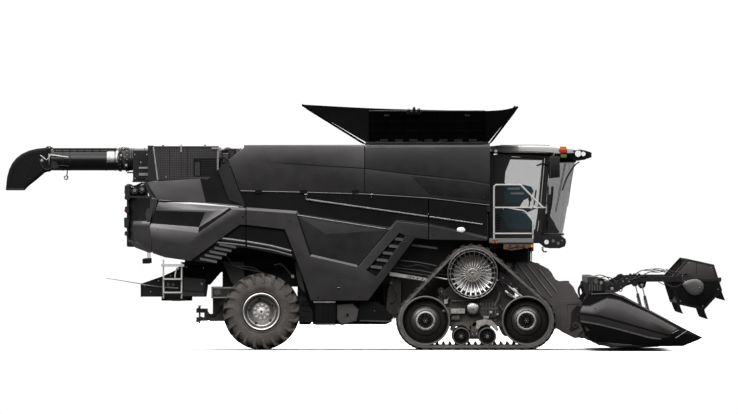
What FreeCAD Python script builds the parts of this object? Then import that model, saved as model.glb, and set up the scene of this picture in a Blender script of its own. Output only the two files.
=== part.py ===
import FreeCAD, Part
import math
import os

# Tracked combine harvester with a cutting header.
# Millimetres. +X is the driving direction, +Y the machine's left, +Z up.
# The origin is on the ground, under the middle of the whole machine's box.

V = FreeCAD.Vector
os.makedirs("parts", exist_ok=True)

# ---------------------------------------------------------------- driving sizes
PANEL_OUT = 1635.0        # outer face of the side panels
PANEL_IN = 1590.0         # inner face of the side panels
BAND_OUT = 1650.0         # face of the raised band on the side panels
TANK_OUT = 1622.0         # outer face of the upper tank panels
TANK_IN = 1565.0
TANK_LEFT_IN = 1062.0     # left tank wall, inboard of the stowed unloading tube
TANK_LEFT_OUT = 1110.0
CORE_HALF = 780.0         # half width of the threshing housing
RAIL_IN, RAIL_OUT = 380.0, 480.0

TRACK_IN, TRACK_OUT = 990.0, 1650.0
TRACK_MID = 1320.0
BELT_T = 90.0             # belt with its lugs
IDLER_R = 574.0           # outside of the belt round an idler
DRIVE_R = 588.0           # outside of the belt round the drive wheel
DRIVE_C = (2179.6, 1495.5)
REAR_IDLER_X = 1256.4
FRONT_IDLER_X = 3236
ROLLER_R = 176.0
ROLLER_X = (1956.1, 2469.6)

TYRE_R = 750.0
TYRE_HALF = 300.0
WHEEL_X = -1961.9
WHEEL_Y = 1320.0
KINGPIN_Y = 950.0
RIM_R = 366.0

FEEDER_C = (2893, 1666)
FEEDER_HALF = 700.0
FEEDER_R = 196.0

HEADER_HALF = 4600.0
HEADER_IN = 4450.0
AUGER_C = (4756.9, 653.7)
AUGER_R = 200.0
REEL_C = (6505.2, 1296.5)
REEL_BAR_R = 525.0
REEL_HALF = 4320.0
ARM_C = (4873.1, 1215.2)
ARM_IN, ARM_OUT = 4370.0, 4440.0

TUBE_Y = 1420.0
TUBE_R = 220.0
TUBE_Z = 3743.2
TUBE_PIVOT_X = 2212.4

CAB_HALF = 1000.0


# ---------------------------------------------------------------- helpers
def wire_of(points):
    return Part.makePolygon(points + [points[0]])


def prism_xz(pts, y0, y1):
    w = wire_of([V(x, y0, z) for x, z in pts])
    return Part.Face(w).extrude(V(0, y1 - y0, 0))


def prism_xy(pts, z0, z1):
    w = wire_of([V(x, y, z0) for x, y in pts])
    return Part.Face(w).extrude(V(0, 0, z1 - z0))


def prism_yz(pts, x0, x1):
    w = wire_of([V(x0, y, z) for y, z in pts])
    return Part.Face(w).extrude(V(x1 - x0, 0, 0))


def box(x0, x1, y0, y1, z0, z1):
    x0, x1 = sorted((x0, x1))
    y0, y1 = sorted((y0, y1))
    z0, z1 = sorted((z0, z1))
    return Part.makeBox(x1 - x0, y1 - y0, z1 - z0, V(x0, y0, z0))


def cyl_y(x, z, r, y0, y1):
    y0, y1 = sorted((y0, y1))
    return Part.makeCylinder(r, y1 - y0, V(x, y0, z), V(0, 1, 0))


def cyl_z(x, y, r, z0, z1):
    z0, z1 = sorted((z0, z1))
    return Part.makeCylinder(r, z1 - z0, V(x, y, z0), V(0, 0, 1))


def cyl_x(y, z, r, x0, x1):
    x0, x1 = sorted((x0, x1))
    return Part.makeCylinder(r, x1 - x0, V(x0, y, z), V(1, 0, 0))


def rod(a, b, r):
    a, b = V(*a), V(*b)
    d = b.sub(a)
    return Part.makeCylinder(r, d.Length, a, d)


def rod_path(points, r):
    solids = []
    for a, b in zip(points, points[1:]):
        solids.append(rod(a, b, r))
    for p in points[1:-1]:
        solids.append(Part.makeSphere(r, V(*p)))
    return fuse(solids)


def pipe(points, r, bend):
    """A bent tube: straight runs joined by arcs of radius bend."""
    P3 = [V(*p) for p in points]
    edges = []
    last = P3[0]
    for i in range(1, len(P3) - 1):
        a, b, c = P3[i - 1], P3[i], P3[i + 1]
        u, w = (a - b), (c - b)
        u.normalize()
        w.normalize()
        ang = math.acos(max(-1, min(1, u.dot(w))))
        t = bend / math.tan(ang / 2)
        p, q = b + u * t, b + w * t
        m = u + w
        m.normalize()
        centre = b + m * (bend / math.sin(ang / 2))
        mid = centre - m * bend
        edges.append(Part.LineSegment(last, p).toShape())
        edges.append(Part.Arc(p, mid, q).toShape())
        last = q
    edges.append(Part.LineSegment(last, P3[-1]).toShape())
    path = Part.Wire(edges)
    d = P3[1] - P3[0]
    ring = Part.Wire([Part.makeCircle(r, P3[0], d)])
    return path.makePipeShell([ring], True, True)


def fuse(shapes):
    shapes = [s for s in shapes if s is not None]
    if len(shapes) == 1:
        return shapes[0]
    return shapes[0].multiFuse(shapes[1:]).removeSplitter()


def group(shapes):
    out = []
    for s in shapes:
        out.extend(s.Solids)
    return Part.makeCompound(out)


def mirror(shape):
    return shape.mirror(V(0, 0, 0), V(0, 1, 0))


def both(shape):
    return group([shape, mirror(shape)])


def inset(pts, d):
    """The same outline moved inwards by d."""
    n = len(pts)
    area = sum(pts[i][0] * pts[(i + 1) % n][1] - pts[(i + 1) % n][0] * pts[i][1] for i in range(n))
    s = 1.0 if area > 0 else -1.0
    lines = []
    for i in range(n):
        x0, z0 = pts[i]
        x1, z1 = pts[(i + 1) % n]
        l = math.hypot(x1 - x0, z1 - z0)
        nx, nz = -(z1 - z0) / l * s, (x1 - x0) / l * s
        lines.append((nx, nz, nx * x0 + nz * z0 + d))
    out = []
    for i in range(n):
        a, b, c = lines[i - 1]
        e, f, g = lines[i]
        det = a * f - b * e
        if abs(det) < 1e-6:
            x, z = pts[i]
            out.append((x + a * d, z + b * d))
        else:
            out.append(((c * f - b * g) / det, (a * g - c * e) / det))
    return out


def pillow(pts, y0, y1, d):
    """A plate whose outline shrinks by d from y0 to y1, so that its edges are bevelled."""
    a = wire_of([V(x, y0, z) for x, z in pts])
    b = wire_of([V(x, y1, z) for x, z in inset(pts, d)])
    return Part.makeLoft([a, b], True, True)


def pillow_at(pts, y0, d0, y1, d1):
    a = wire_of([V(x, y0, z) for x, z in (inset(pts, d0) if d0 else pts)])
    b = wire_of([V(x, y1, z) for x, z in (inset(pts, d1) if d1 else pts)])
    return Part.makeLoft([a, b], True, True)


def loop_xz(circles, y0, y1):
    """A belt outline round circles (x, z, r) given clockwise as seen with x right and z up."""
    n = len(circles)
    edges = []
    pts = []
    for i in range(n):
        x0, z0, r0 = circles[i]
        x1, z1, r1 = circles[(i + 1) % n]
        dx, dz = x1 - x0, z1 - z0
        dist = math.hypot(dx, dz)
        base = math.atan2(dz, dx)
        off = math.acos((r0 - r1) / dist)
        a = base + off
        pts.append(((x0 + r0 * math.cos(a), z0 + r0 * math.sin(a)), (x1 + r1 * math.cos(a), z1 + r1 * math.sin(a)), a))
    for i in range(n):
        p, q, a = pts[i]
        edges.append(Part.LineSegment(V(p[0], y0, p[1]), V(q[0], y0, q[1])).toShape())
        x1, z1, r1 = circles[(i + 1) % n]
        a2 = pts[(i + 1) % n][2]
        while a2 > a:
            a2 -= 2 * math.pi
        while a2 < a - 2 * math.pi:
            a2 += 2 * math.pi
        m = (a + a2) / 2
        s = pts[(i + 1) % n][0]
        edges.append(Part.Arc(V(q[0], y0, q[1]), V(x1 + r1 * math.cos(m), y0, z1 + r1 * math.sin(m)),
                              V(s[0], y0, s[1])).toShape())
    w = Part.Wire(Part.__sortEdges__(edges))
    return Part.Face(w).extrude(V(0, y1 - y0, 0))


def lathe_y(profile, x, z):
    """Turn a profile of (radius, y) points about the Y line through (x, z)."""
    w = wire_of([V(x, y, z + r) for r, y in profile])
    return Part.Face(w).revolve(V(x, 0, z), V(0, 1, 0), 360)


def save(name, shape):
    solids = shape.Solids
    if not solids:
        raise ValueError(name + " has no solid")
    for s in solids:
        if not s.isValid():
            raise ValueError(name + " is not valid")
    out = solids[0] if len(solids) == 1 else Part.makeCompound(solids)
    out.exportStep("parts/" + name + ".step")
    print(name, len(solids), round(sum(s.Volume for s in solids) / 1e9, 4))


# ---------------------------------------------------------------- threshing housing and frame
core = prism_xz([(-4143.4, 1940.4), (-3986.6, 2606.8), (2442.2, 2665.6), (2442.2, 1901.2), (2667.6, 1901.2), (2667.6, 1254.4), (2293.2, 1203.4), (2246.2, 627.2), (2167.8, 548.8), (835, 548.8), (709.6, 646.8), (709.6, 1117.2), (-615.4, 1097.6), (-850.6, 980), (-850.6, 1724.8), (-3359.4, 1764)], -CORE_HALF, CORE_HALF)
save("thresher_housing", core)

frame = []
for s in (-1, 1):
    frame.append(box(-2732.2, -850.6, s * RAIL_IN, s * RAIL_OUT, 1234.8, 1724.8))
frame.append(box(-2947.8, -2379.4, -RAIL_OUT, RAIL_OUT, 1019.2, 1234.8))
frame.append(box(-2418.6, -2065.8, -RAIL_IN - 5, RAIL_IN + 5, 1176, 1568))
frame.append(box(-2124.6, -1791.4, -RAIL_OUT, RAIL_OUT, 1019.2, 1234.8))
frame.append(box(-2105, -1820.8, -260, 260, 850, 1019.2))
frame.append(box(-1242.6, -1046.6, -RAIL_OUT, RAIL_OUT, 980, 1234.8))
for s in (-1, 1):
    frame.append(prism_xz([(-1242.6, 1724.8), (-1213.2, 1724.8), (-929, 980), (-929, 627.2), (-1007.4, 490), (-1223, 490), (-1262.2, 980)], s * 480, s * 500))
frame_low = fuse(frame)

bulk = []
for s in (-1, 1):
    y0, y1 = s * CORE_HALF, s * 1583.0
    bulk.append(box(-2289.2, -2273.6, y0, y1, 2038.4, 2783.2))
    bulk.append(box(1332.8, 1348.5, y0, y1, 2156, 2626.4))
    bulk.append(box(2461.8, 2481.4, y0, y1, 2156, 2665.6))
    bulk.append(prism_xz([(-2869.4, 1734.6), (-2477.4, 2030.6), (-2261.8, 2030.6), (-1379.8, 1854.2), (-1262.2, 1752.2), (-1262.2, 1732.6), (-1387.6, 1830.6), (-2261.8, 2007), (-2465.6, 2007), (-2849.8, 1720.9)], y0, y1))
    # wide front axle housing and the brackets that carry the feeder house
    bulk.append(cyl_y(DRIVE_C[0], DRIVE_C[1], 180, s * CORE_HALF, s * 1005.0))
    bulk.append(prism_xz([(2667.6, 1803.2), (2893, 1852.2), (3030.2, 1764), (3030.2, 1568), (2893, 1479.8), (2667.6, 1372)], s * 722, s * CORE_HALF).cut(
        cyl_y(FEEDER_C[0], FEEDER_C[1], 66, s * 700, s * 800)))
    # brackets of the lift cylinders
    for yy in (466, 626):
        bulk.append(prism_xz([(2324.6, 1201.5), (2667.6, 1254.4), (2667.6, 1176), (2618.6, 646.8), (2540.2, 607.6), (2461.8, 646.8)], s * yy, s * (yy + 26)).cut(
            cyl_y(2540.2, 725.2, 28, s * 400, s * 700)))
# cab mount beam above the feeder house
bulk.append(fuse([box(2446.1, 3383, -700, 700, 1932.6, 2095.2),
                  box(2446.1, 2665.6, -700, 700, 1903.2, 2095.2)]))
save("chassis_frame", group([frame_low] + bulk))

# ---------------------------------------------------------------- rear axle, steering, wheels
ax = [box(WHEEL_X - 100, WHEEL_X + 100, -690, 690, 650, 850), box(WHEEL_X - 58, WHEEL_X + 58, -815, 815, 655, 845)]
for s in (-1, 1):
    for z0, z1 in ((590, 640), (860, 910)):
        arm = fuse([box(WHEEL_X - 55, WHEEL_X + 55, s * 760, s * KINGPIN_Y, z0, z1),
                    cyl_z(WHEEL_X, s * KINGPIN_Y, 58, z0, z1)])
        ax.append(arm.cut(cyl_z(WHEEL_X, s * KINGPIN_Y, 31, z0 - 5, z1 + 5)))
    ax.append(box(WHEEL_X - 55, WHEEL_X + 55, s * 760, s * 815, 590, 910))
ax.append(box(WHEEL_X - 170, WHEEL_X - 100, -420, 420, 700, 790))
save("rear_axle", fuse(ax))

for side, s in (("right", -1), ("left", 1)):
    k = [box(WHEEL_X - 75, WHEEL_X + 75, s * 885, s * 1005, 646, 854),
         cyl_z(WHEEL_X, s * KINGPIN_Y, 30, 590, 910),
         cyl_y(WHEEL_X, TYRE_R, 75, s * 1000, s * 1300),
         prism_xy([(WHEEL_X - 75, s * 890), (WHEEL_X - 75, s * 960), (WHEEL_X - 330, s * 850), (WHEEL_X - 330, s * 800)], 700, 750)]
    save("knuckle_" + side, fuse(k))
    yc = s * WHEEL_Y
    # rim: barrel with flanges, a disc set inwards and a hub
    def yy(v):
        return yc + s * v
    rim = lathe_y([(340, yy(-275)), (RIM_R, yy(-275)), (RIM_R, yy(-262)), (352, yy(-250)), (344, yy(-150)), (330, yy(-110)),
                   (330, yy(150)), (346, yy(190)), (352, yy(248)), (RIM_R, yy(262)), (RIM_R, yy(275)), (345, yy(275)),
                   (333, yy(235)), (318, yy(180)), (316, yy(150)), (230, yy(95)), (150, yy(105)), (150, yy(150)), (95, yy(165)), (95, yy(230)), (0, yy(235)),
                   (0, yy(30)), (150, yy(30)), (150, yy(75)), (225, yy(65)), (312, yy(118)), (312, yy(-110)), (330, yy(-160))], WHEEL_X, TYRE_R)
    save("rim_" + side, rim)
    tyre = lathe_y([(RIM_R + 1, yy(-270)), (RIM_R + 30, yy(-292)), (520, yy(-300)), (640, yy(-298)), (712, yy(-285)), (740, yy(-240)),
                    (TYRE_R, yy(-80)), (TYRE_R, yy(80)), (740, yy(240)), (712, yy(285)), (640, yy(298)), (520, yy(300)),
                    (RIM_R + 30, yy(292)), (RIM_R + 1, yy(270)), (RIM_R + 1, yy(235)), (RIM_R + 12, yy(225)), (560, yy(255)), (660, yy(245)),
                    (690, yy(200)), (700, yy(0)), (690, yy(-200)), (660, yy(-245)), (560, yy(-255)), (RIM_R + 12, yy(-225)), (RIM_R + 1, yy(-235))],
                   WHEEL_X, TYRE_R)
    save("tyre_" + side, tyre)

# ---------------------------------------------------------------- tow hitch
hx0, hx1 = -3241.8, -3045.8
hz = 676.2
jaw = box(-3251.6, -3026.2, -110, 110, 558.6, 803.6).cut(box(-3261.4, -3094.8, -120, 120, hz - 45, hz + 45))
jaw = jaw.cut(cyl_z(-3186.9, 0, 20, 529.2, 842.8))
hitch = [jaw, box(-3028.2, -2065.8, -70, 70, 568.4, 699.7), box(-2928.2, -2653.8, -55, 55, 697.8, 1019.2),
         box(-2203, -2065.8, -70, 70, 568.4, 852.6)]
save("tow_hitch", fuse(hitch).cut(box(WHEEL_X - 170.5, WHEEL_X + 200, -500, 500, 500, 1000)))

# ---------------------------------------------------------------- straw chopper and spreader
chop = [prism_xz([(-3535.8, 1718.9), (-2967.4, 1685.6), (-3055.6, 1038.8), (-3535.8, 1038.8)], -740, 740),
        prism_xz([(-4339.4, 1293.6), (-3888.6, 1450.4), (-3594.6, 1587.6), (-3535.8, 1646.4), (-3535.8, 1038.8), (-4339.4, 1038.8)], -700, 700)]
for s in (-1, 1):
    chop.append(cyl_z(-3633.8, s * 340, 300, 960.4, 1048.6))
chop.append(box(-3477, -3045.8, -300, 300, 1695.4, 1773.8))
chop = fuse(chop).cut(prism_xz([(-4378.6, 1244.6), (-3888.6, 1401.4), (-3633.8, 1509.2), (-3633.8, 1068.2), (-4378.6, 1068.2)], -660, 660))
save("straw_chopper", chop.cut(core))

lad = [rod((-3880.8, -1555, 1009.4), (-3880.8, -1555, 1771.8), 16), rod((-3524, -1555, 1009.4), (-3524, -1555, 1728.7), 16)]
for rung in (1646.4, 1391.6, 1127):
    lad.append(box(-3880.8, -3524, -1610, -1500, rung - 14, rung + 14))
lad.append(box(-3927.8, -3477, -1575, -1535, 1636.6, 1685.6))
lad.append(box(-3751.4, -3653.4, -1535, -735, 1638.6, 1681.7))
save("rear_ladder", fuse(lad))

# ---------------------------------------------------------------- side boxes low down between wheel and track
sb = []
for s in (-1, 1):
    b1 = box(-901.6, -505.6, s * 1010, s * 1560, 490, 948.6)
    br = prism_xz([(-497.8, 901.6), (-164.6, 931), (-37.2, 803.6), (-76.4, 558.6), (-399.8, 480.2), (-497.8, 588)], s * 1180, s * 1500).cut(
        cyl_y(-282.2, 686, 32, s * 1170, s * 1510))
    b2 = prism_xz([(-31.3, 940.8), (325.4, 940.8), (619.4, 666.4), (580.2, 539), (51, 558.6), (-62.7, 558.6)], s * 1050, s * 1480)
    arm = box(-772.2, -27.4, s * CORE_HALF, s * 1010.2, 588, 921.2)
    top = box(-842.8, 90.2, s * CORE_HALF, s * 1480, 950.6, 989.8)
    sb.append(fuse([b1, arm, top]))
    sb.append(br)
    sb.append(b2)
save("side_boxes", group(sb))

# ---------------------------------------------------------------- tracks
outer = [(REAR_IDLER_X, IDLER_R, IDLER_R), (DRIVE_C[0], DRIVE_C[1], DRIVE_R), (FRONT_IDLER_X, IDLER_R, IDLER_R)]
inner = [(x, z, r - BELT_T) for x, z, r in outer]
belt = loop_xz(outer, TRACK_IN, TRACK_OUT).cut(loop_xz(inner, TRACK_IN - 5, TRACK_OUT + 5))
save("track_belts", both(belt))

hub_r = 150.0
drive_r = DRIVE_R - BELT_T - 0.6
dw = lathe_y([(drive_r - 34, 1640), (drive_r, 1640), (drive_r, 1400), (430, 1398), (430, 1242), (drive_r, 1240), (drive_r, 1000), (drive_r - 40, 1000),
              (drive_r - 60, 1200), (200, 1200), (200, 1008), (60, 1008), (60, 1500), (hub_r, 1500), (hub_r + 8, 1450), (drive_r - 70, 1420)], DRIVE_C[0], DRIVE_C[1])
save("drive_wheels", both(dw))

idler_r = IDLER_R - BELT_T - 0.6
idlers = []
for x in (REAR_IDLER_X, FRONT_IDLER_X):
    idlers.append(lathe_y([(idler_r - 30, 1640), (idler_r, 1640), (idler_r, 1400), (55, 1400), (55, 1240), (idler_r, 1240), (idler_r, 1000),
                           (idler_r - 30, 1000), (300, 1060), (90, 1060), (90, 1010), (0, 1010), (0, 1560), (90, 1560), (90, 1600), (190, 1600), (200, 1540), (320, 1480),
                           (idler_r - 60, 1500)], x, IDLER_R))
rz = BELT_T + ROLLER_R + 0.6
for x in ROLLER_X:
    idlers.append(lathe_y([(ROLLER_R - 30, 1640), (ROLLER_R, 1625), (ROLLER_R, 1400), (40, 1400), (40, 1240), (ROLLER_R, 1240), (ROLLER_R, 1010), (0, 1010),
                           (0, 1600), (60, 1600), (60, 1580), (ROLLER_R - 40, 1580)], x, rz))
save("track_wheels", both(group(idlers)))

tf = [box(REAR_IDLER_X, FRONT_IDLER_X, 1262, 1378, 505, 690)]
for x in (REAR_IDLER_X, FRONT_IDLER_X):
    tf.append(cyl_y(x, IDLER_R, 130, 1262, 1378))
tf.append(prism_xz([(1481.8, 627.2), (1501.4, 1038.8), (1677.8, 1215.2), (1913, 1313.2), (2442.2, 1313.2), (2697, 1352.4), (2834.2, 1293.6), (3010.6, 1117.2), (3010.6, 627.2)], 1262, 1378))
tf.append(cyl_y(DRIVE_C[0], DRIVE_C[1], 215, 1262, 1378))
tf.append(box(ROLLER_X[0] - 60, ROLLER_X[1] + 60, 1262, 1378, rz - 55, 560))
tfs = fuse(tf)
for x in (REAR_IDLER_X, FRONT_IDLER_X):
    tfs = tfs.cut(cyl_y(x, IDLER_R, 56, 1200, 1450))
for x in ROLLER_X:
    tfs = tfs.cut(cyl_y(x, rz, 41, 1200, 1450))
save("track_frames", both(tfs.cut(cyl_y(DRIVE_C[0], DRIVE_C[1], 436, 1200, 1450))))

# ---------------------------------------------------------------- grain tank
panel_pts = [(-2604.8, 3724), (-2242.2, 4018), (2520.6, 4027.8), (2520.6, 2849.8), (2383.4, 2881.2), (1344.6, 2991), (70.6, 3071.3), (-2389.2, 3136)]
tank_right = prism_xz(panel_pts, -TANK_OUT, -TANK_IN)
left_pts = [(-2508.8, 3488.8), (-2242.2, 3488.8), (2520.6, 3488.8), (2520.6, 2849.8), (2383.4, 2881.2), (1344.6, 2991), (70.6, 3071.3), (-2389.2, 3136)]
tank_left = prism_xz(left_pts, TANK_OUT - 57, TANK_OUT).cut(cyl_z(TUBE_PIVOT_X, TUBE_Y, 262, 2900, 3600))
save("tank_panels", group([tank_right, tank_left]))

hop = [box(2434.4, 2516.7, -TANK_IN, TANK_LEFT_OUT, 2714.6, 4018),
       box(-2301, -2238.3, -TANK_IN, TANK_LEFT_OUT, 2802.8, 4014.1),
       box(-2238.3, 2434.4, TANK_LEFT_IN, TANK_LEFT_OUT, 3038, 4018),
       box(-2238.3, 62.8, -TANK_IN, TANK_LEFT_IN, 3974.9, 4014.1),
       prism_yz([(-TANK_IN, 3136), (-300, 2724.4), (150, 2724.4), (TANK_LEFT_IN, 3077.2), (TANK_LEFT_OUT, 3077.2), (TANK_LEFT_OUT, 3038),
                 (160, 2671.5), (-310, 2671.5), (-TANK_IN, 3087)], -2238.3, 2434.4),
       # shelf that carries the stowed unloading tube's side
       box(-2238.3, 2434.4, TANK_LEFT_OUT, TANK_OUT - 58, 3038, 3073.3)]
# rims that carry the side covers' hinges
SIDE_Z = 4045.4 + 52
hop.append(box(145.1, 2418.7, TANK_LEFT_OUT - 36, TANK_LEFT_OUT - 4, 4014.1, SIDE_Z - 18))
save("grain_tank", group([fuse(hop), box(145.1, 2418.7, -1606, -1574, 4027.8, SIDE_Z - 18)]))

# tank covers, stored open: the end covers lean out fore and aft, the side covers lean outwards
rim_z = 4045.4
cov_len_r, cov_len_f, cov_len_s = 1456.0, 916.0, 770.0
ang_r = math.radians(148.2)
ang_f = math.radians(52.6)
lean = math.radians(40.0)


def end_cover(hx, hz, ang, length, y0, y1, t, lip):
    ux, uz = math.cos(ang), math.sin(ang)
    nx, nz = (-uz, ux) if ux < 0 else (uz, -ux)
    a = (hx + ux * 20, hz + uz * 20)
    b = (hx + ux * length, hz + uz * length)
    pts = [a, b, (b[0] + nx * t, b[1] + nz * t), (a[0] + nx * t, a[1] + nz * t)]
    s = prism_xz(pts, y0, y1)
    return fuse([s, cyl_y(hx, hz, 14, y0 + 200, y1 - 200), prism_xz([(hx, hz), a, pts[3], (hx + nx * 8, hz + nz * 8)], y0 + 200, y1 - 200)])


REAR_HINGE = (78.4, rim_z)
FRONT_HINGE = (2508.8, rim_z)
cover_rear = end_cover(REAR_HINGE[0], REAR_HINGE[1], ang_r, cov_len_r, -1500, 1000, 24, 0)
cover_front = end_cover(FRONT_HINGE[0], FRONT_HINGE[1], ang_f, cov_len_f, -1500, 1000, 24, 0)
save("cover_rear", cover_rear)
save("cover_front", cover_front)


def side_cover(hy, hz, s):
    uy, uz = s * math.sin(lean), math.cos(lean)
    ny, nz = s * math.cos(lean), -math.sin(lean)
    a = (hy + uy * 18, hz + uz * 18)
    b = (hy + uy * cov_len_s, hz + uz * cov_len_s)
    pts = [a, b, (b[0] + ny * 24, b[1] + nz * 24), (a[0] + ny * 24, a[1] + nz * 24)]
    body = prism_yz(pts, 141.2, 2422.6)
    return fuse([body, cyl_x(hy, hz, 14, 286.2, 2285.4), prism_yz([(hy, hz), a, pts[3], (hy + ny * 8, hz + nz * 8)], 286.2, 2285.4)])


save("cover_right", side_cover(-1590.0, SIDE_Z, -1))
save("cover_left", side_cover(TANK_LEFT_OUT - 20.0, SIDE_Z, 1))



# folding corner pieces between the covers
gus = []
for s, yb, tipy in ((-1, -1575.0, -1500.0), (1, TANK_LEFT_OUT - 35.0, 1000.0)):
    top_y = (-1590.0 if s < 0 else TANK_LEFT_OUT - 20.0) + s * math.sin(lean) * cov_len_s
    top_z = SIDE_Z + math.cos(lean) * cov_len_s
    for hx, ang, length, ex in ((REAR_HINGE[0], ang_r, cov_len_r, 105.9), (FRONT_HINGE[0], ang_f, cov_len_f, 2465.7)):
        p = V(hx + math.cos(ang) * length, tipy + s * 9, rim_z + math.sin(ang) * length)
        q = V(ex, top_y, top_z)
        o = V(ex, yb + s * 8, rim_z + 12)
        n = (p.sub(o)).cross(q.sub(o))
        n.normalize()
        o2, p2, q2 = o.add(n * 5), p.add(n * 5), q.add(n * 5)
        c = (o + p + q) * (1.0 / 3.0)
        sh = []
        for v in (o, p, q, o2, p2, q2):
            sh.append(c + (v - c) * 0.955)
        o, p, q, o2, p2, q2 = sh
        faces = [Part.Face(wire_of(w)) for w in ([o, p, q], [o2, q2, p2], [o, o2, p2, p], [p, p2, q2, q], [q, q2, o2, o])]
        sol = Part.Solid(Part.Shell(faces))
        if sol.Volume < 0:
            sol.reverse()
        gus.append(sol)
save("cover_gussets", group(gus))

# ---------------------------------------------------------------- engine, hood, radiator housing, rear cover
save("engine_block", fuse([box(-3633.8, -2320.6, -450, 450, 2943.9, 3234), box(-2732.2, -2320.6, -380, 380, 3234, 3861.2)]))
hood = []
hood.append(prism_xz([(-4192.4, 3273.2), (-4143.4, 3300.6), (-3163.4, 3359.4), (-2830.2, 3520.2), (-2595, 2940), (-2273.6, 2814.6), (-2301, 2795), (-3978.8, 2922.4)], -1612, -1566))
hood.append(prism_xz([(-4192.4, 3273.2), (-4143.4, 3300.6), (-3163.4, 3359.4), (-2889, 3469.2), (-2810.6, 3469.2), (-2595, 2940), (-2273.6, 2814.6), (-2301, 2795), (-3978.8, 2922.4)], 1566, 1612))
hood.append(box(-4006.2, -2303, -1566, 1566, 2893, 2940))
hood.append(box(-4159.1, -2830.2, -1566, 1566, 3273.2, 3308.5))
hood.append(prism_xz([(-4163, 3277.1), (-4123.8, 3277.1), (-3927.8, 2932.2), (-3986.6, 2912.6)], -1566, 1566))
shoulder = prism_xz([(-2818.4, 3535.8), (-2618.5, 3704.4), (-2399, 3128.2), (-2273.6, 2822.4), (-2273.6, 2814.6), (-2595, 2940)], TANK_IN + 2, TANK_IN + 46)
low_shoulder = prism_xz([(-2842, 3477), (-2536.2, 3477), (-2399, 3128.2), (-2273.6, 2822.4), (-2273.6, 2814.6), (-2595, 2940)], TANK_IN + 2, TANK_IN + 46)
save("engine_hood", fuse(hood + [mirror(shoulder), low_shoulder]))

rad = []
rad.append(prism_xz([(-4192.4, 4012.1), (-4072.8, 4012.1), (-4072.8, 3920), (-3986.6, 3324.2), (-3986.6, 3312.4), (-4192.4, 3312.4)], -1559, -1530))
rad.append(box(-4143.4, -2810.6, -1548, -1512, 3312.4, 3998.4))
rad.append(box(-4192.4, -4133.6, -1512, 1140, 3312.4, 3998.4))
rad.append(box(-4143.4, -2810.6, 1100, 1140, 3312.4, 3998.4))
rad.append(box(-4143.4, -2810.6, -1512, 1100, 3959.2, 3998.4))
rad.append(box(-2869.4, -2810.6, -1512, 1100, 3312.4, 3959.2))
save("radiator_housing", fuse(rad))

# rear cover: rounded in plan, cut to its side outline
xr = -4566.8
plan_out = []
R = 330.0
yo = PANEL_OUT
for a in range(0, 91, 10):
    t = math.radians(a)
    plan_out.append((xr + R * (1 - math.sin(t)), -(yo - R + R * math.cos(t))))
plan_half = [(-3947.4, -yo)] + plan_out
full = plan_half + [(x, -y) for x, y in reversed(plan_half)]
ti = 42.0
inner_half = [(-3947.4, -(yo - ti))]
for a in range(0, 91, 10):
    t = math.radians(a)
    inner_half.append((xr + ti + (R - ti) * (1 - math.sin(t)), -(yo - R + (R - ti) * math.cos(t))))
inner_full = inner_half + [(x, -y) for x, y in reversed(inner_half)]
z0, z1 = 1842.4, 3253.6
shell = prism_xy(full, z0, z1).cut(prism_xy(inner_full, z0 - 5, z1 + 5))
side = prism_xz([(-4613.8, 2979.2), (-4143.4, 2991), (-4027.8, 2971.4), (-3990.5, 2912.6), (-4161, 2430.4), (-4104.2, 1893.4), (-4143.4, 1889.4), (-4437.4, 1999.2), (-4594.2, 2136.4), (-4613.8, 2430.4)], -1700, 1700)
save("rear_cover", shell.common(side))

# ---------------------------------------------------------------- side panels and doors
rear_pts = [(-3974.8, 2900.8), (-2269.6, 2787.1), (-2269.6, 2003.1), (-2485.2, 2003.1), (-2908.6, 1693.4), (-3359.4, 1744.4), (-3849.4, 1815), (-4092.4, 1897.3), (-4147.3, 2430.4), (-3974.8, 2900.8)][:-1]
door_pts = [(-2254, 3108.6), (70.6, 3049.8), (1309.3, 2971.4), (1309.3, 2163.8), (1050.6, 2195.2), (129.4, 968.2), (-987.8, 968.2), (-1250.4, 1724.8), (-1360.2, 1815), (-2254, 1999.2)]
front_pts = [(1325, 2967.4), (2383.4, 2861.6), (2457.9, 2830.2), (2457.9, 2144.2), (1991.4, 2156), (1325, 2163.8)]
band_rear = [(-4131.6, 2422.6), (-3202.6, 2293.2), (-2536.2, 2755.8), (-2273.6, 2744), (-2273.6, 2457.8), (-2379.4, 2461.8), (-3347.6, 1756.2), (-3555.4, 1775.8), (-3849.4, 1826.7), (-4076.8, 1909)]
band_door = [(-2250, 2744), (-1281.8, 2677.4), (-1007.4, 1842.4), (-74.4, 1626.8), (697.8, 2520.6), (1305.4, 2446.1), (1305.4, 2179.5), (1050.6, 2207), (129.4, 980), (-976, 980), (-1234.8, 1717), (-1497.4, 2363.8), (-2250, 2453.9)]
band_front = [(1328.9, 2442.2), (1932.6, 2320.6), (2442.2, 2171.7), (2442.2, 2152.1), (1328.9, 2171.7)]

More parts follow.
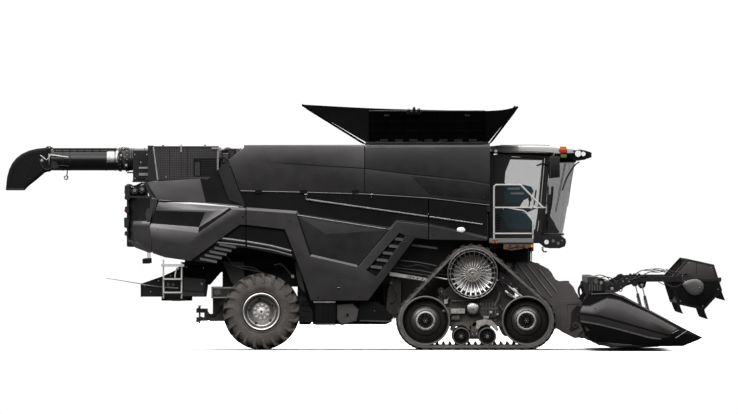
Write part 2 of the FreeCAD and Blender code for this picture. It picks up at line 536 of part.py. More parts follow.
for side_name, s in (("right", -1), ("left", 1)):
    def slab(pts, bpts):
        base = pillow(pts, s * (PANEL_OUT - 12), s * PANEL_OUT, 10)
        back = prism_xz(pts, s * PANEL_IN, s * (PANEL_OUT - 12))
        band = pillow(bpts, s * (PANEL_OUT - 2), s * BAND_OUT, 16)
        return fuse([back, base, band])
    # hinge knuckles: the side door hangs from its top edge, the rear panel from its front edge
    door_knuckles = []
    for x0, x1, zt in ((-2085.4, -1948.2, 3077.2), (-1203.4, -1066.2, 3057.6), (-184.2, -47, 3030.2)):
        door_knuckles.append(cyl_x(s * 1630.0, 3128.2, 7, x0, x1))
        door_knuckles.append(box(x0, x1, s * 1626.0, s * 1633.0, zt, 3128.2))
    panel_knuckles = []
    for z0, z1 in ((2646, 2704.8), (2508.8, 2567.6), (2097.2, 2156)):
        panel_knuckles.append(cyl_z(-2265.7, s * 1655.0, 8, z0, z1))
        panel_knuckles.append(box(-2304.9, -2265.7, s * 1630.0, s * 1655.0, z0, z1).common(
            box(-2320.6, -2273.6, s * 1600, s * 1660, z0, z1)))
        panel_knuckles.append(box(-2277.5, -2265.7, s * 1649.0, s * 1658.0, z0, z1))
    save("service_door_" + side_name, fuse([slab(door_pts, band_door)] + door_knuckles))
    save("rear_panel_" + side_name, fuse([slab(rear_pts, band_rear)] + panel_knuckles))
fp = []
for s in (-1, 1):
    base = pillow(front_pts, s * (PANEL_OUT - 12), s * PANEL_OUT, 10)
    back = prism_xz(front_pts, s * PANEL_IN, s * (PANEL_OUT - 12))
    fp.append(fuse([back, base]))
save("front_panels", group(fp))

# ---------------------------------------------------------------- unloading tube and turret
tube = [cyl_x(TUBE_Y, TUBE_Z, TUBE_R, -6140.5, TUBE_PIVOT_X),
        cyl_x(TUBE_Y, TUBE_Z, 238, -4781.4, -4731.8), cyl_x(TUBE_Y, TUBE_Z, 238, -4672.3, -4622.7),
        cyl_z(TUBE_PIVOT_X, TUBE_Y, TUBE_R, 3279, TUBE_Z),
        Part.makeSphere(TUBE_R, V(TUBE_PIVOT_X, TUBE_Y, TUBE_Z)),
        cyl_z(TUBE_PIVOT_X, TUBE_Y, 236, 3279, 3326.6)]
save("unload_tube", fuse(tube))
spout_pts = [(-6140.5, 3969.4), (-6259.5, 3975.4), (-6418.3, 3957.5), (-6577, 3917.8), (-6715.9, 3854.4), (-6823, 3771), (-6906.3, 3667.9), (-6965.9, 3544.8), (-7005.6, 3398), (-7033.3, 3140.1), (-6656.4, 3140.1), (-6586.9, 3215.5), (-6418.3, 3348.4), (-6259.5, 3485.3), (-6140.5, 3517.1)]
spout_in = [(-6100.8, 3941.7), (-6259.5, 3943.6), (-6410.3, 3927.8), (-6557.2, 3890.1), (-6696, 3828.6), (-6799.2, 3749.2), (-6878.6, 3652), (-6936.1, 3536.9), (-6975.8, 3390.1), (-7005.6, 3120.3), (-6680.2, 3120.3), (-6608.7, 3235.3), (-6438.1, 3372.2), (-6271.4, 3513.1), (-6100.8, 3544.8)]
sp = prism_xz(spout_pts, TUBE_Y - 222, TUBE_Y + 222).cut(prism_xz(spout_in, TUBE_Y - 206, TUBE_Y + 206))
sp = sp.cut(cyl_x(TUBE_Y, TUBE_Z, TUBE_R + 1, -6142.5, -5981.8))
save("unload_spout", sp)

tur = [cyl_z(TUBE_PIVOT_X, TUBE_Y, TUBE_R, 3075.2, 3271).cut(cyl_z(TUBE_PIVOT_X, TUBE_Y, 150, 3136, 3298.8)),
       cyl_z(TUBE_PIVOT_X, TUBE_Y, 236, 3223.4, 3271).cut(cyl_z(TUBE_PIVOT_X, TUBE_Y, 150, 3136, 3298.8)),
       box(TUBE_PIVOT_X - 150, TUBE_PIVOT_X + 150, TANK_LEFT_OUT, TUBE_Y - 190, 3079.2, 3211.5)]
turret = fuse(tur)
crad = fuse([box(-4515.8, -4194.4, 1145, 1190, 3296.7, 3920), box(-4515.8, -4194.4, 1145, 1640, 3296.7, 3461.4),
             box(-4198.3, -4123.8, 1140.2, 1190, 3312.4, 3920)])
save("auger_supports", group([turret, crad]))

# ---------------------------------------------------------------- cab
cab_out = [(2599, 3825.9), (2814.6, 3873), (3304.6, 3843.6), (3686.8, 3814.2), (3686.8, 3704.4), (3590.8, 2646), (3547.6, 2254), (2599, 2254)]
win_r = [(2951.8, 3794.6), (3630, 3755.4), (3626, 3704.4), (3537.8, 2665.6), (3473.2, 2332.4), (2932.2, 2332.4), (2767.6, 2626.4), (2787.2, 2940), (2830.3, 3488.8)]
door_out = [(2716.6, 3798.5), (3614.3, 3778.9), (3610.4, 3704.4), (3518.2, 2646), (3469.2, 2293.2), (2716.6, 2293.2)]
door_win = [(2893, 3743.6), (3567.2, 3724), (3563.3, 3684.8), (3475.1, 2665.6), (3426.1, 2359.8), (2924.4, 2359.8), (2795, 2626.4), (2802.8, 2940), (2830.3, 3488.8)]
floor_pts = [(2599, 2254), (3520.2, 2254), (3931.8, 2242.2), (4018, 2163.8), (3978.8, 2018.8), (3618.2, 1999.2), (3500.6, 2097.2), (2599, 2097.2)]
fr = [prism_xz(cab_out, -CAB_HALF, -(CAB_HALF - 45)).cut(prism_xz(win_r, -CAB_HALF - 5, -(CAB_HALF - 50))),
      prism_xz(cab_out, CAB_HALF - 45, CAB_HALF).cut(prism_xz(inset(door_out, -8), CAB_HALF - 50, CAB_HALF + 5)),
      prism_xz(floor_pts, -CAB_HALF, CAB_HALF),
      box(2520.6, 2599, -CAB_HALF, CAB_HALF, 2097.2, 3869)]
save("cab_frame", fuse(fr))
roof_pts = [(2524.5, 4006.2), (2716.6, 3994.5), (3108.6, 4014.1), (3696.6, 4018), (4088.6, 3988.6), (4343.4, 3939.6), (4500.2, 3896.5), (4529.6, 3790.6), (4382.6, 3724), (4186.6, 3696.6), (3814.2, 3700.5), (3814.2, 3818.1), (3684.8, 3822), (3304.6, 3851.4), (2814.6, 3880.8), (2599, 3833.8), (2599, 3873), (2524.5, 3873)]
roof = prism_xz(roof_pts, -1085, 1085)
# rounded in plan towards the front
nose = prism_xy([(2520.6, -1085), (3735.8, -1085), (4127.8, -1020), (4363, -860), (4480.6, -600), (4529.6, -250), (4529.6, 250),
                 (4480.6, 600), (4363, 860), (4127.8, 1020), (3735.8, 1085), (2520.6, 1085)], 3528, 4116)
save("cab_roof", roof.common(nose))


def arc_wire(xp, xf, half, z, t):
    """Closed outline of a curved pane seen from above: from the posts at xp to the front at xf."""
    o = Part.Arc(V(xp, -half, z), V(xf, 0, z), V(xp, half, z)).toShape()
    i = Part.Arc(V(xp - t, half - t, z), V(xf - t, 0, z), V(xp - t, -half + t, z)).toShape()
    e1 = Part.LineSegment(V(xp, half, z), V(xp - t, half - t, z)).toShape()
    e2 = Part.LineSegment(V(xp - t, -half + t, z), V(xp, -half, z)).toShape()
    return Part.Wire([o, e1, i, e2])


wind = Part.makeLoft([arc_wire(3712.3, 4206.2, 975, 3692.6, 8), arc_wire(3571.2, 3963.2, 975, 2261.8, 8)], True, True)
pane = prism_xz(inset(win_r, 3), -(CAB_HALF - 18), -(CAB_HALF - 26))
save("cab_glass", group([wind, pane]))
dr = prism_xz(door_out, CAB_HALF - 42, CAB_HALF).cut(prism_xz(door_win, CAB_HALF - 50, CAB_HALF + 5))
for z0, z1 in ((3351.6, 3430), (2567.6, 2646)):
    dr = dr.fuse(cyl_z(2716.6, CAB_HALF, 7, z0, z1))
save("cab_door", dr.removeSplitter())
save("cab_door_glass", prism_xz(inset(door_win, 3), CAB_HALF - 26, CAB_HALF - 18))

seat = [box(2834.2, 3285, -260, 260, 2508.8, 2675.4),
        prism_xz([(2834.2, 2567.6), (2744, 3175.2), (2814.6, 3206.6), (2944, 2677.4), (2971.4, 2567.6)], -250, 250),
        box(2893, 3187, -180, 180, 2254, 2508.8),
        box(2853.8, 3324.2, -400, -275, 2685.2, 2793), box(2873.4, 2951.8, -400, -275, 2254, 2685.2),
        box(2873.4, 2951.8, -276, -240, 2508.8, 2665.6)]
# side seat by the right window
jump = [prism_xz([(2732.3, 2806.7), (2724.4, 3175.2), (2767.6, 3226.2), (3187, 3237.9), (3336, 3202.6), (3383, 3116.4), (3324.2, 2998.8), (3187, 2940), (3108.6, 2806.7)], -930, -590),
        prism_xz([(2755.8, 2755.8), (3010.6, 2744), (3226.2, 2665.6), (3363.4, 2548), (3394.8, 2430.4), (3355.6, 2332.4), (2834.2, 2332.4), (2732.3, 2528.4)], -930, -590),
        box(2795, 3049.8, -900, -620, 2736.2, 2822.4), box(2893, 3265.4, -900, -620, 2254, 2340.2)]
save("operator_seat", group([fuse(seat), fuse(jump)]))
con = [prism_xz([(3598.6, 2254), (3528, 2254), (3481, 2783.2), (3528, 2791)], -60, 60),
       prism_xz([(3422.2, 2810.6), (3567.2, 2751.8), (3575.1, 2771.4), (3430, 2830.2)], -190, 190),
       prism_xz([(3532, 2256), (3532, 2391.2), (3606.4, 2657.8), (3669.2, 2689.1), (3896.5, 2312.8), (3853.4, 2256)], -55, 55)]
save("steering_console", fuse(con))

# platforms and rails
plat_r = box(2501, 3363.4, -1640, -1004, 2097.2, 2183.4)
plat_l = box(2501, 3598.6, 1004, 1640, 2097.2, 2183.4)
plat_l = plat_l.fuse(box(2775.4, 3324.2, 1600, 1640, 1822.8, 2099.2)).removeSplitter()
save("platforms", group([plat_r, plat_l]))
rr = 17
yr = -1618
rail = [pipe([(2599, yr, 2183.4), (2599, yr, 3237.9), (3118.4, yr, 3237.9), (3559.4, yr, 2791)], rr, 60),
        rod((2599, yr, 2791), (3559.4, yr, 2791), rr - 2),
        Part.makeSphere(rr + 3, V(3559.4, yr, 2791)),
        rod((2599, yr, 2281.4), (3361.4, yr, 2281.4), rr - 2),
        pipe([(2873.4, yr, 2785.2), (3206.6, yr, 2724.4), (3361.4, yr, 2528.4), (3361.4, yr, 2183.4)], rr - 3, 110),
        pipe([(3559.4, yr, 2791), (3606.4, -1560, 2791), (3606.4, -1010, 2791)], rr - 3, 40)]
yl = 1618
rail_l1 = [pipe([(2552, 1040, 2183.4), (2552, 1040, 3214.4), (2552, yl, 3214.4), (2552, yl, 2183.4)], rr, 60),
           rod((2552, 1040, 2704.8), (2552, yl, 2704.8), rr - 2)]
rail_l2 = [pipe([(3567.2, 1180, 2183.4), (3567.2, 1180, 2273.6), (3688.8, 1180, 2430.4), (3688.8, 1180, 3214.4), (3688.8, yl, 3214.4),
                 (3688.8, yl, 2430.4), (3567.2, yl, 2273.6), (3567.2, yl, 2183.4)], rr, 40),
           rod((3688.8, 1180, 2704.8), (3688.8, yl, 2704.8), rr - 2)]
save("handrails", group([fuse(rail), fuse(rail_l1), fuse(rail_l2)]))

lad2 = [rod((2873.4, 1700, 254.8), (2873.4, 1700, 2156), 20), rod((3304.6, 1700, 254.8), (3304.6, 1700, 2156), 20)]
for i in range(6):
    zz = 313.6 + i * 300
    lad2.append(box(2873.4, 3304.6, 1675, 1830, zz - 15, zz + 15))
lad2.append(rod((2834.2, 1700, 2116.8), (3304.6, 1700, 2116.8), 20))
lad2.append(cyl_z(2834.2, 1700, 30, 1960, 2273.6))
save("access_ladder", fuse(lad2))

mir = []
for s in (-1, 1):
    mir.append(fuse([prism_xz([(3704.4, 3790.6), (3724, 3814.2), (3853.4, 3814.2), (3880.8, 3782.8), (3861.2, 3402.6), (3826, 3359.4), (3704.4, 3351.6)], s * 1330, s * 1560), rod((3755.4, s * 1101, 3861.2), (3743.6, s * 1340, 3763.2), 14),
                     rod((3743.6, s * 1330, 3528), (3755.4, s * 1150, 3849.4), 10)]))
save("mirrors", group(mir))

# ---------------------------------------------------------------- feeder house
fh_pts = [(2893, 1862), (3030.2, 1852.2), (3500.6, 1675.8), (3677, 1587.6), (3814.2, 1381.8), (3892.6, 1342.6), (4049.4, 1352.4), (4167, 1234.8), (4265, 1019.2), (4343.4, 921.2), (4388.5, 862.4), (4388.5, 254.8), (4186.6, 225.4), (3833.8, 411.6), (3716.2, 372.4), (2742.1, 1540.6)]
fh = fuse([prism_xz(fh_pts, -FEEDER_HALF, FEEDER_HALF), cyl_y(FEEDER_C[0], FEEDER_C[1], FEEDER_R, -FEEDER_HALF, FEEDER_HALF)])
fh = fh.cut(box(4010.2, 4402.2, -600, 600, 372.4, 921.2))
pins = []
for s in (-1, 1):
    pins.append(cyl_y(FEEDER_C[0], FEEDER_C[1], 60, s * (FEEDER_HALF - 5), s * 785))
    for yy in (480, 612):
        pins.append(prism_xz([(3441.8, 764.4), (3686.8, 470.4), (3684.8, 352.8), (3645.6, 294), (3559.4, 290.1), (3512.4, 352.8)], s * yy, s * (yy + 26)).cut(cyl_y(3598.6, 372.4, 39, s * 400, s * 700)))
fh = fuse([fh] + pins)
save("feeder_house", fh)


def cyl_between(a, b, r, y, start, length):
    """Cylinder in the plane Y=y along the line a to b, from start along it."""
    dx, dz = b[0] - a[0], b[1] - a[1]
    l = math.hypot(dx, dz)
    ux, uz = dx / l, dz / l
    return Part.makeCylinder(r, length, V(a[0] + ux * start, y, a[1] + uz * start), V(ux, 0, uz))


LIFT_BASE = (2540.2, 725.2)
LIFT_EYE = (3598.6, 372.4)
lb, lr = [], []
for s in (-1, 1):
    y = s * 559.0
    barrel = cyl_between(LIFT_BASE, LIFT_EYE, 62, y, 30, 700).cut(cyl_between(LIFT_BASE, LIFT_EYE, 42, y, 70, 700))
    lb.append(fuse([barrel, cyl_y(LIFT_BASE[0], LIFT_BASE[1], 55, y - 58, y + 58), cyl_y(LIFT_BASE[0], LIFT_BASE[1], 25, y - 96, y + 96)]))
    L = math.hypot(LIFT_EYE[0] - LIFT_BASE[0], LIFT_EYE[1] - LIFT_BASE[1])
    lr.append(fuse([cyl_between(LIFT_BASE, LIFT_EYE, 38, y, 110, L - 110 - 30), cyl_y(LIFT_EYE[0], LIFT_EYE[1], 48, y - 46, y + 46), cyl_y(LIFT_EYE[0], LIFT_EYE[1], 24, y - 84, y + 84)]))
save("lift_barrels", group(lb))
save("lift_rods", group(lr))

# ---------------------------------------------------------------- header
back = box(4427.8, 4505.2, -HEADER_IN, HEADER_IN, 247.2, 1350.7).cut(box(4408.4, 4524.6, -600, 600, 372.4, 921.2))
beam_t = box(4396.8, 4582.6, -HEADER_IN, HEADER_IN, 1331.4, 1447.5)
beam_b = box(4396.8, 4427.8, -HEADER_IN, HEADER_IN, 208.4, 344)
floor_h = prism_xz([(4427.8, 254.9), (4505.2, 254.9), (4563.3, 196.8), (4698.8, 142.6), (4931.1, 123.3), (5395.8, 131), (5918.5, 138.7), (5918.5, 100), (5395.8, 88.4), (4892.4, 88.4), (4621.4, 111.6), (4466.5, 189.1), (4427.8, 208.4)], -HEADER_IN, HEADER_IN)
lugs = []
for s in (-1, 1):
    for yy in (4200.0, 2200.0):
        lugs.append(prism_xz([(4543.9, 1443.7), (4582.6, 1447.5), (4853.7, 1323.6), (4950.5, 1253.9), (4950.5, 1168.7), (4880.8, 1118.4), (4776.3, 1137.8), (4578.8, 1292.7), (4505.2, 1292.7), (4505.2, 1331.4)], s * yy, s * (yy + 36)).cut(
            cyl_y(ARM_C[0], ARM_C[1], 50, s * (yy - 20), s * (yy + 60))))
hook = []
for s in (-1, 1):
    hook.append(prism_xz([(4390.4, 911.4), (4427.8, 911.4), (4427.8, 1038.8), (4390.4, 999.6)], s * 560, s * 700))
    hook.append(prism_xz([(4390.4, 274.4), (4427.8, 274.4), (4427.8, 372.4), (4390.4, 372.4)], s * 560, s * 700))
hf = fuse([back, beam_t, beam_b, floor_h] + lugs + hook)
save("header_frame", hf)

end_pts = [(4427.8, 1130), (4853.7, 1145.5), (5086, 1079.7), (5589.4, 808.6), (6325.1, 421.4), (6634.9, 266.5), (6557.5, 220.1), (6247.7, 96.1), (5686.2, 92.3), (4621.4, 181.3), (4466.5, 208.4), (4350.3, 305.2), (4203.2, 653.7), (4253.5, 866.7)]
face_pts = [(4439.4, 897.7), (4776.3, 1041), (5047.3, 963.5), (5550.7, 738.9), (6170.2, 402.1), (6441.3, 266.5), (6363.8, 208.4), (6170.2, 123.3), (5686.2, 115.5), (4621.4, 208.4), (4497.5, 235.5), (4389, 344), (4249.6, 653.7), (4292.2, 828)]
ends = []
for s in (-1, 1):
    e = fuse([prism_xz(end_pts, s * HEADER_IN, s * 4500),
              Part.makeLoft([wire_of([V(x, s * 4500, z) for x, z in end_pts]), wire_of([V(x, s * HEADER_HALF, z) for x, z in face_pts])], True, True)])
    # cylinder pin
    pin = cyl_y(5589.4, 750.5, 16, s * 4384, s * (HEADER_IN + 2))
    ends.append(fuse([e, pin]))
save("header_ends", group(ends))
save("cutterbar", box(5918.5, 6015.3, -HEADER_IN + 5, HEADER_IN - 5, 96.1, 134.9))

aug = [cyl_y(AUGER_C[0], AUGER_C[1], AUGER_R, -4400, 4400), cyl_y(AUGER_C[0], AUGER_C[1], 40, -4443, 4443)]
save("header_auger", fuse(aug))

# ---------------------------------------------------------------- reel and its arms
arm_pts = [(4784, 1273.3), (4853.7, 1130), (4969.9, 1149.4), (5144.1, 1273.3), (5395.8, 1354.6), (6363.8, 1358.5), (6375.5, 1408.8), (6356.1, 1455.3), (5395.8, 1451.4), (5086, 1428.2)]
arms = []
for s in (-1, 1):
    arms.append(prism_xz(arm_pts, s * ARM_IN, s * ARM_OUT))
    arms.append(prism_xz([(5357.1, 1370.1), (5550.7, 1370.1), (5519.7, 1253.9), (5481, 1219.1), (5426.8, 1219.1), (5388.1, 1253.9)], s * ARM_IN, s * (ARM_IN + 14)).cut(cyl_y(5453.9, 1284.9, 30, s * 4360, s * 4430)))
arms.append(cyl_y(ARM_C[0], ARM_C[1], 44, -ARM_IN - 5, ARM_IN + 5))
save("reel_arms", fuse(arms))

car = []
for s in (-1, 1):
    inner_p = prism_xz([(6189.6, 1497.9), (6402.6, 1497.9), (6596.2, 1389.5), (6634.9, 1273.3), (6576.8, 1157.1), (6441.3, 1091.3), (6325.1, 1149.4), (6228.3, 1319.8), (6189.6, 1339.1)], s * 4345, s * 4364).cut(
        cyl_y(REEL_C[0], REEL_C[1], 46, s * 4300, s * 4400))
    outer_p = prism_xz([(6189.6, 1497.9), (6325.1, 1497.9), (6363.8, 1408.8), (6499.4, 1416.6), (6615.5, 1358.5), (6662, 1261.7), (6615.5, 1137.8), (6511, 1075.8), (6383.2, 1106.8), (6286.4, 1215.2), (6220.6, 1350.7)], s * 4446, s * 4490)
    top_p = box(6189.6, 6325.1, s * 4345, s * 4490, 1478.5, 1513.4)
    low_p = box(6236.1, 6344.5, s * 4345, s * 4490, 1300.4, 1333.3)
    car.append(fuse([inner_p, outer_p, top_p, low_p]))
save("reel_carriage", group(car))

reel = [cyl_y(REEL_C[0], REEL_C[1], 80, -REEL_HALF + 5, REEL_HALF - 5)]
vert = []
for k in range(6):
    a = math.radians(107.5 + 60 * k)
    vert.append((REEL_C[0] + REEL_BAR_R * math.cos(a), REEL_C[1] + REEL_BAR_R * math.sin(a)))
for s in (-1, 1):
    reel.append(prism_xz(vert, s * (REEL_HALF), s * (REEL_HALF + 20)))
    reel.append(cyl_y(REEL_C[0], REEL_C[1], 40, s * 4300, s * 4366))
for yy in (-2160, 0, 2160):
    for k in range(3):
        a = math.radians(107.5 + 60 * k)
        c, sn = math.cos(a), math.sin(a)
        w = 28
        L = REEL_BAR_R - 20
        pts = [(REEL_C[0] + c * L - sn * w, REEL_C[1] + sn * L + c * w), (REEL_C[0] + c * L + sn * w, REEL_C[1] + sn * L - c * w),
               (REEL_C[0] - c * L + sn * w, REEL_C[1] - sn * L - c * w), (REEL_C[0] - c * L - sn * w, REEL_C[1] - sn * L + c * w)]
        reel.append(prism_xz(pts, yy - 8, yy + 8))
bars = []
for x, z in vert:
    rx, rzv = REEL_C[0] + (x - REEL_C[0]) * 0.945, REEL_C[1] + (z - REEL_C[1]) * 0.945
    bars.append(cyl_y(rx, rzv, 19, -REEL_HALF + 0.5, REEL_HALF - 0.5))
core_reel = fuse(reel)
for b in bars:
    core_reel = core_reel.cut(b)
save("reel_core", core_reel)
save("reel_tine_bars", group(bars))

CB = (5589.4, 750.5)
CE = (5453.9, 1284.9)
rb, rrd = [], []
for s in (-1, 1):
    y = s * 4405.0
    L = math.hypot(CE[0] - CB[0], CE[1] - CB[1])
    b = cyl_between(CB, CE, 13, y, 18, 330)
    b = fuse([cyl_between(CB, CE, 26, y, 20, 335).cut(cyl_between(CB, CE, 14, y, 40, 400)), cyl_y(CB[0], CB[1], 28, y - 13, y + 13)]).cut(
        cyl_y(CB[0], CB[1], 16.5, y - 30, y + 30))
    rb.append(b)
    rrd.append(fuse([cyl_between(CB, CE, 12, y, 175, L - 175 - 6), cyl_y(CE[0], CE[1], 18, y - 14, y + 14),
                     cyl_y(CE[0], CE[1], 8, s * (ARM_IN + 1), y)]))
save("reel_barrels", group(rb))
save("reel_rods", group(rrd))
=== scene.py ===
import bpy
import bmesh
import math
import random
from mathutils import Matrix, Vector


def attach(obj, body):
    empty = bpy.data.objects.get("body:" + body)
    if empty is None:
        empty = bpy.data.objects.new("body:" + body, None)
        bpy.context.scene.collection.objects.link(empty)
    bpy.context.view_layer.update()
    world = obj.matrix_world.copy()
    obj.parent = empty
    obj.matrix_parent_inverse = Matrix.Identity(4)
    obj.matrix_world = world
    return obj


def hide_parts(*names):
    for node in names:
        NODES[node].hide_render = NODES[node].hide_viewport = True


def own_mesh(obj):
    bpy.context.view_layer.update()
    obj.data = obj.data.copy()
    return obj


# Looks of the tracked combine harvester: metres, +X forward, +Y left, +Z up.

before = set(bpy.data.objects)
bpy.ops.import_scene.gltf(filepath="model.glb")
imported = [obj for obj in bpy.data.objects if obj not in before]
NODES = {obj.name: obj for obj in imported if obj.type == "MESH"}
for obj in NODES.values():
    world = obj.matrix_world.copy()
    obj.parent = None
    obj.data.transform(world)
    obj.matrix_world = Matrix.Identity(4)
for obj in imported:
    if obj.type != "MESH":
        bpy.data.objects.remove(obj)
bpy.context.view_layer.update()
COL = bpy.context.scene.collection
scene = bpy.context.scene


# ------------------------------------------------------------------ materials
class NT:
    """A small helper for node materials."""

    def __init__(self, name):
        self.m = bpy.data.materials.new(name)
        self.m.use_nodes = True
        self.t = self.m.node_tree
        self.t.nodes.clear()
        self.out = self.t.nodes.new("ShaderNodeOutputMaterial")
        self.b = self.t.nodes.new("ShaderNodeBsdfPrincipled")
        self.t.links.new(self.b.outputs[0], self.out.inputs[0])
        self.tc = self.t.nodes.new("ShaderNodeTexCoord")

    def set(self, **kw):
        names = {"base": "Base Color", "metal": "Metallic", "rough": "Roughness", "spec": "Specular IOR Level", "coat": "Coat Weight",
                 "coat_rough": "Coat Roughness", "alpha": "Alpha", "sheen": "Sheen Weight", "sheen_rough": "Sheen Roughness", "ior": "IOR",
                 "emit": "Emission Color", "emit_s": "Emission Strength", "trans": "Transmission Weight"}
        for k, v in kw.items():
            self.b.inputs[names[k]].default_value = (*v, 1.0) if isinstance(v, tuple) and len(v) == 3 else v
        return self

    def node(self, kind, **props):
        n = self.t.nodes.new(kind)
        for k, v in props.items():
            setattr(n, k, v)
        return n

    def link(self, a, b):
        self.t.links.new(a, b)

    def noise(self, scale, detail=3.0, rough=0.55, vec=None, stretch=None, w=0.0):
        n = self.node("ShaderNodeTexNoise")
        n.inputs["Scale"].default_value = scale
        n.inputs["Detail"].default_value = detail
        n.inputs["Roughness"].default_value = rough
        src = vec or self.tc.outputs["Object"]
        if stretch or w:
            mp = self.node("ShaderNodeMapping")
            mp.inputs["Scale"].default_value = stretch or (1, 1, 1)
            mp.inputs["Location"].default_value = (w, w * 0.7, -w)
            self.link(src, mp.inputs[0])
            src = mp.outputs[0]
        self.link(src, n.inputs["Vector"])
        return n.outputs["Fac"]

    def range(self, fac, a, b, c, d, smooth=True):
        n = self.node("ShaderNodeMapRange")
        n.interpolation_type = "SMOOTHSTEP" if smooth else "LINEAR"
        n.inputs[1].default_value, n.inputs[2].default_value = a, b
        n.inputs[3].default_value, n.inputs[4].default_value = c, d
        self.link(fac, n.inputs[0])
        return n.outputs[0]

    def math(self, op, a, b=None, clamp=False):
        n = self.node("ShaderNodeMath", operation=op, use_clamp=clamp)
        for i, v in enumerate((a, b)):
            if v is None:
                continue
            if isinstance(v, (int, float)):
                n.inputs[i].default_value = v
            else:
                self.link(v, n.inputs[i])
        return n.outputs[0]

    def mix(self, fac, a, b):
        n = self.node("ShaderNodeMix", data_type="RGBA")
        if isinstance(fac, (int, float)):
            n.inputs["Factor"].default_value = fac
        else:
            self.link(fac, n.inputs["Factor"])
        for sock, v in ((n.inputs[6], a), (n.inputs[7], b)):
            if isinstance(v, tuple):
                sock.default_value = (*v, 1.0)
            else:
                self.link(v, sock)
        return n.outputs[2]

    def bump(self, height, strength=0.3, dist=0.001, after=None):
        n = self.node("ShaderNodeBump")
        n.inputs["Strength"].default_value = strength
        n.inputs["Distance"].default_value = dist
        self.link(height, n.inputs["Height"])
        if after is not None:
            self.link(after, n.inputs["Normal"])
        return n.outputs[0]

    def z(self):
        s = self.node("ShaderNodeSeparateXYZ")
        self.link(self.tc.outputs["Object"], s.inputs[0])
        return s.outputs

    def to(self, sock, out):
        self.link(out, self.b.inputs[sock])
        return self


def paint(name, base, metal=0.0, rough=0.4, coat=0.0, var=0.12, peel=0.12, dust=0.0, dust_top=1.6, spec=0.5, scale=1.0, dustc=(0.16, 0.135, 0.11), rvar=0.08):
    """Painted or moulded surface: slow tone changes, fine orange peel, road dust low down."""
    n = NT(name)
    n.set(metal=metal, spec=spec, coat=coat, coat_rough=0.12)
    big = n.noise(1.1 * scale, 4.0)
    dark = tuple(c * (1 - var) for c in base)
    light = tuple(min(1.0, c * (1 + var) + 0.0008) for c in base)
    col = n.mix(n.range(big, 0.3, 0.7, 0, 1), dark, light)
    speck = n.noise(38 * scale, 5.0, 0.7)
    if dust:
        z = n.z()["Z"]
        low = n.range(z, dust_top, 0.0, 0.0, dust)
        patch = n.range(n.noise(3.3 * scale, 6.0, 0.65, w=3.1), 0.35, 0.75, 0.15, 1.0)
        col = n.mix(n.math("MULTIPLY", low, patch, True), col, dustc)
    n.to("Base Color", col)
    r = n.range(n.noise(5.0 * scale, 4.0, 0.6, w=7.0), 0.25, 0.75, max(0.02, rough - rvar), min(1.0, rough + rvar))
    n.to("Roughness", r)
    if peel:
        b1 = n.bump(n.noise(260 * scale, 2.0), peel, 0.0006)
        n.to("Normal", n.bump(speck, peel * 0.6, 0.0012, b1))
    return n.m


def rubber(name, base, dust=0.5, dustc=(0.17, 0.15, 0.135), rough=0.78):
    n = NT(name)
    n.set(spec=0.35)
    a = n.range(n.noise(4.0, 6.0, 0.65), 0.3, 0.72, 0, 1)
    col = n.mix(a, tuple(c * 0.75 for c in base), tuple(c * 1.3 for c in base))
    d = n.range(n.noise(9.0, 8.0, 0.7, w=4.0), 0.42, 0.72, 0.0, dust)
    col = n.mix(d, col, dustc)
    n.to("Base Color", col)
    n.to("Roughness", n.range(n.noise(14.0, 4.0, w=2.0), 0.3, 0.7, rough - 0.1, rough + 0.1))
    n.to("Normal", n.bump(n.noise(60.0, 6.0, 0.7), 0.5, 0.002))
    return n.m


def metal(name, base, rough=0.3, var=0.15, brushed=None, dirt=0.2, metal=1.0, dirtc=(0.05, 0.045, 0.04)):
    n = NT(name)
    n.set(metal=metal)
    col = n.mix(n.range(n.noise(6.0, 5.0), 0.3, 0.7, 0, 1), tuple(c * (1 - var) for c in base), tuple(min(1, c * (1 + var)) for c in base))
    if dirt:
        col = n.mix(n.range(n.noise(17.0, 8.0, 0.72, w=5.0), 0.52, 0.8, 0.0, dirt), col, dirtc)
    n.to("Base Color", col)
    n.to("Roughness", n.range(n.noise(22.0, 5.0, 0.6, w=9.0), 0.25, 0.75, rough * 0.7, min(1.0, rough * 1.35)))
    if brushed:
        n.to("Normal", n.bump(n.noise(30.0, 3.0, 0.6, stretch=brushed), 0.25, 0.0006))
    else:
        n.to("Normal", n.bump(n.noise(90.0, 5.0, 0.65), 0.22, 0.0008))
    return n.m


M = {}
M["paint"] = paint("gloss_black_paint", (0.045, 0.0430, 0.0440), metal=0.72, rough=0.36, coat=0.55, var=0.10, peel=0.06, dust=0.10, rvar=0.05)
# lighter copy of the gloss black paint: painted highlight on rolled edges, top edges, bolts and up-facing facets of the
# skins, and the grey of the reel carriage cover
M["grey_and_highlight_paint"] = paint("dark_grey_paint_and_painted_highlight", (0.1100, 0.1061, 0.1074), metal=0.72, rough=0.38, coat=0.5, var=0.08, peel=0.06, dust=0.10, rvar=0.05)
# near-black sheet material; on groove, recess and inward-turned faces of the pressed skins, and as backing in openings
# and gaps, it stands as painted shade
M["matte_black_and_shade"] = paint("matte_black_sheet_and_painted_shade", (0.0032, 0.0031, 0.0033), rough=0.68, spec=0.10, var=0.3, peel=0.25)
M["plastic"] = paint("moulded_black_plastic", (0.0075, 0.0072, 0.0076), rough=0.5, spec=0.28, var=0.2, peel=0.5, dust=0.15)
M["frame"] = paint("chassis_paint", (0.012, 0.0115, 0.0118), rough=0.5, spec=0.35, var=0.25, peel=0.3, dust=0.45)
M["frame_grey"] = paint("grey_frame_paint", (0.048, 0.045, 0.044), rough=0.52, metal=0.2, var=0.2, peel=0.3, dust=0.35)
M["silver"] = metal("silver_paint", (0.62, 0.60, 0.59), rough=0.34, dirt=0.25)
M["chrome"] = metal("polished_wheel_metal", (0.38, 0.372, 0.37), rough=0.2, dirt=0.4, var=0.12)
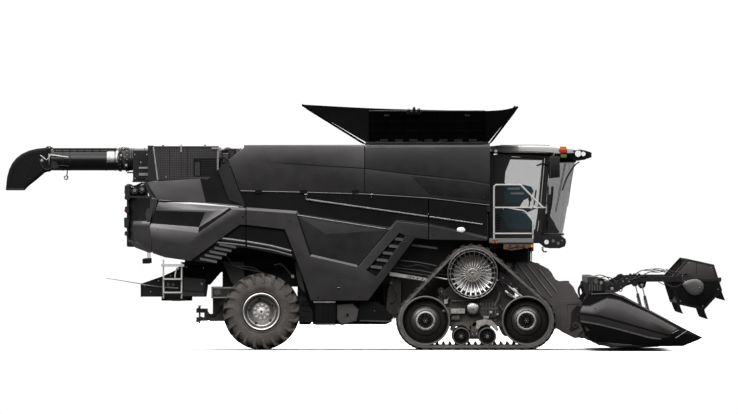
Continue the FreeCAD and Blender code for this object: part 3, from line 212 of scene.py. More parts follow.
M["steel"] = metal("bright_steel", (0.52, 0.5, 0.48), rough=0.32, dirt=0.35)
M["cast"] = metal("cast_iron", (0.10, 0.095, 0.09), rough=0.5, dirt=0.5, metal=0.75)
M["rod"] = metal("chromed_rod", (0.8, 0.79, 0.78), rough=0.12, dirt=0.05)
M["tyre"] = rubber("tyre_rubber_mat", (0.056, 0.051, 0.048), dust=0.28)
M["belt"] = rubber("track_rubber_mat", (0.085, 0.080, 0.078), dust=0.35)
M["hose"] = rubber("hose_rubber", (0.012, 0.012, 0.013), dust=0.12, rough=0.6)
M["alu"] = metal("aluminium_strip", (0.66, 0.64, 0.63), rough=0.26, dirt=0.1, brushed=(1, 30, 30))
M["white"] = paint("pale_rail_paint", (0.42, 0.415, 0.41), rough=0.4, var=0.06, peel=0.2, dust=0.2)
M["orange"] = paint("amber_lens", (0.75, 0.16, 0.02), rough=0.15, coat=1.0, var=0.15, peel=0.05)
M["red"] = paint("red_lens", (0.45, 0.012, 0.01), rough=0.15, coat=1.0, var=0.15, peel=0.05)
M["lamp"] = paint("lamp_lens", (0.82, 0.83, 0.84), rough=0.12, coat=1.0, var=0.05, peel=0.05)
# lighter copy of the gloss black paint for the cab roof: painted reflection of the bright sky on the crown
M["roofpaint"] = paint("cab_roof_painted_reflection", (0.1150, 0.1114, 0.1092), metal=0.7, rough=0.34, coat=0.5, var=0.06, peel=0.05, dust=0.0, rvar=0.04)
M["lamp_dim"] = paint("lamp_glass_dark", (0.12, 0.125, 0.13), rough=0.15, coat=1.0, var=0.1, peel=0.05)
M["feederpaint"] = paint("feeder_paint", (0.12, 0.112, 0.11), metal=0.55, rough=0.42, coat=0.2, var=0.1, peel=0.15, dust=0.25, rvar=0.06)
M["tubepaint"] = paint("tube_paint", (0.0130, 0.0127, 0.0127), metal=0.72, rough=0.34, coat=0.25, var=0.08, peel=0.06, dust=0.0, rvar=0.04)
# dull silver paint; on the top edge of the screen housing it is a painted highlight
M["dull_silver_and_highlight"] = metal("dull_silver_paint_and_painted_highlight", (0.34, 0.335, 0.33), rough=0.42, dirt=0.2, var=0.08)
M["spoutrub"] = paint("spout_moulding", (0.004, 0.0038, 0.0039), rough=0.6, spec=0.12, var=0.15, peel=0.4)
M["coverblack"] = paint("cover_black", (0.0028, 0.0028, 0.0029), rough=0.8, spec=0.04, var=0.2, peel=0.2)
M["headpaint"] = paint("header_end_paint", (0.055, 0.053, 0.0535), metal=0.72, rough=0.34, coat=0.5, var=0.08, peel=0.06, dust=0.05, rvar=0.04)
# darker copy of the gloss black paint for the front of the tank side: painted shade
M["tank_shade_paint"] = paint("tank_front_painted_shade", (0.026, 0.0250, 0.0255), metal=0.72, rough=0.38, var=0.10, peel=0.06)
M["railgrey"] = paint("rail_grey", (0.17, 0.165, 0.162), metal=0.3, rough=0.45, var=0.12, peel=0.12, dust=0.15)
M["idlerlip"] = paint("idler_lip", (0.13, 0.125, 0.122), metal=0.5, rough=0.4, var=0.15, peel=0.15, dust=0.1)
M["tread"] = rubber("tread_rubber_mat", (0.018, 0.017, 0.0165), dust=0.15)
M["slat"] = paint("louvre_slat_paint", (0.020, 0.0192, 0.0195), metal=0.4, rough=0.5, var=0.15, peel=0.1)
M["doordark"] = paint("door_field_paint", (0.016, 0.0154, 0.0157), metal=0.6, rough=0.42, var=0.10, peel=0.06)
# pale strips on the seat back: painted highlights
M["seat_highlight_strip"] = paint("seat_painted_highlight", (0.45, 0.47, 0.46), rough=0.6, var=0.06, peel=0.2)
M["rustbrown"] = paint("brown_bracket", (0.085, 0.048, 0.028), rough=0.6, var=0.3, peel=0.4)
M["green"] = paint("lens_green", (0.09, 0.14, 0.02), rough=0.2, coat=1.0, var=0.2, peel=0.05)
M["grain_steel"] = metal("bare_sheet_steel", (0.33, 0.32, 0.31), rough=0.42, dirt=0.4)


def glass(name, tint, alpha, spec=0.6, front=None):
    n = NT(name)
    n.set(metal=0.0, spec=spec, alpha=alpha)
    n.to("Base Color", n.mix(n.range(n.noise(1.5, 3.0), 0.3, 0.7, 0, 1), tuple(c * 0.85 for c in tint), tint))
    n.to("Roughness", n.range(n.noise(7.0, 5.0), 0.4, 0.75, 0.03, 0.12))
    if front is not None:
        sx = n.node("ShaderNodeSeparateXYZ")
        n.link(n.tc.outputs["Object"], sx.inputs[0])
        n.to("Alpha", n.range(sx.outputs["X"], front - 0.01, front + 0.01, 0.32, alpha))
    return n.m


M["glass"] = glass("cab_glass_tint", (0.004, 0.024, 0.028), 0.06, 0.25)
M["glass_front"] = glass("windshield_tint", (0.05, 0.05, 0.049), 0.33, 0.3, 3.6672)


def cloth(name, base):
    n = NT(name)
    n.set(sheen=0.0, spec=0.08)
    wv = n.node("ShaderNodeTexWave")
    wv.inputs["Scale"].default_value = 90.0
    wv.inputs["Distortion"].default_value = 1.5
    n.link(n.tc.outputs["Object"], wv.inputs["Vector"])
    c = n.mix(n.range(wv.outputs["Fac"], 0.2, 0.8, 0, 1), tuple(x * 0.8 for x in base), base)
    n.to("Base Color", n.mix(n.range(n.noise(20, 4), 0.3, 0.7, 0.0, 0.35), c, tuple(x * 0.55 for x in base)))
    n.to("Roughness", n.range(n.noise(50, 3), 0.3, 0.7, 0.75, 0.95))
    n.to("Normal", n.bump(wv.outputs["Fac"], 0.4, 0.001))
    return n.m


M["seat"] = cloth("teal_seat_cloth", (0.004, 0.105, 0.150))


M["clothblack"] = paint("black_cover_cloth", (0.0045, 0.0043, 0.0044), rough=0.85, spec=0.06, var=0.3, peel=0.5)
M["shoulder"] = paint("shoulder_paint", (0.0035, 0.0034, 0.0034), metal=0.3, rough=0.5, var=0.12, peel=0.08)
M["idlerpaint"] = paint("idler_paint", (0.10, 0.095, 0.094), metal=0.75, rough=0.33, spec=0.4, var=0.15, peel=0.2, dust=0.12)
M["hubsilver"] = paint("hub_silver", (0.66, 0.64, 0.63), metal=0.35, rough=0.4, var=0.12, peel=0.15, dust=0.15)
M["chopgrey"] = paint("chopper_sheet", (0.055, 0.052, 0.052), metal=0.3, rough=0.5, var=0.12, peel=0.15, dust=0.1)


def lit_top_shaded_below(name, hi, lo, zc, half, metal=0.5, rough=0.42):
    """Painted light: lighter above a line, where light falls, and darker below it as painted shade."""
    n = NT(name)
    n.set(metal=metal, spec=0.4)
    z = n.z()["Z"]
    m = n.range(z, zc - half, zc + half, 0.0, 1.0)
    tone = n.mix(m, lo, hi)
    n.to("Base Color", n.mix(n.range(n.noise(3.0, 5.0), 0.3, 0.7, 0.0, 0.35), tone, tuple(c * 0.6 for c in hi)))
    n.to("Roughness", n.range(n.noise(9.0, 4.0), 0.3, 0.7, rough - 0.08, rough + 0.08))
    n.to("Normal", n.bump(n.noise(120.0, 3.0), 0.12, 0.001))
    return n.m


# reel end shields: the lighter upper half and darker lower half are painted light and shade, in object space so they
# turn with the reel
M["shield"] = lit_top_shaded_below("reel_shield_painted_light", (0.030, 0.026, 0.025), (0.003, 0.003, 0.0032), 1.3701, 0.05)


def perforated(name, base, hole, pitch=0.05):
    """Sheet with a grid of round holes, as a screen."""
    n = NT(name)
    n.set(metal=0.2, spec=0.4)
    s = n.node("ShaderNodeSeparateXYZ")
    n.link(n.tc.outputs["Object"], s.inputs[0])
    parts = []
    for ax in ("X", "Z"):
        f = n.math("FRACT", n.math("MULTIPLY", s.outputs[ax], 1.0 / pitch))
        parts.append(n.math("ABSOLUTE", n.math("SUBTRACT", f, 0.5)))
    d = n.math("SQRT", n.math("ADD", n.math("POWER", parts[0], 2.0), n.math("POWER", parts[1], 2.0)))
    inside = n.range(d, 0.26, 0.34, 1.0, 0.0)
    tone = n.mix(n.range(n.noise(2.0, 4.0), 0.3, 0.7, 0, 1), tuple(c * 0.8 for c in base), tuple(c * 1.2 for c in base))
    n.to("Base Color", n.mix(inside, tone, hole))
    n.to("Roughness", n.range(n.noise(8.0, 4.0), 0.3, 0.7, 0.45, 0.6))
    n.to("Normal", n.bump(n.math("SUBTRACT", 1.0, inside), 0.6, 0.002))
    return n.m


M["perf"] = perforated("perforated_screen", (0.028, 0.026, 0.0268), (0.004, 0.004, 0.004), 0.045)


# ------------------------------------------------------------------ mesh building
def newell(pts):
    n = Vector((0, 0, 0))
    for i in range(len(pts)):
        a, b = Vector(pts[i]), Vector(pts[(i + 1) % len(pts)])
        n += Vector(((a.y - b.y) * (a.z + b.z), (a.z - b.z) * (a.x + b.x), (a.x - b.x) * (a.y + b.y)))
    return n.normalized() if n.length else Vector((0, 0, 1))


def frames_along(pts):
    """Tangent and two normals at each point of a path, without twist."""
    P = [Vector(p) for p in pts]
    T = []
    for i in range(len(P)):
        if i == 0:
            t = P[1] - P[0]
        elif i == len(P) - 1:
            t = P[-1] - P[-2]
        else:
            t = (P[i + 1] - P[i]).normalized() + (P[i] - P[i - 1]).normalized()
        T.append(t.normalized() if t.length > 1e-9 else Vector((1, 0, 0)))
    up = Vector((0, 0, 1)) if abs(T[0].z) < 0.9 else Vector((1, 0, 0))
    n = T[0].cross(up).normalized()
    out = []
    for i, t in enumerate(T):
        n = (n - t * n.dot(t))
        n = n.normalized() if n.length > 1e-9 else t.orthogonal().normalized()
        out.append((P[i], t, n, t.cross(n).normalized()))
    return out


def curve(pts, k=6):
    """Points of a smooth line through the given ones."""
    P = [Vector(p) for p in pts]
    if len(P) < 3:
        return P
    out = []
    for i in range(len(P) - 1):
        p0 = P[i - 1] if i else P[0] * 2 - P[1]
        p1, p2 = P[i], P[i + 1]
        p3 = P[i + 2] if i + 2 < len(P) else P[-1] * 2 - P[-2]
        for j in range(k):
            t = j / k
            out.append(0.5 * ((2 * p1) + (p2 - p0) * t + (2 * p0 - 5 * p1 + 4 * p2 - p3) * t * t + (3 * p1 - p0 - 3 * p2 + p3) * t ** 3))
    out.append(P[-1])
    return out


class Bag:
    """Many small solids gathered into one mesh."""

    def __init__(self):
        self.v, self.f, self.m = [], [], []

    def add(self, verts, faces, mat=0):
        o = len(self.v)
        self.v.extend([tuple(p) for p in verts])
        self.f.extend([tuple(i + o for i in f) for f in faces])
        self.m.extend([mat] * len(faces))
        return self

    def box(self, x0, x1, y0, y1, z0, z1, mat=0):
        v = [(x, y, z) for x in (x0, x1) for y in (y0, y1) for z in (z0, z1)]
        return self.add(v, [(0, 1, 3, 2), (4, 6, 7, 5), (0, 4, 5, 1), (2, 3, 7, 6), (0, 2, 6, 4), (1, 5, 7, 3)], mat)

    def obox(self, c, ax, ay, az, mat=0):
        """Box from its centre and three half-extent vectors."""
        c, ax, ay, az = Vector(c), Vector(ax), Vector(ay), Vector(az)
        v = [c + ax * i + ay * j + az * k for i in (-1, 1) for j in (-1, 1) for k in (-1, 1)]
        return self.add(v, [(0, 1, 3, 2), (4, 6, 7, 5), (0, 4, 5, 1), (2, 3, 7, 6), (0, 2, 6, 4), (1, 5, 7, 3)], mat)

    def prism(self, pts, y0, y1, mat=0, axis="y"):
        def place(p, h):
            if axis == "y":
                return (p[0], h, p[1])
            if axis == "x":
                return (h, p[0], p[1])
            return (p[0], p[1], h)
        n = len(pts)
        v = [place(p, y0) for p in pts] + [place(p, y1) for p in pts]
        f = [tuple(range(n)), tuple(range(2 * n - 1, n - 1, -1))]
        f += [(i, (i + 1) % n, n + (i + 1) % n, n + i) for i in range(n)]
        return self.add(v, f, mat)

    def hull2(self, a, b, mat=0):
        """Solid between two loops of as many points."""
        n = len(a)
        f = [tuple(range(n)), tuple(range(2 * n - 1, n - 1, -1))]
        f += [(i, (i + 1) % n, n + (i + 1) % n, n + i) for i in range(n)]
        return self.add(list(a) + list(b), f, mat)

    def cyl(self, a, b, r, n=16, mat=0, r2=None, ph=0.0):
        a, b = Vector(a), Vector(b)
        r2 = r if r2 is None else r2
        t = (b - a).normalized()
        u = t.orthogonal().normalized()
        w = t.cross(u)
        va, vb = [], []
        for i in range(n):
            q = 2 * math.pi * i / n + ph
            d = u * math.cos(q) + w * math.sin(q)
            va.append(a + d * r)
            vb.append(b + d * r2)
        return self.hull2(va, vb, mat)

    def tube(self, pts, r, n=8, mat=0, closed=False, flat=1.0):
        fr = frames_along(pts)
        rings = []
        rr = r if isinstance(r, (list, tuple)) else [r] * len(fr)
        for (p, t, u, w), q in zip(fr, rr):
            rings.append([p + (u * math.cos(2 * math.pi * i / n) + w * math.sin(2 * math.pi * i / n) * flat) * q for i in range(n)])
        v = [p for ring in rings for p in ring]
        f = []
        k = len(rings)
        for j in range(k - 1):
            for i in range(n):
                f.append((j * n + i, j * n + (i + 1) % n, (j + 1) * n + (i + 1) % n, (j + 1) * n + i))
        f.append(tuple(range(n)))
        f.append(tuple((k - 1) * n + i for i in range(n - 1, -1, -1)))
        return self.add(v, f, mat)

    def lathe(self, prof, cx, cz, n=64, mat=0, mats=None, a0=0.0, a1=360.0):
        """Closed profile of (radius, y) turned about the Y line through (cx, cz)."""
        k = len(prof)
        full = abs(a1 - a0) >= 359.9
        rows = n if full else n + 1
        o = len(self.v)
        for i in range(rows):
            a = math.radians(a0 + (a1 - a0) * i / n)
            for r, y in prof:
                self.v.append((cx + r * math.cos(a), y, cz + r * math.sin(a)))
        for i in range(n):
            j = (i + 1) % rows
            for q in range(k):
                q2 = (q + 1) % k
                if prof[q][0] < 1e-6 and prof[q2][0] < 1e-6:
                    continue
                self.f.append((o + i * k + q, o + i * k + q2, o + j * k + q2, o + j * k + q))
                self.m.append(mats[q] if mats else mat)
        if not full:
            self.f.append(tuple(o + q for q in range(k)))
            self.f.append(tuple(o + n * k + q for q in range(k - 1, -1, -1)))
            self.m += [mat, mat]
        return self

    def bolt(self, p, d, r=0.012, h=0.01, mat=0, n=6):
        p, d = Vector(p), Vector(d).normalized()
        return self.cyl(p - d * 0.004, p + d * h, r, n, mat)

    def sphere(self, c, r, mat=0, n=12, k=8, squash=(1, 1, 1)):
        c = Vector(c)
        v = [c + Vector((0, 0, r * squash[2]))]
        for j in range(1, k):
            t = math.pi * j / k
            for i in range(n):
                a = 2 * math.pi * i / n
                v.append(c + Vector((r * squash[0] * math.sin(t) * math.cos(a), r * squash[1] * math.sin(t) * math.sin(a), r * squash[2] * math.cos(t))))
        v.append(c - Vector((0, 0, r * squash[2])))
        f = [(0, 1 + i, 1 + (i + 1) % n) for i in range(n)]
        for j in range(k - 2):
            for i in range(n):
                a, b = 1 + j * n + i, 1 + j * n + (i + 1) % n
                f.append((a, a + n, b + n, b))
        last = len(v) - 1
        f += [(last, last - n + (i + 1) % n, last - n + i) for i in range(n)]
        return self.add(v, f, mat)

    def mirrored(self, keep=True):
        """Adds the same solids on the other side."""
        nv = len(self.v)
        self.v += [(x, -y, z) for x, y, z in self.v[:nv]]
        nf = len(self.f)
        self.f += [tuple(i + nv for i in reversed(f)) for f in self.f[:nf]]
        self.m += self.m[:nf]
        return self

    def obj(self, name, mats, body, slot=None, bevel=0.0, seg=2, angle=35.0, replaces=(), weld=True, recalc=True, subsurf=0):
        me = bpy.data.meshes.new(name)
        me.from_pydata(self.v, [], self.f)
        ob = bpy.data.objects.new(name, me)
        COL.objects.link(ob)
        for m in (mats if isinstance(mats, (list, tuple)) else [mats]):
            me.materials.append(M[m] if isinstance(m, str) else m)
        for p, mi in zip(me.polygons, self.m):
            p.material_index = mi
        bm = bmesh.new()
        bm.from_mesh(me)
        if weld:
            bmesh.ops.remove_doubles(bm, verts=bm.verts, dist=1e-6)
        bmesh.ops.dissolve_degenerate(bm, edges=bm.edges, dist=1e-7)
        if recalc:
            bmesh.ops.recalc_face_normals(bm, faces=bm.faces)
        lim = math.radians(angle)
        for e in bm.edges:
            if len(e.link_faces) == 2:
                e.smooth = e.calc_face_angle(0.0) < lim
            else:
                e.smooth = False
        for f in bm.faces:
            f.smooth = True
        bm.to_mesh(me)
        bm.free()
        me.validate()
        if bevel:
            b = ob.modifiers.new("edges", "BEVEL")
            b.width = bevel
            b.segments = seg
            b.limit_method = "ANGLE"
            b.angle_limit = math.radians(32)
            b.harden_normals = True
            b.use_clamp_overlap = True
        if subsurf:
            s = ob.modifiers.new("smooth", "SUBSURF")
            s.levels = s.render_levels = subsurf
        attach(ob, body)
        if replaces:
            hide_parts(*([replaces] if isinstance(replaces, str) else replaces))
        return ob


def both_sides(build, name, mats, body, **kw):
    """Calls build(bag, side) for -1 and +1 and makes one piece."""
    b = Bag()
    for s in (-1, 1):
        build(b, s)
    return b.obj(name, mats, body, **kw)


def dress(node, mat, bevel=0.0, seg=2, weld=True):
    """Material and softened edges of a CAD node."""
    o = NODES[node]
    o.data.materials.clear()
    o.data.materials.append(M[mat] if isinstance(mat, str) else mat)
    if bevel:
        w = o.modifiers.new("weld", "WELD")
        w.merge_threshold = 0.00002
        b = o.modifiers.new("edges", "BEVEL")
        b.width = bevel
        b.segments = seg
        b.limit_method = "ANGLE"
        b.angle_limit = math.radians(32)
        b.harden_normals = True
        b.use_clamp_overlap = True


# ------------------------------------------------------------------ pressed side panels
def relief(bag, pts, polys, s, y_face, y_back, m_back=0):
    """A pressed plate: named points (x, z, height in mm) joined into facets, closed at the back."""
    names = list(pts)
    idx = {n: i for i, n in enumerate(names)}
    n = len(names)
    front = [(pts[k][0][0], s * (y_face + pts[k][1] * 0.001), pts[k][0][1]) for k in names]
    back = [(pts[k][0][0], s * y_back, pts[k][0][1]) for k in names]
    faces, mats = [], []
    edges = {}
    for names_, mi in polys:
        f = [idx[k] for k in names_.split()]
        faces.append(tuple(f))
        mats.append(mi)
        faces.append(tuple(i + n for i in reversed(f)))
        mats.append(m_back)
        for a, b in zip(f, f[1:] + f[:1]):
            edges.setdefault((min(a, b), max(a, b)), []).append((a, b))
    for k, uses in edges.items():
        if len(uses) == 1:
            a, b = uses[0]
            faces.append((b, a, a + n, b + n))
            mats.append(m_back)
    o = len(bag.v)
    bag.v.extend(front + back)
    bag.f.extend([tuple(i + o for i in f) for f in faces])
    bag.m.extend(mats)
    return bag


REAR_P = {
    "A": ((-3.9748, 2.9008), -42), "T1": ((-2.5362, 2.8048), -30), "S1": ((-4.0376, 2.7322), -2), "S2": ((-2.7322, 2.6852), -2), "Q": ((-3.0654, 2.6989), -2),
    "R1": ((-4.1287, 2.4814), -30), "R2": ((-3.183, 2.4069), -30), "R3": ((-2.5852, 2.791), -24),
    "I": ((-4.1473, 2.4226), 10), "J": ((-3.2026, 2.2932), 15), "K": ((-2.5362, 2.7577), 14), "Lb": ((-2.2696, 2.7381), 14), "Bt": ((-2.2696, 2.7871), -30),
    "N": ((-2.2696, 2.4539), 15), "M": ((-2.3794, 2.4618), 15), "F": ((-3.3594, 1.7444), 4), "G": ((-3.8494, 1.815), -10), "H": ((-4.0924, 1.8973), -14),
    "J2": ((-3.4378, 2.0384), 16), "I2": ((-4.116, 2.156), 6),
    "F2": ((-3.2849, 1.7366), -24), "M2": ((-2.3637, 2.4226), -24), "N2": ((-2.2696, 2.4147), -24), "C": ((-2.2696, 2.0031), -18), "D": ((-2.4852, 2.0031), -18), "E": ((-2.9086, 1.6934), -18)}
# faces with index 1 take the near-black as painted shade in the number recess, the groove above the band and the pocket
# under it; the up-facing strip above the band, index 3, takes the lighter highlight paint as a painted highlight
REAR_F = [("A T1 R3 S2 Q S1", 0), ("S1 Q R2 R1", 1), ("Q S2 R2", 0), ("R1 R2 J I", 3), ("R2 S2 R3 K J", 1), ("T1 Bt Lb K R3", 0),
          ("I J J2 I2", 0), ("I2 J2 F G H", 0), ("J K Lb N M F J2", 0), ("F M M2 F2", 1), ("M N N2 M2", 1), ("F2 M2 N2 C D E", 1)]

DOOR_P = {
    "a": ((-2.254, 3.1086), -30), "b": ((0.0706, 3.0498), -30), "c": ((1.3093, 2.9714), -30), "k6p": ((1.3093, 2.4774), -30), "k5p": ((0.686, 2.5519), -30),
    "As": ((0.5645, 2.4069), -30), "A2": ((-1.2308, 2.6695), -30), "t2": ((-1.2583, 2.7244), -30), "t1": ((-2.254, 2.795), -30),
    "k1": ((-2.254, 2.744), 15), "k2": ((-1.2818, 2.6774), 10), "k3": ((-1.0074, 1.8424), 0), "k4": ((-0.0744, 1.6268), 4), "s1": ((0.5528, 2.352), 10), "k5": ((0.6978, 2.5206), 13), "k6": ((1.3093, 2.4461), 13),
    "C2": ((-1.2308, 2.6186), -22), "C3": ((-0.976, 1.8738), -26), "C4": ((-0.0901, 1.6699), -26), "Cs": ((0.5057, 2.352), -28), "Cm": ((-0.6938, 2.2736), -10),
    "m1": ((-2.254, 2.4539), 15), "m2": ((-1.4974, 2.3638), 20), "h": ((-1.2504, 1.7248), 24), "c1": ((-1.176, 1.5719), 24), "g": ((-0.9878, 0.9682), -6), "f": ((0.1294, 0.9682), -6),
    "c2": ((-0.2234, 1.3524), 22), "c3": ((0.1882, 1.2818), 22), "m1p": ((-2.254, 2.4147), -24), "m2p": ((-1.5288, 2.3285), -24), "i2": ((-1.3092, 1.7758), -24), "i": ((-1.3602, 1.815), -18), "j": ((-2.254, 1.9992), -18),
    "p1": ((0.0941, 1.5641), 14), "p2": ((0.7488, 2.301), 16), "p3": ((1.3093, 2.2422), 15), "u1": ((0.8624, 2.2344), 12), "u2": ((0.294, 1.423), 18), "e": ((1.0506, 2.1952), 4), "d": ((1.3093, 2.1638), 2),
    "p1q": ((0.1372, 1.5562), -28), "p2q": ((0.7684, 2.2697), -28), "u1q": ((0.8389, 2.2187), -28), "u2q": ((0.2862, 1.4622), -28)}
# faces with index 1 take the near-black: the black band at the top, and painted shade in the grooves beside the name
# recess, under the band and in the pocket
DOOR_F = [("a b c k6p k5p As A2 t2 t1", 1), ("k1 k2 t2 t1", 0), ("k2 C2 A2 t2", 0), ("k5 k6 k6p k5p", 0), ("s1 k5 k5p As", 0), ("C2 Cs As A2", 0), ("Cs s1 As", 0),
          ("C2 C3 Cm", 5), ("C3 C4 Cm", 5), ("C4 Cs Cm", 5), ("Cs C2 Cm", 0), ("k2 k3 C3 C2", 1), ("k3 k4 C4 C3", 0), ("k4 s1 Cs C4", 1),
          ("k1 k2 m2 m1", 0), ("k2 k3 c1 h m2", 0), ("m1 m2 m2p m1p", 1), ("m2 h i2 m2p", 1), ("m1p m2p i2 i j", 1),
          ("k3 k4 c3 c2 c1", 0), ("c1 c2 c3 f g", 0), ("h c1 g", 0), ("k4 s1 k5 p2 p1", 0), ("k5 k6 p3 p2", 0), ("p2 p3 d e u1", 0), ("u1 e f c3 u2", 0), ("k4 p1 u2 c3", 0),
          ("p1 p2 p2q p1q", 1), ("p2 u1 u1q p2q", 1), ("u1 u2 u2q u1q", 1), ("u2 p1 p1q u2q", 1), ("p1q p2q u1q u2q", 1)]

FRONT_P = {
    "a": ((1.325, 2.9674), -30), "b": ((2.3834, 2.8616), -30), "b2": ((2.4579, 2.8302), -30), "c": ((2.4579, 2.2187), -30), "l3": ((1.9326, 2.3442), -30), "l1": ((1.325, 2.4735), -30),
    "k1": ((1.325, 2.4422), 12), "k2": ((1.9326, 2.3128), 12), "k3": ((2.4579, 2.1834), 8), "d": ((2.4579, 2.1442), 4), "e": ((1.9914, 2.156), 4), "f": ((1.325, 2.1638), 2)}
FRONT_F = [("a b b2 c l3 l1", 1), ("l1 l3 k2 k1", 0), ("l3 c k3 k2", 0), ("k1 k2 e f", 0), ("k2 k3 d e", 0)]

TANK_A = {
    "v1": ((-2.6048, 3.724), -30), "v2": ((-2.2422, 4.018), -34), "v2b": ((0.0569, 4.0229), -32), "v8": ((-2.3892, 3.136), -26), "v7": ((0.0569, 3.0733), -18),
    "w1": ((-2.5244, 3.7122), -24), "w2": ((-2.2108, 3.9592), -20), "w2b": ((0.0569, 3.9749), -14), "w8": ((-2.3324, 3.183), -18), "w7": ((0.0569, 3.1203), 0),
    "q0": ((-1.9482, 3.6926), -4), "q1": ((-1.3994, 3.6652), 0), "q2": ((0.0569, 3.5672), 0), "r1": ((-1.3994, 3.6476), -12), "r2": ((0.0569, 3.5496), -14), "n1": ((-1.3994, 3.6182), -9), "n2": ((0.0569, 3.5202), -11)}
TANK_AF = [("v1 v2 w2 w1", 0), ("v2 v2b w2b w2", 0), ("v8 v1 w1 w8", 0), ("v8 w8 w7 v7", 0), ("w1 w2 q0", 0), ("w2 w2b q2 q1 q0", 0), ("q1 q2 r2 r1", 0), ("r1 r2 n2 n1", 0),
           ("q0 q1 r1 n1", 0), ("w1 q0 n1 w8", 0), ("n1 n2 w7 w8", 0)]
TANK_B = {
    "v2": ((0.0726, 4.0229), -32), "v3": ((2.5206, 4.0278), -28), "w2": ((0.0726, 3.9749), -14), "w3": ((2.5206, 3.9788), -8), "v7": ((0.0726, 3.0713), -18), "v6": ((1.3446, 2.991), -18), "v5": ((2.3834, 2.8812), -18), "v4": ((2.5206, 2.8498), -18),
    "w7": ((0.0726, 3.1184), 0), "w6": ((1.3446, 3.0419), 0), "w5": ((2.3834, 2.9361), 0), "w4": ((2.5206, 2.9086), 0),
    "q2": ((0.0726, 3.5672), 0), "q3": ((0.9526, 3.4574), 0), "q4": ((2.1286, 3.3359), 0), "q5": ((2.5206, 3.2654), 0),
    "r2": ((0.0726, 3.5496), -14), "r3": ((0.9526, 3.4398), -14), "r4": ((2.1286, 3.3202), -12), "r5": ((2.5206, 3.2497), -10),
    "n2": ((0.0726, 3.5202), -11), "n3": ((0.9526, 3.4104), -12), "n4": ((2.1286, 3.2928), -11), "n5": ((2.5206, 3.2262), -9)}
# faces with index 2, on the front half of the tank side, take the darker tank paint as painted shade
TANK_BF = [("v2 v3 w3 w2", 0), ("w2 w3 q5 q4 q3 q2", 2), ("q2 q3 r3 r2", 0), ("q3 q4 r4 r3", 0), ("q4 q5 r5 r4", 0), ("r2 r3 n3 n2", 0), ("r3 r4 n4 n3", 0), ("r4 r5 n5 n4", 0),
           ("n2 n3 w6 w7", 0), ("n3 n4 w5 w6", 2), ("n4 n5 w4 w5", 2), ("v7 w7 w6 v6", 0), ("v6 w6 w5 v5", 0), ("v5 w5 w4 v4", 0)]
HOOD_P = {
    "a": ((-4.1924, 3.2732), -12), "b": ((-4.1434, 3.3006), -38), "c": ((-3.6338, 3.3281), -42), "d": ((-3.1634, 3.3594), -42), "e": ((-2.8302, 3.5202), -42), "f": ((-2.595, 2.94), -34), "g": ((-2.2736, 2.8146), -20), "h": ((-2.301, 2.795), -6),
    "i": ((-3.9788, 2.9224), -2), "m": ((-3.5554, 2.9047), 4), "n": ((-3.0458, 2.8734), 4), "o": ((-2.7322, 2.8381), 0), "p": ((-3.0262, 3.332), -40), "w": ((-3.6338, 3.1164), -10), "x": ((-3.1046, 3.1164), -12), "y": ((-4.114, 3.1164), -8)}
# faces with index 1, on the inward-turned front part of the hood side, take the near-black as painted shade
HOOD_F = [("a b y", 0), ("b c w y", 0), ("c d x w", 0), ("y w m i", 0), ("w x n m", 0), ("a y i", 0), ("d p x", 1), ("p e f x", 1), ("x f o n", 1), ("f g h o", 1)]

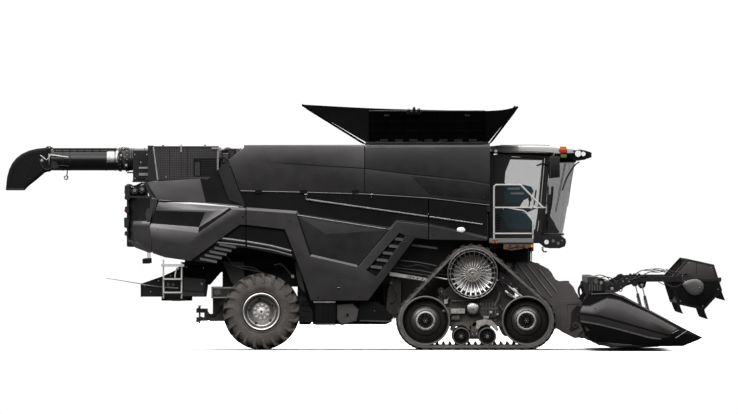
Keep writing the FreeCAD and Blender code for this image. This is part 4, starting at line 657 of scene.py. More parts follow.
for side, s in (("right", -1), ("left", 1)):
    b = relief(Bag(), REAR_P, REAR_F, s, 1.635, 1.592, 1)
    # louvre slats in the rear panel's lower pocket
    for i in range(5):
        t = i / 4.0
        x0, z0 = -3.1634 + t * 0.3724, 1.7797 + t * 0.2862
        x1, z1 = x0 + 0.3332, z0 - 0.0627
        b.obox(((x0 + x1) / 2, s * 1.617, (z0 + z1) / 2), ((x1 - x0) / 2, 0, (z1 - z0) / 2), (0, 0.013, -0.010), (0.002, 0.008, 0.023), 4)
    # rolled strips below the band; the upper one is in the lighter highlight paint, a painted highlight
    b.tube([(-2.742, s * 1.598, 2.1834), (-2.2775, s * 1.598, 2.1207)], 0.036, 14, 2)
    b.tube([(-2.8596, s * 1.592, 2.1011), (-2.5166, s * 1.592, 2.0698), (-2.2775, s * 1.592, 2.0384)], 0.036, 14, 0)
    # recessed catch and two bolts
    b.cyl((-2.3206, s * 1.648, 2.6068), (-2.3206, s * 1.653, 2.6068), 0.022, 20, 1)
    b.cyl((-4.0258, s * 1.633, 1.96), (-4.0258, s * 1.642, 1.96), 0.012, 12, 1)
    b.cyl((-3.9866, s * 1.64, 2.3618), (-3.9866, s * 1.648, 2.3618), 0.012, 12, 1)
    b.cyl((-2.2657, s * 1.655, 2.646), (-2.2657, s * 1.655, 2.7048), 0.008, 12, 1).cyl((-2.2657, s * 1.655, 2.5088), (-2.2657, s * 1.655, 2.5676), 0.008, 12, 1)
    b.obj("rear_panel_skin_" + side, ["paint", "matte_black_and_shade", "grey_and_highlight_paint", "grey_and_highlight_paint", "slat"], "rear_door_" + side, slot="body_paint", bevel=0.006, seg=2, replaces="rear_panel_" + side)

    b = relief(Bag(), DOOR_P, DOOR_F, s, 1.635, 1.592, 1)
    for i in range(5):
        t = i / 4.0
        x0, z0 = 0.1804 + t * 0.4782, 1.6268 + t * 0.541
        x1, z1 = x0 + 0.2254, z0 - 0.0274
        b.obox(((x0 + x1) / 2, s * 1.622, (z0 + z1) / 2), ((x1 - x0) / 2, 0, (z1 - z0) / 2), (0, 0.017, -0.012), (0.002, 0.010, 0.030), 4)
    # rolled strips below the band; the upper one is in the lighter highlight paint, a painted highlight
    b.tube([(-2.2461, s * 1.598, 2.1168), (-1.7914, s * 1.598, 2.0384), (-1.3759, s * 1.598, 1.9326)], 0.036, 14, 2)
    b.tube([(-2.2461, s * 1.592, 2.0345), (-1.7522, s * 1.592, 1.9522), (-1.3602, s * 1.592, 1.8463)], 0.036, 14, 0)
    # silver strip over the name area, bright moulding across the dark band
    x0, z0, x1, z1 = -1.2504, 2.6421, 0.4822, 2.3716
    b.hull2([(x0, s * 1.606, z0 + 0.014), (x0, s * 1.633, z0 + 0.007), (x0, s * 1.633, z0 - 0.008), (x0, s * 1.606, z0 - 0.014)],
            [(x1, s * 1.606, z1 + 0.014), (x1, s * 1.634, z1 + 0.008), (x1, s * 1.634, z1 - 0.008), (x1, s * 1.606, z1 - 0.014)], 3)
    x0, z0, x1, z1 = -1.0858, 2.9518, 1.3015, 2.6146
    b.hull2([(x0, s * 1.603, z0 + 0.024), (x0, s * 1.636, z0 + 0.015), (x0, s * 1.636, z0 - 0.010), (x0, s * 1.603, z0 - 0.020)],
            [(x1, s * 1.603, z1 + 0.022), (x1, s * 1.636, z1 + 0.014), (x1, s * 1.636, z1 - 0.009), (x1, s * 1.603, z1 - 0.018)], 3)
    # hinges, catches, a grip
    for hx in (-1.0858, 0.198):
        b.box(hx - 0.022, hx + 0.022, s * 1.600, s * 1.626, 2.9674, 3.0654, 1)
        b.cyl((hx - 0.03, s * 1.624, 3.0498), (hx + 0.03, s * 1.624, 3.0498), 0.012, 12, 3)
        b.bolt((hx, s * 1.624, 2.9988), (0, s, 0), 0.009, 0.006, 3)
    for x0, x1 in ((-2.0854, -1.9482), (-1.2034, -1.0662), (-0.1842, -0.047)):
        b.cyl((x0, s * 1.630, 3.1282), (x1, s * 1.630, 3.1282), 0.007, 12, 1)
        b.box(x0, x1, s * 1.600, s * 1.6325, 3.0694, 3.1262, 1)
    b.cyl((-0.4488, s * 1.648, 1.223), (-0.4488, s * 1.658, 1.223), 0.030, 24, 1)
    b.box(-0.4782, -0.4194, s * 1.652, s * 1.662, 1.2152, 1.2309, 3)
    for x, z in ((-0.8506, 1.0388), (-0.0274, 1.0388), (-1.1446, 2.3128), (-1.3994, 2.5284), (-2.1442, 2.5284), (1.227, 2.3324), (0.8154, 2.3912)):
        b.cyl((x, s * 1.63, z), (x, s * 1.6525, z), 0.010, 12, 1)
    b.obj("service_door_skin_" + side, ["paint", "matte_black_and_shade", "grey_and_highlight_paint", "dull_silver_and_highlight", "slat", "doordark"], "side_door_" + side, slot="body_paint", bevel=0.006, seg=2, replaces="service_door_" + side)

fb = Bag()
for s in (-1, 1):
    relief(fb, FRONT_P, FRONT_F, s, 1.635, 1.592, 1)
    x0, z0, x1, z1 = 1.3328, 2.6107, 2.3756, 2.4618
    fb.hull2([(x0, s * 1.603, z0 + 0.022), (x0, s * 1.636, z0 + 0.014), (x0, s * 1.636, z0 - 0.009), (x0, s * 1.603, z0 - 0.018)],
             [(x1, s * 1.603, z1 + 0.016), (x1, s * 1.632, z1 + 0.010), (x1, s * 1.632, z1 - 0.007), (x1, s * 1.603, z1 - 0.013)], 2)
    # small round marker lamp
    fb.sphere((1.9522, s * 1.634, 2.3559), 0.085, 3, 20, 10, (1.0, 0.22, 0.62))
    fb.lathe([(0.098, s * 1.604), (0.098, s * 1.628), (0.088, s * 1.634), (0.080, s * 1.628), (0.080, s * 1.604)], 1.9522, 2.3559, 32, 1)
    for x, z in ((1.423, 2.2442), (2.3246, 2.1874), (1.4034, 2.8812), (2.3638, 2.7636)):
        fb.cyl((x, s * 1.600, z), (x, s * (1.612 if z > 2.6 else 1.6505), z), 0.010, 12, 1)
fb.obj("front_panel_skins", ["paint", "matte_black_and_shade", "alu", "lamp"], "chassis", slot="body_paint", bevel=0.006, seg=2, replaces="front_panels")

tb = Bag()
relief(tb, TANK_A, TANK_AF, -1, 1.622, 1.568, 0)
relief(tb, TANK_B, TANK_BF, -1, 1.622, 1.568, 0)
# rolled lower edge and top rail of the tank side, in the lighter highlight paint as a painted highlight, as are the
# bolts below
tb.tube([(-2.3696, -1.612, 3.1184), (-1.2034, -1.613, 3.0929), (0.0706, -1.613, 3.0556), (1.3446, -1.613, 2.9753), (2.5128, -1.613, 2.8381)], 0.011, 8, 1)
tb.tube([(0.0902, -1.600, 4.0004), (2.5128, -1.600, 4.0043)], 0.014, 8, 1)
for x, z in ((-2.1442, 3.9004), (-1.2034, 3.9004), (-0.0666, 3.9004), (0.2078, 3.9004), (1.3446, 3.9004), (2.403, 3.9004), (-2.1834, 3.2536), (-1.2034, 3.2222), (-0.0666, 3.183), (0.2078, 3.1752), (1.3446, 3.1164), (2.403, 2.9988)):
    y = -1.578 if z > 3.8 else -1.616
    tb.cyl((x, y, z), (x, y - 0.012, z), 0.009, 10, 1)
tl = tb
LEFT_T = {"a": ((-2.5088, 3.4888), -34), "b": ((-2.2422, 3.4888), -34), "b2": ((0.0569, 3.4888), -34), "h": ((-2.3892, 3.136), -20), "g": ((0.0569, 3.0733), -16),
          "a1": ((-2.4578, 3.4496), 0), "b1": ((0.0569, 3.4496), 0), "h1": ((-2.3402, 3.183), 0), "g1": ((0.0569, 3.1203), 0)}
LEFT_TF = [("a b b2 b1 a1", 0), ("a a1 h1 h", 0), ("h h1 g1 g", 0), ("a1 b1 g1 h1", 0)]
LEFT_U = {"a": ((0.0726, 3.4888), -34), "b": ((1.9522, 3.4888), -34), "c": ((1.9522, 2.9204), -16), "f": ((1.3446, 2.991), -16), "g": ((0.0726, 3.0713), -16),
          "a1": ((0.0726, 3.4496), 0), "b1": ((1.9522, 3.4496), 0), "c1": ((1.9522, 2.9753), 0), "f1": ((1.3446, 3.0419), 0), "g1": ((0.0726, 3.1184), 0)}
LEFT_UF = [("a b b1 a1", 0), ("a1 b1 c1 f1 g1", 0), ("g g1 f1 f", 0), ("f f1 c1 c", 0)]
relief(tl, LEFT_T, LEFT_TF, 1, 1.622, 1.568, 0)
relief(tl, LEFT_U, LEFT_UF, 1, 1.622, 1.568, 0)
tl.tube([(-2.3696, 1.612, 3.1184), (-1.2034, 1.613, 3.0929), (0.0706, 1.613, 3.0556), (1.3446, 1.613, 2.9753), (2.5128, 1.613, 2.8381)], 0.011, 8, 1)
tl.prism([(2.4089, 3.4888), (2.5206, 3.4888), (2.5206, 2.8498), (2.4089, 2.8694)], 1.568, 1.620, 0)
tl.prism([(1.964, 2.8969), (2.4089, 2.8969), (2.4089, 2.8734), (2.3834, 2.8812), (1.964, 2.9126)], 1.568, 1.600, 0)
tl.obj("tank_side_skins", ["paint", "grey_and_highlight_paint", "tank_shade_paint"], "chassis", slot="body_paint", bevel=0.010, seg=3, replaces="tank_panels")

hb = Bag()
relief(hb, HOOD_P, HOOD_F, -1, 1.612, 1.566, 0)
HOOD_L = dict(HOOD_P)
HOOD_L["p"], HOOD_L["e"] = ((-2.889, 3.4614), -40), ((-2.8106, 3.4653), -42)
relief(hb, HOOD_L, HOOD_F, 1, 1.612, 1.566, 0)
for y0, y1, q in ((-1.613, -1.567, [(-2.8184, 3.5358), (-2.6185, 3.7044), (-2.399, 3.1282), (-2.2736, 2.8224), (-2.2736, 2.8146), (-2.595, 2.94)]), (1.567, 1.613, [(-2.842, 3.477), (-2.5362, 3.477), (-2.399, 3.1282), (-2.2736, 2.8224), (-2.2736, 2.8146), (-2.595, 2.94)])):
    hb.prism(q, y0, y1, 3)
hb.box(-4.0062, -2.303, -1.566, 1.566, 2.893, 2.94, 1)
hb.box(-4.1591, -2.8302, -1.566, 1.566, 3.2732, 3.3085, 0)
hb.prism([(-4.163, 3.2771), (-4.1238, 3.2771), (-3.9278, 2.9322), (-3.9866, 2.9126)], -1.566, 1.566, 0)
# a tube in the lighter highlight paint above the rear panel, a painted highlight, and near-black strips on the hood's
# rear slope as painted shadow gaps
hb.tube([(-3.967, -1.604, 2.9361), (-3.0458, -1.606, 2.8851), (-2.3206, -1.600, 2.8106)], 0.010, 8, 2)
for i in range(7):
    zz = 2.9792 + i * 0.042
    xx = -3.9827 - (zz - 2.9792) * 0.42
    hb.obox((xx + 0.02, 0.0, zz), (0.018, 0, 0), (0, 1.35, 0), (0, 0, 0.006), 1)
hb.obj("engine_hood_skin", ["paint", "matte_black_and_shade", "grey_and_highlight_paint", "shoulder"], "chassis", slot="body_paint", bevel=0.010, seg=3, replaces="engine_hood")


# ------------------------------------------------------------------ rear wheels
WX, WZ = -1.9619, 0.75


def rear_wheel(side, s):
    def yy(d):
        return s * (1.32 + d)
    b = Bag()
    prof = [(0.362, 0.205), (0.378, 0.246), (0.408, 0.276), (0.47, 0.293), (0.54, 0.294), (0.60, 0.287), (0.645, 0.268), (0.676, 0.238), (0.692, 0.19),
            (0.700, 0.12), (0.703, 0.0)]
    prof = prof + [(r, -d) for r, d in reversed(prof[:-1])]
    b.lathe([(r, yy(d)) for r, d in prof], WX, WZ, 96, 0)
    # rib round the bead
    b.lathe([(0.384, yy(0.258)), (0.392, yy(0.284)), (0.408, yy(0.290)), (0.416, yy(0.270))], WX, WZ, 96, 0)
    n = 21
    path = [(0.560, 0.302, 0.552, 0.280, 0.000), (0.612, 0.302, 0.596, 0.274, 0.004), (0.668, 0.298, 0.640, 0.258, 0.012), (0.712, 0.284, 0.668, 0.238, 0.026),
            (0.738, 0.252, 0.684, 0.210, 0.050), (0.749, 0.190, 0.690, 0.180, 0.088), (0.750, 0.100, 0.692, 0.100, 0.130), (0.750, 0.014, 0.694, 0.014, 0.176)]
    wid = [0.050, 0.052, 0.054, 0.056, 0.060, 0.066, 0.070, 0.060]
    for k in range(2 * n):
        side_sign = 1 if k % 2 == 0 else -1
        a0 = math.pi * k / n
        rows = []
        for (ro, yo, ri, yi, da), w in zip(path, wid):
            a = a0 + da
            ring = []
            for r, y, ww in ((ri, yi, w * 1.18), (ro, yo, w * 0.86)):
                for q in (-1, 1):
                    aa = a + q * ww * 0.5 / r
                    ring.append((WX + r * math.cos(aa), yy(side_sign * y), WZ + r * math.sin(aa)))
            rows.append([ring[0], ring[1], ring[3], ring[2]])
        v = [p for row in rows for p in row]
        f = [(0, 1, 2, 3), tuple(len(v) - 4 + i for i in (3, 2, 1, 0))]
        for j in range(len(rows) - 1):
            for i in range(4):
                f.append((j * 4 + i, j * 4 + (i + 1) % 4, (j + 1) * 4 + (i + 1) % 4, (j + 1) * 4 + i))
        b.add(v, f, 0)
    b.obj("tyre_lugged_" + side, "tyre", "rear_wheel_" + side, slot="tyre_rubber", bevel=0.006, seg=2, angle=40, replaces="tyre_" + side)

    r = Bag()
    r.lathe([(q, yy(d)) for q, d in [(0.3665, 0.262), (0.3665, 0.276), (0.352, 0.284), (0.336, 0.278), (0.328, 0.236), (0.322, 0.160), (0.306, 0.100), (0.296, 0.030), (0.296, -0.100),
                                     (0.322, -0.160), (0.330, -0.240), (0.340, -0.278), (0.3665, -0.275), (0.3665, -0.262), (0.352, -0.25), (0.344, -0.15), (0.330, -0.11),
                                     (0.330, 0.11), (0.344, 0.15), (0.352, 0.25)]], WX, WZ, 96, 0,
            mats=[0, 0, 0, 0, 0, 3, 3, 1, 1, 1, 0, 0, 0, 0, 0, 0, 0, 0, 0, 0])
    # dished disc with a raised bolting ring
    r.lathe([(q, yy(d)) for q, d in [(0.300, 0.044), (0.286, 0.060), (0.262, 0.050), (0.232, 0.058), (0.196, 0.094), (0.176, 0.112), (0.092, 0.112), (0.092, 0.086),
                                     (0.170, 0.086), (0.190, 0.070), (0.226, 0.036), (0.262, 0.028), (0.300, 0.026)]], WX, WZ, 80, 3)
    r.lathe([(q, yy(d)) for q, d in [(0.0, 0.190), (0.050, 0.190), (0.066, 0.182), (0.072, 0.168), (0.074, 0.128), (0.094, 0.126), (0.100, 0.118), (0.100, 0.084), (0.0, 0.084)]], WX, WZ, 48, 2)
    r.lathe([(q, yy(d)) for q, d in [(0.0, 0.1925), (0.020, 0.1925), (0.026, 0.188), (0.026, 0.185), (0.0, 0.185)]], WX, WZ, 24, 1)
    # inner hub bowl
    r.lathe([(q, yy(d)) for q, d in [(0.0, 0.09), (0.13, 0.09), (0.15, -0.02), (0.11, -0.16), (0.0, -0.16)]], WX, WZ, 48, 1)
    for k in range(10):
        a = math.radians(36 * k + 10)
        x, z = WX + 0.132 * math.cos(a), WZ + 0.132 * math.sin(a)
        r.cyl((x, yy(0.108), z), (x, yy(0.150), z), 0.013, 12, 2)
        r.cyl((x, yy(0.110), z), (x, yy(0.134), z), 0.023, 6, 2)
        r.cyl((x, yy(0.108), z), (x, yy(0.117), z), 0.029, 16, 2)
    for k in range(5):
        a = math.radians(72 * k + 28)
        x, z = WX + 0.238 * math.cos(a), WZ + 0.238 * math.sin(a)
        r.cyl((x, yy(0.040), z), (x, yy(0.066), z), 0.030, 24, 1)
        r.cyl((x, yy(0.052), z), (x, yy(0.070), z), 0.020, 20, 1)
    r.tube([(WX + 0.305, yy(0.20), WZ + 0.02), (WX + 0.300, yy(0.235), WZ + 0.02), (WX + 0.290, yy(0.262), WZ + 0.018)], 0.006, 8, 2)
    r.obj("rim_dished_" + side, ["silver", "frame", "hubsilver", "dull_silver_and_highlight"], "rear_wheel_" + side, slot="silver_paint", bevel=0.002, seg=2, replaces="rim_" + side)


rear_wheel("right", -1)
rear_wheel("left", 1)


# ------------------------------------------------------------------ tracks
DRX, DRZ = 2.1796, 1.4955
IDX = (1.2564, 3.236)
ROX = (1.9561, 2.4696)
CIRC = [(IDX[0], 0.574, 0.574), (DRX, DRZ, 0.588), (IDX[1], 0.574, 0.574)]


def belt_samples(step):
    """Points and outward normals along the outside of the belt, evenly spaced."""
    dense = []
    N = 1440
    for i in range(N):
        a = 2 * math.pi * i / N
        nx, nz = math.cos(a), math.sin(a)
        best = max(CIRC, key=lambda c: c[0] * nx + c[1] * nz + c[2])
        dense.append((best[0] + best[2] * nx, best[1] + best[2] * nz, nx, nz))
    cum = [0.0]
    for i in range(N):
        a, b = dense[i], dense[(i + 1) % N]
        cum.append(cum[-1] + math.hypot(b[0] - a[0], b[1] - a[1]))
    total = cum[-1]
    n = max(3, round(total / step))
    out = []
    j = 0
    for k in range(n):
        s = total * k / n
        while cum[j + 1] < s:
            j += 1
        t = (s - cum[j]) / max(1e-9, cum[j + 1] - cum[j])
        a, b = dense[j], dense[(j + 1) % N]
        x, z = a[0] + (b[0] - a[0]) * t, a[1] + (b[1] - a[1]) * t
        nx, nz = a[2] + (b[2] - a[2]) * t, a[3] + (b[3] - a[3]) * t
        m = math.hypot(nx, nz)
        out.append((x, z, nx / m, nz / m))
    return out, total


def track_belt(bag, s):
    pts, total = belt_samples(0.045)
    sec = [(-0.038, 0.992), (-0.032, 1.000), (-0.032, 1.640), (-0.038, 1.648), (-0.082, 1.648), (-0.089, 1.640), (-0.089, 1.404), (-0.074, 1.398), (-0.074, 1.242), (-0.089, 1.236), (-0.089, 1.000), (-0.082, 0.992)]
    k = len(sec)
    v = []
    for x, z, nx, nz in pts:
        v += [(x + nx * d, s * y, z + nz * d) for d, y in sec]
    n = len(pts)
    f = [(i * k + q, i * k + (q + 1) % k, ((i + 1) % n) * k + (q + 1) % k, ((i + 1) % n) * k + q) for i in range(n) for q in range(k)]
    bag.add(v, f, 0)
    # outer bars: two staggered rows of slanted blocks
    bars, _ = belt_samples(total / 92.0)
    for i, (x, z, nx, nz) in enumerate(bars):
        tx, tz = nz, -nx
        row = i % 2
        y0, y1 = ((1.650, 1.285) if row == 0 else (0.990, 1.355))
        v = []
        for y, sh in ((y0, 0.0), ((y0 + y1) / 2, 0.030), (y1, 0.062)):
            for d, w in ((-0.040, 0.044), (0.0, 0.030)):
                for q in (-1, 1):
                    c = sh * 1.0 + q * w
                    v.append((x + nx * d + tx * c, s * y, z + nz * d + tz * c))
        f = [(0, 1, 3, 2), (8, 10, 11, 9)]
        for j in (0, 4):
            f += [(j, j + 2, j + 6, j + 4), (j + 1, j + 5, j + 7, j + 3), (j + 2, j + 3, j + 7, j + 6), (j, j + 4, j + 5, j + 1)]
        bag.add(v, f, 1)
    # guide and drive teeth inside
    teeth, _ = belt_samples(total / 66.0)
    for x, z, nx, nz in teeth:
        tx, tz = nz, -nx
        lo, hi = [], []
        for y, q in ((1.272, -1), (1.272, 1), (1.368, 1), (1.368, -1)):
            lo.append((x - nx * 0.070 + tx * q * 0.036, s * y, z - nz * 0.070 + tz * q * 0.036))
            yy = 1.32 + (y - 1.32) * 0.72
            hi.append((x - nx * 0.150 + tx * q * 0.017, s * yy, z - nz * 0.150 + tz * q * 0.017))
        bag.hull2(lo, hi, 0)
    # ends of the tension rods along both edges
    ends, _ = belt_samples(total / 46.0)
    for i, (x, z, nx, nz) in enumerate(ends):
        for y in (1.6505, 0.9895):
            c = Vector((x - nx * 0.060, s * y, z - nz * 0.060))
            bag.cyl(c - Vector((0, s * 0.006, 0)), c + Vector((0, s * 0.002 * (1 if y > 1.3 else -1), 0)), 0.012, 8, 0)


both_sides(track_belt, "track_belts_lugged", ["belt", "tread"], "chassis", slot="track_rubber", bevel=0.004, seg=1, angle=40, replaces="track_belts")


def drive_wheel(b, s):
    Y = lambda d: s * d
    R = 0.4974
    # outer half: bright rim ring, drum, fluted dish
    b.lathe([(0.476, Y(1.628)), (0.484, Y(1.642)), (0.4964, Y(1.640)), (R, Y(1.632)), (R, Y(1.402)), (0.470, Y(1.400)), (0.462, Y(1.52)), (0.466, Y(1.606))], DRX, DRZ, 112, 0)
    b.lathe([(0.428, Y(1.586)), (0.436, Y(1.596)), (0.446, Y(1.590)), (0.446, Y(1.41)), (0.428, Y(1.41))], DRX, DRZ, 96, 2)
    b.lathe([(0.462, Y(1.500)), (0.466, Y(1.520)), (0.466, Y(1.40)), (0.10, Y(1.40)), (0.10, Y(1.425)), (0.40, Y(1.425))], DRX, DRZ, 96, 1)
    n = 26
    # fluted cone: radial pleats falling towards the hub
    rows = [(0.150, 1.504, 1.500), (0.200, 1.502, 1.490), (0.270, 1.512, 1.488), (0.340, 1.534, 1.500), (0.400, 1.566, 1.528), (0.436, 1.590, 1.552)]
    m = n * 4
    v = []
    for r, hi, lo in rows:
        for i in range(m):
            a = 2 * math.pi * i / m
            w = (0, 0, 1, 1)[i % 4]
            d = hi if w == 0 else lo
            v.append((DRX + r * math.cos(a), Y(d), DRZ + r * math.sin(a)))
    for r, d in ((0.436, 1.40), (0.150, 1.40)):
        for i in range(m):
            a = 2 * math.pi * i / m
            v.append((DRX + r * math.cos(a), Y(d), DRZ + r * math.sin(a)))
    f = []
    K = len(rows)
    for j in range(K - 1):
        for i in range(m):
            f.append((j * m + i, j * m + (i + 1) % m, (j + 1) * m + (i + 1) % m, (j + 1) * m + i))
    for i in range(m):
        j2 = (i + 1) % m
        f.append(((K - 1) * m + i, (K - 1) * m + j2, K * m + j2, K * m + i))
        f.append((K * m + i, K * m + j2, (K + 1) * m + j2, (K + 1) * m + i))
        f.append(((K + 1) * m + i, (K + 1) * m + j2, j2, i))
    b.add(v, f, 0)
    # webs across the dark openings behind the rim
    for k in range(n):
        a = 2 * math.pi * (k + 0.12) / n
        ca, sa = math.cos(a), math.sin(a)
        c = Vector((DRX + 0.452 * ca, Y(1.594), DRZ + 0.452 * sa))
        b.obox(c, (0.026 * ca, 0, 0.026 * sa), (0, 0.020, 0), (-0.0075 * sa, 0, 0.0075 * ca), 0)
    # near-black blocks round the outer dish stand in for the shaded openings: painted shade
    for k in range(26):
        a = 2 * math.pi * (k + 0.625) / 26
        rr = [(0.366, 1.5475, 0.0055), (0.392, 1.5612, 0.0235), (0.424, 1.5850, 0.0275), (0.4275, 1.5880, 0.0265)]
        lo, hi = [], []
        for r, d, hw in rr:
            for q in (-1, 1):
                aa = a + q * hw / r
                hi.append((DRX + r * math.cos(aa), Y(d + 0.004), DRZ + r * math.sin(aa)))
                lo.append((DRX + r * math.cos(aa), Y(d - 0.030), DRZ + r * math.sin(aa)))
        order = [0, 2, 4, 6, 7, 5, 3, 1]
        b.hull2([lo[i] for i in order], [hi[i] for i in order], 3)
    # hub: ring, bolts, centre
    b.lathe([(0.0, Y(1.532)), (0.020, Y(1.532)), (0.026, Y(1.526)), (0.030, Y(1.512)), (0.096, Y(1.512)), (0.104, Y(1.506)), (0.104, Y(1.488)), (0.150, Y(1.486)), (0.155, Y(1.478)), (0.155, Y(1.40)), (0.0, Y(1.40))], DRX, DRZ, 64, 2)
    b.lathe([(0.0, Y(1.5335)), (0.021, Y(1.5335)), (0.021, Y(1.530)), (0.0, Y(1.530))], DRX, DRZ, 24, 0)
    for k in range(12):
        a = 2 * math.pi * k / 12
        b.bolt((DRX + 0.126 * math.cos(a), Y(1.487), DRZ + 0.126 * math.sin(a)), (0, s, 0), 0.013, 0.012, 0)
        b.bolt((DRX + 0.066 * math.cos(a + 0.2), Y(1.512), DRZ + 0.066 * math.sin(a + 0.2)), (0, s, 0), 0.009, 0.008, 1)
    # inner half and the driving bars between
    b.lathe([(R, Y(1.240)), (R, Y(1.002)), (0.470, Y(1.000)), (0.440, Y(1.180)), (0.210, Y(1.196)), (0.200, Y(1.010)), (0.060, Y(1.008)), (0.060, Y(1.236))], DRX, DRZ, 96, 0)
    b.lathe([(0.430, Y(1.41)), (0.430, Y(1.23)), (0.395, Y(1.23)), (0.395, Y(1.41))], DRX, DRZ, 80, 1)
    for k in range(24):
        a = 2 * math.pi * k / 24
        b.cyl((DRX + 0.462 * math.cos(a), Y(1.230), DRZ + 0.462 * math.sin(a)), (DRX + 0.462 * math.cos(a), Y(1.412), DRZ + 0.462 * math.sin(a)), 0.019, 12, 0)


both_sides(drive_wheel, "drive_wheels_fluted", ["chrome", "cast", "steel", "matte_black_and_shade"], "chassis", slot="wheel_chrome", bevel=0.0022, seg=2, angle=28, replaces="drive_wheels")


def idlers(b, s):
    Y = lambda d: s * d
    for x in IDX:
        z = 0.574
        R = 0.4834
        # outer half: bright lip, dark well, two steps, silver ring, bolted centre
        b.lathe([(0.452, Y(1.630)), (0.458, Y(1.644)), (0.474, Y(1.646)), (R, Y(1.640)), (R, Y(1.402)), (0.440, Y(1.400)), (0.440, Y(1.600))], x, z, 112, 0)
        b.lathe([(0.441, Y(1.612)), (0.434, Y(1.598)), (0.428, Y(1.472)), (0.410, Y(1.450)), (0.396, Y(1.450)), (0.386, Y(1.458)), (0.312, Y(1.504)), (0.302, Y(1.498)), (0.292, Y(1.510)), (0.226, Y(1.552)), (0.210, Y(1.560)),
                 (0.200, Y(1.552)), (0.196, Y(1.40)), (0.441, Y(1.40))], x, z, 96, 0, mats=[1, 1, 1, 1, 5, 5, 1, 1, 5, 5, 5, 1, 1, 1])
        b.lathe([(0.196, Y(1.590)), (0.190, Y(1.606)), (0.160, Y(1.610)), (0.152, Y(1.602)), (0.148, Y(1.572)), (0.148, Y(1.42)), (0.200, Y(1.42)), (0.204, Y(1.560))], x, z, 80, 6)
        b.lathe([(0.0, Y(1.598)), (0.050, Y(1.598)), (0.060, Y(1.592)), (0.064, Y(1.580)), (0.130, Y(1.578)), (0.148, Y(1.574)), (0.148, Y(1.42)), (0.0, Y(1.42))], x, z, 64, 1)
        for k in range(12):
            a = 2 * math.pi * k / 12 + 0.1
            b.bolt((x + 0.128 * math.cos(a), Y(1.577), z + 0.128 * math.sin(a)), (0, s, 0), 0.012, 0.012, 3)
        for k in range(6):
            a = 2 * math.pi * k / 6
            b.bolt((x + 0.040 * math.cos(a), Y(1.598), z + 0.040 * math.sin(a)), (0, s, 0), 0.007, 0.006, 2)
        b.lathe([(0.0, Y(1.604)), (0.014, Y(1.604)), (0.014, Y(1.596)), (0.0, Y(1.596))], x, z, 16, 2)
        # inner half
        b.lathe([(R, Y(1.240)), (R, Y(1.000)), (0.455, Y(0.998)), (0.430, Y(1.050)), (0.300, Y(1.060)), (0.200, Y(1.040)), (0.120, Y(1.010)), (0.0, Y(1.010)), (0.0, Y(1.236))], x, z, 96, 0,
                mats=[0, 0, 0, 1, 1, 1, 3, 3, 1])
        b.lathe([(0.150, Y(1.405)), (0.150, Y(1.382)), (0.056, Y(1.380)), (0.056, Y(1.240)), (0.0, Y(1.240)), (0.0, Y(1.43)), (0.150, Y(1.43))], x, z, 40, 3)
    for x in ROX:
        z, R = 0.2666, 0.176
        b.lathe([(0.150, Y(1.622)), (0.156, Y(1.634)), (0.170, Y(1.632)), (R, Y(1.624)), (R, Y(1.402)), (0.150, Y(1.400))], x, z, 72, 4)
        b.lathe([(0.151, Y(1.604)), (0.140, Y(1.594)), (0.116, Y(1.590)), (0.088, Y(1.594)), (0.080, Y(1.606)), (0.070, Y(1.612)), (0.0, Y(1.612)), (0.0, Y(1.40)), (0.151, Y(1.40))], x, z, 56, 1)
        b.lathe([(0.0, Y(1.622)), (0.028, Y(1.622)), (0.034, Y(1.616)), (0.034, Y(1.606)), (0.0, Y(1.606))], x, z, 24, 0)
        for k in range(6):
            a = 2 * math.pi * k / 6 + 0.3
            b.bolt((x + 0.056 * math.cos(a), Y(1.612), z + 0.056 * math.sin(a)), (0, s, 0), 0.008, 0.006, 3)
        b.lathe([(R, Y(1.240)), (R, Y(1.010)), (0.150, Y(1.006)), (0.120, Y(1.03)), (0.0, Y(1.03)), (0.0, Y(1.24))], x, z, 64, 4)
        b.cyl((x, Y(1.236), z), (x, Y(1.405), z), 0.040, 24, 3)


both_sides(idlers, "track_idlers_rollers", ["idlerlip", "matte_black_and_shade", "dull_silver_and_highlight", "cast", "belt", "idlerpaint", "silver"], "chassis", slot="frame_paint", bevel=0.002, seg=2, angle=28, replaces="track_wheels")


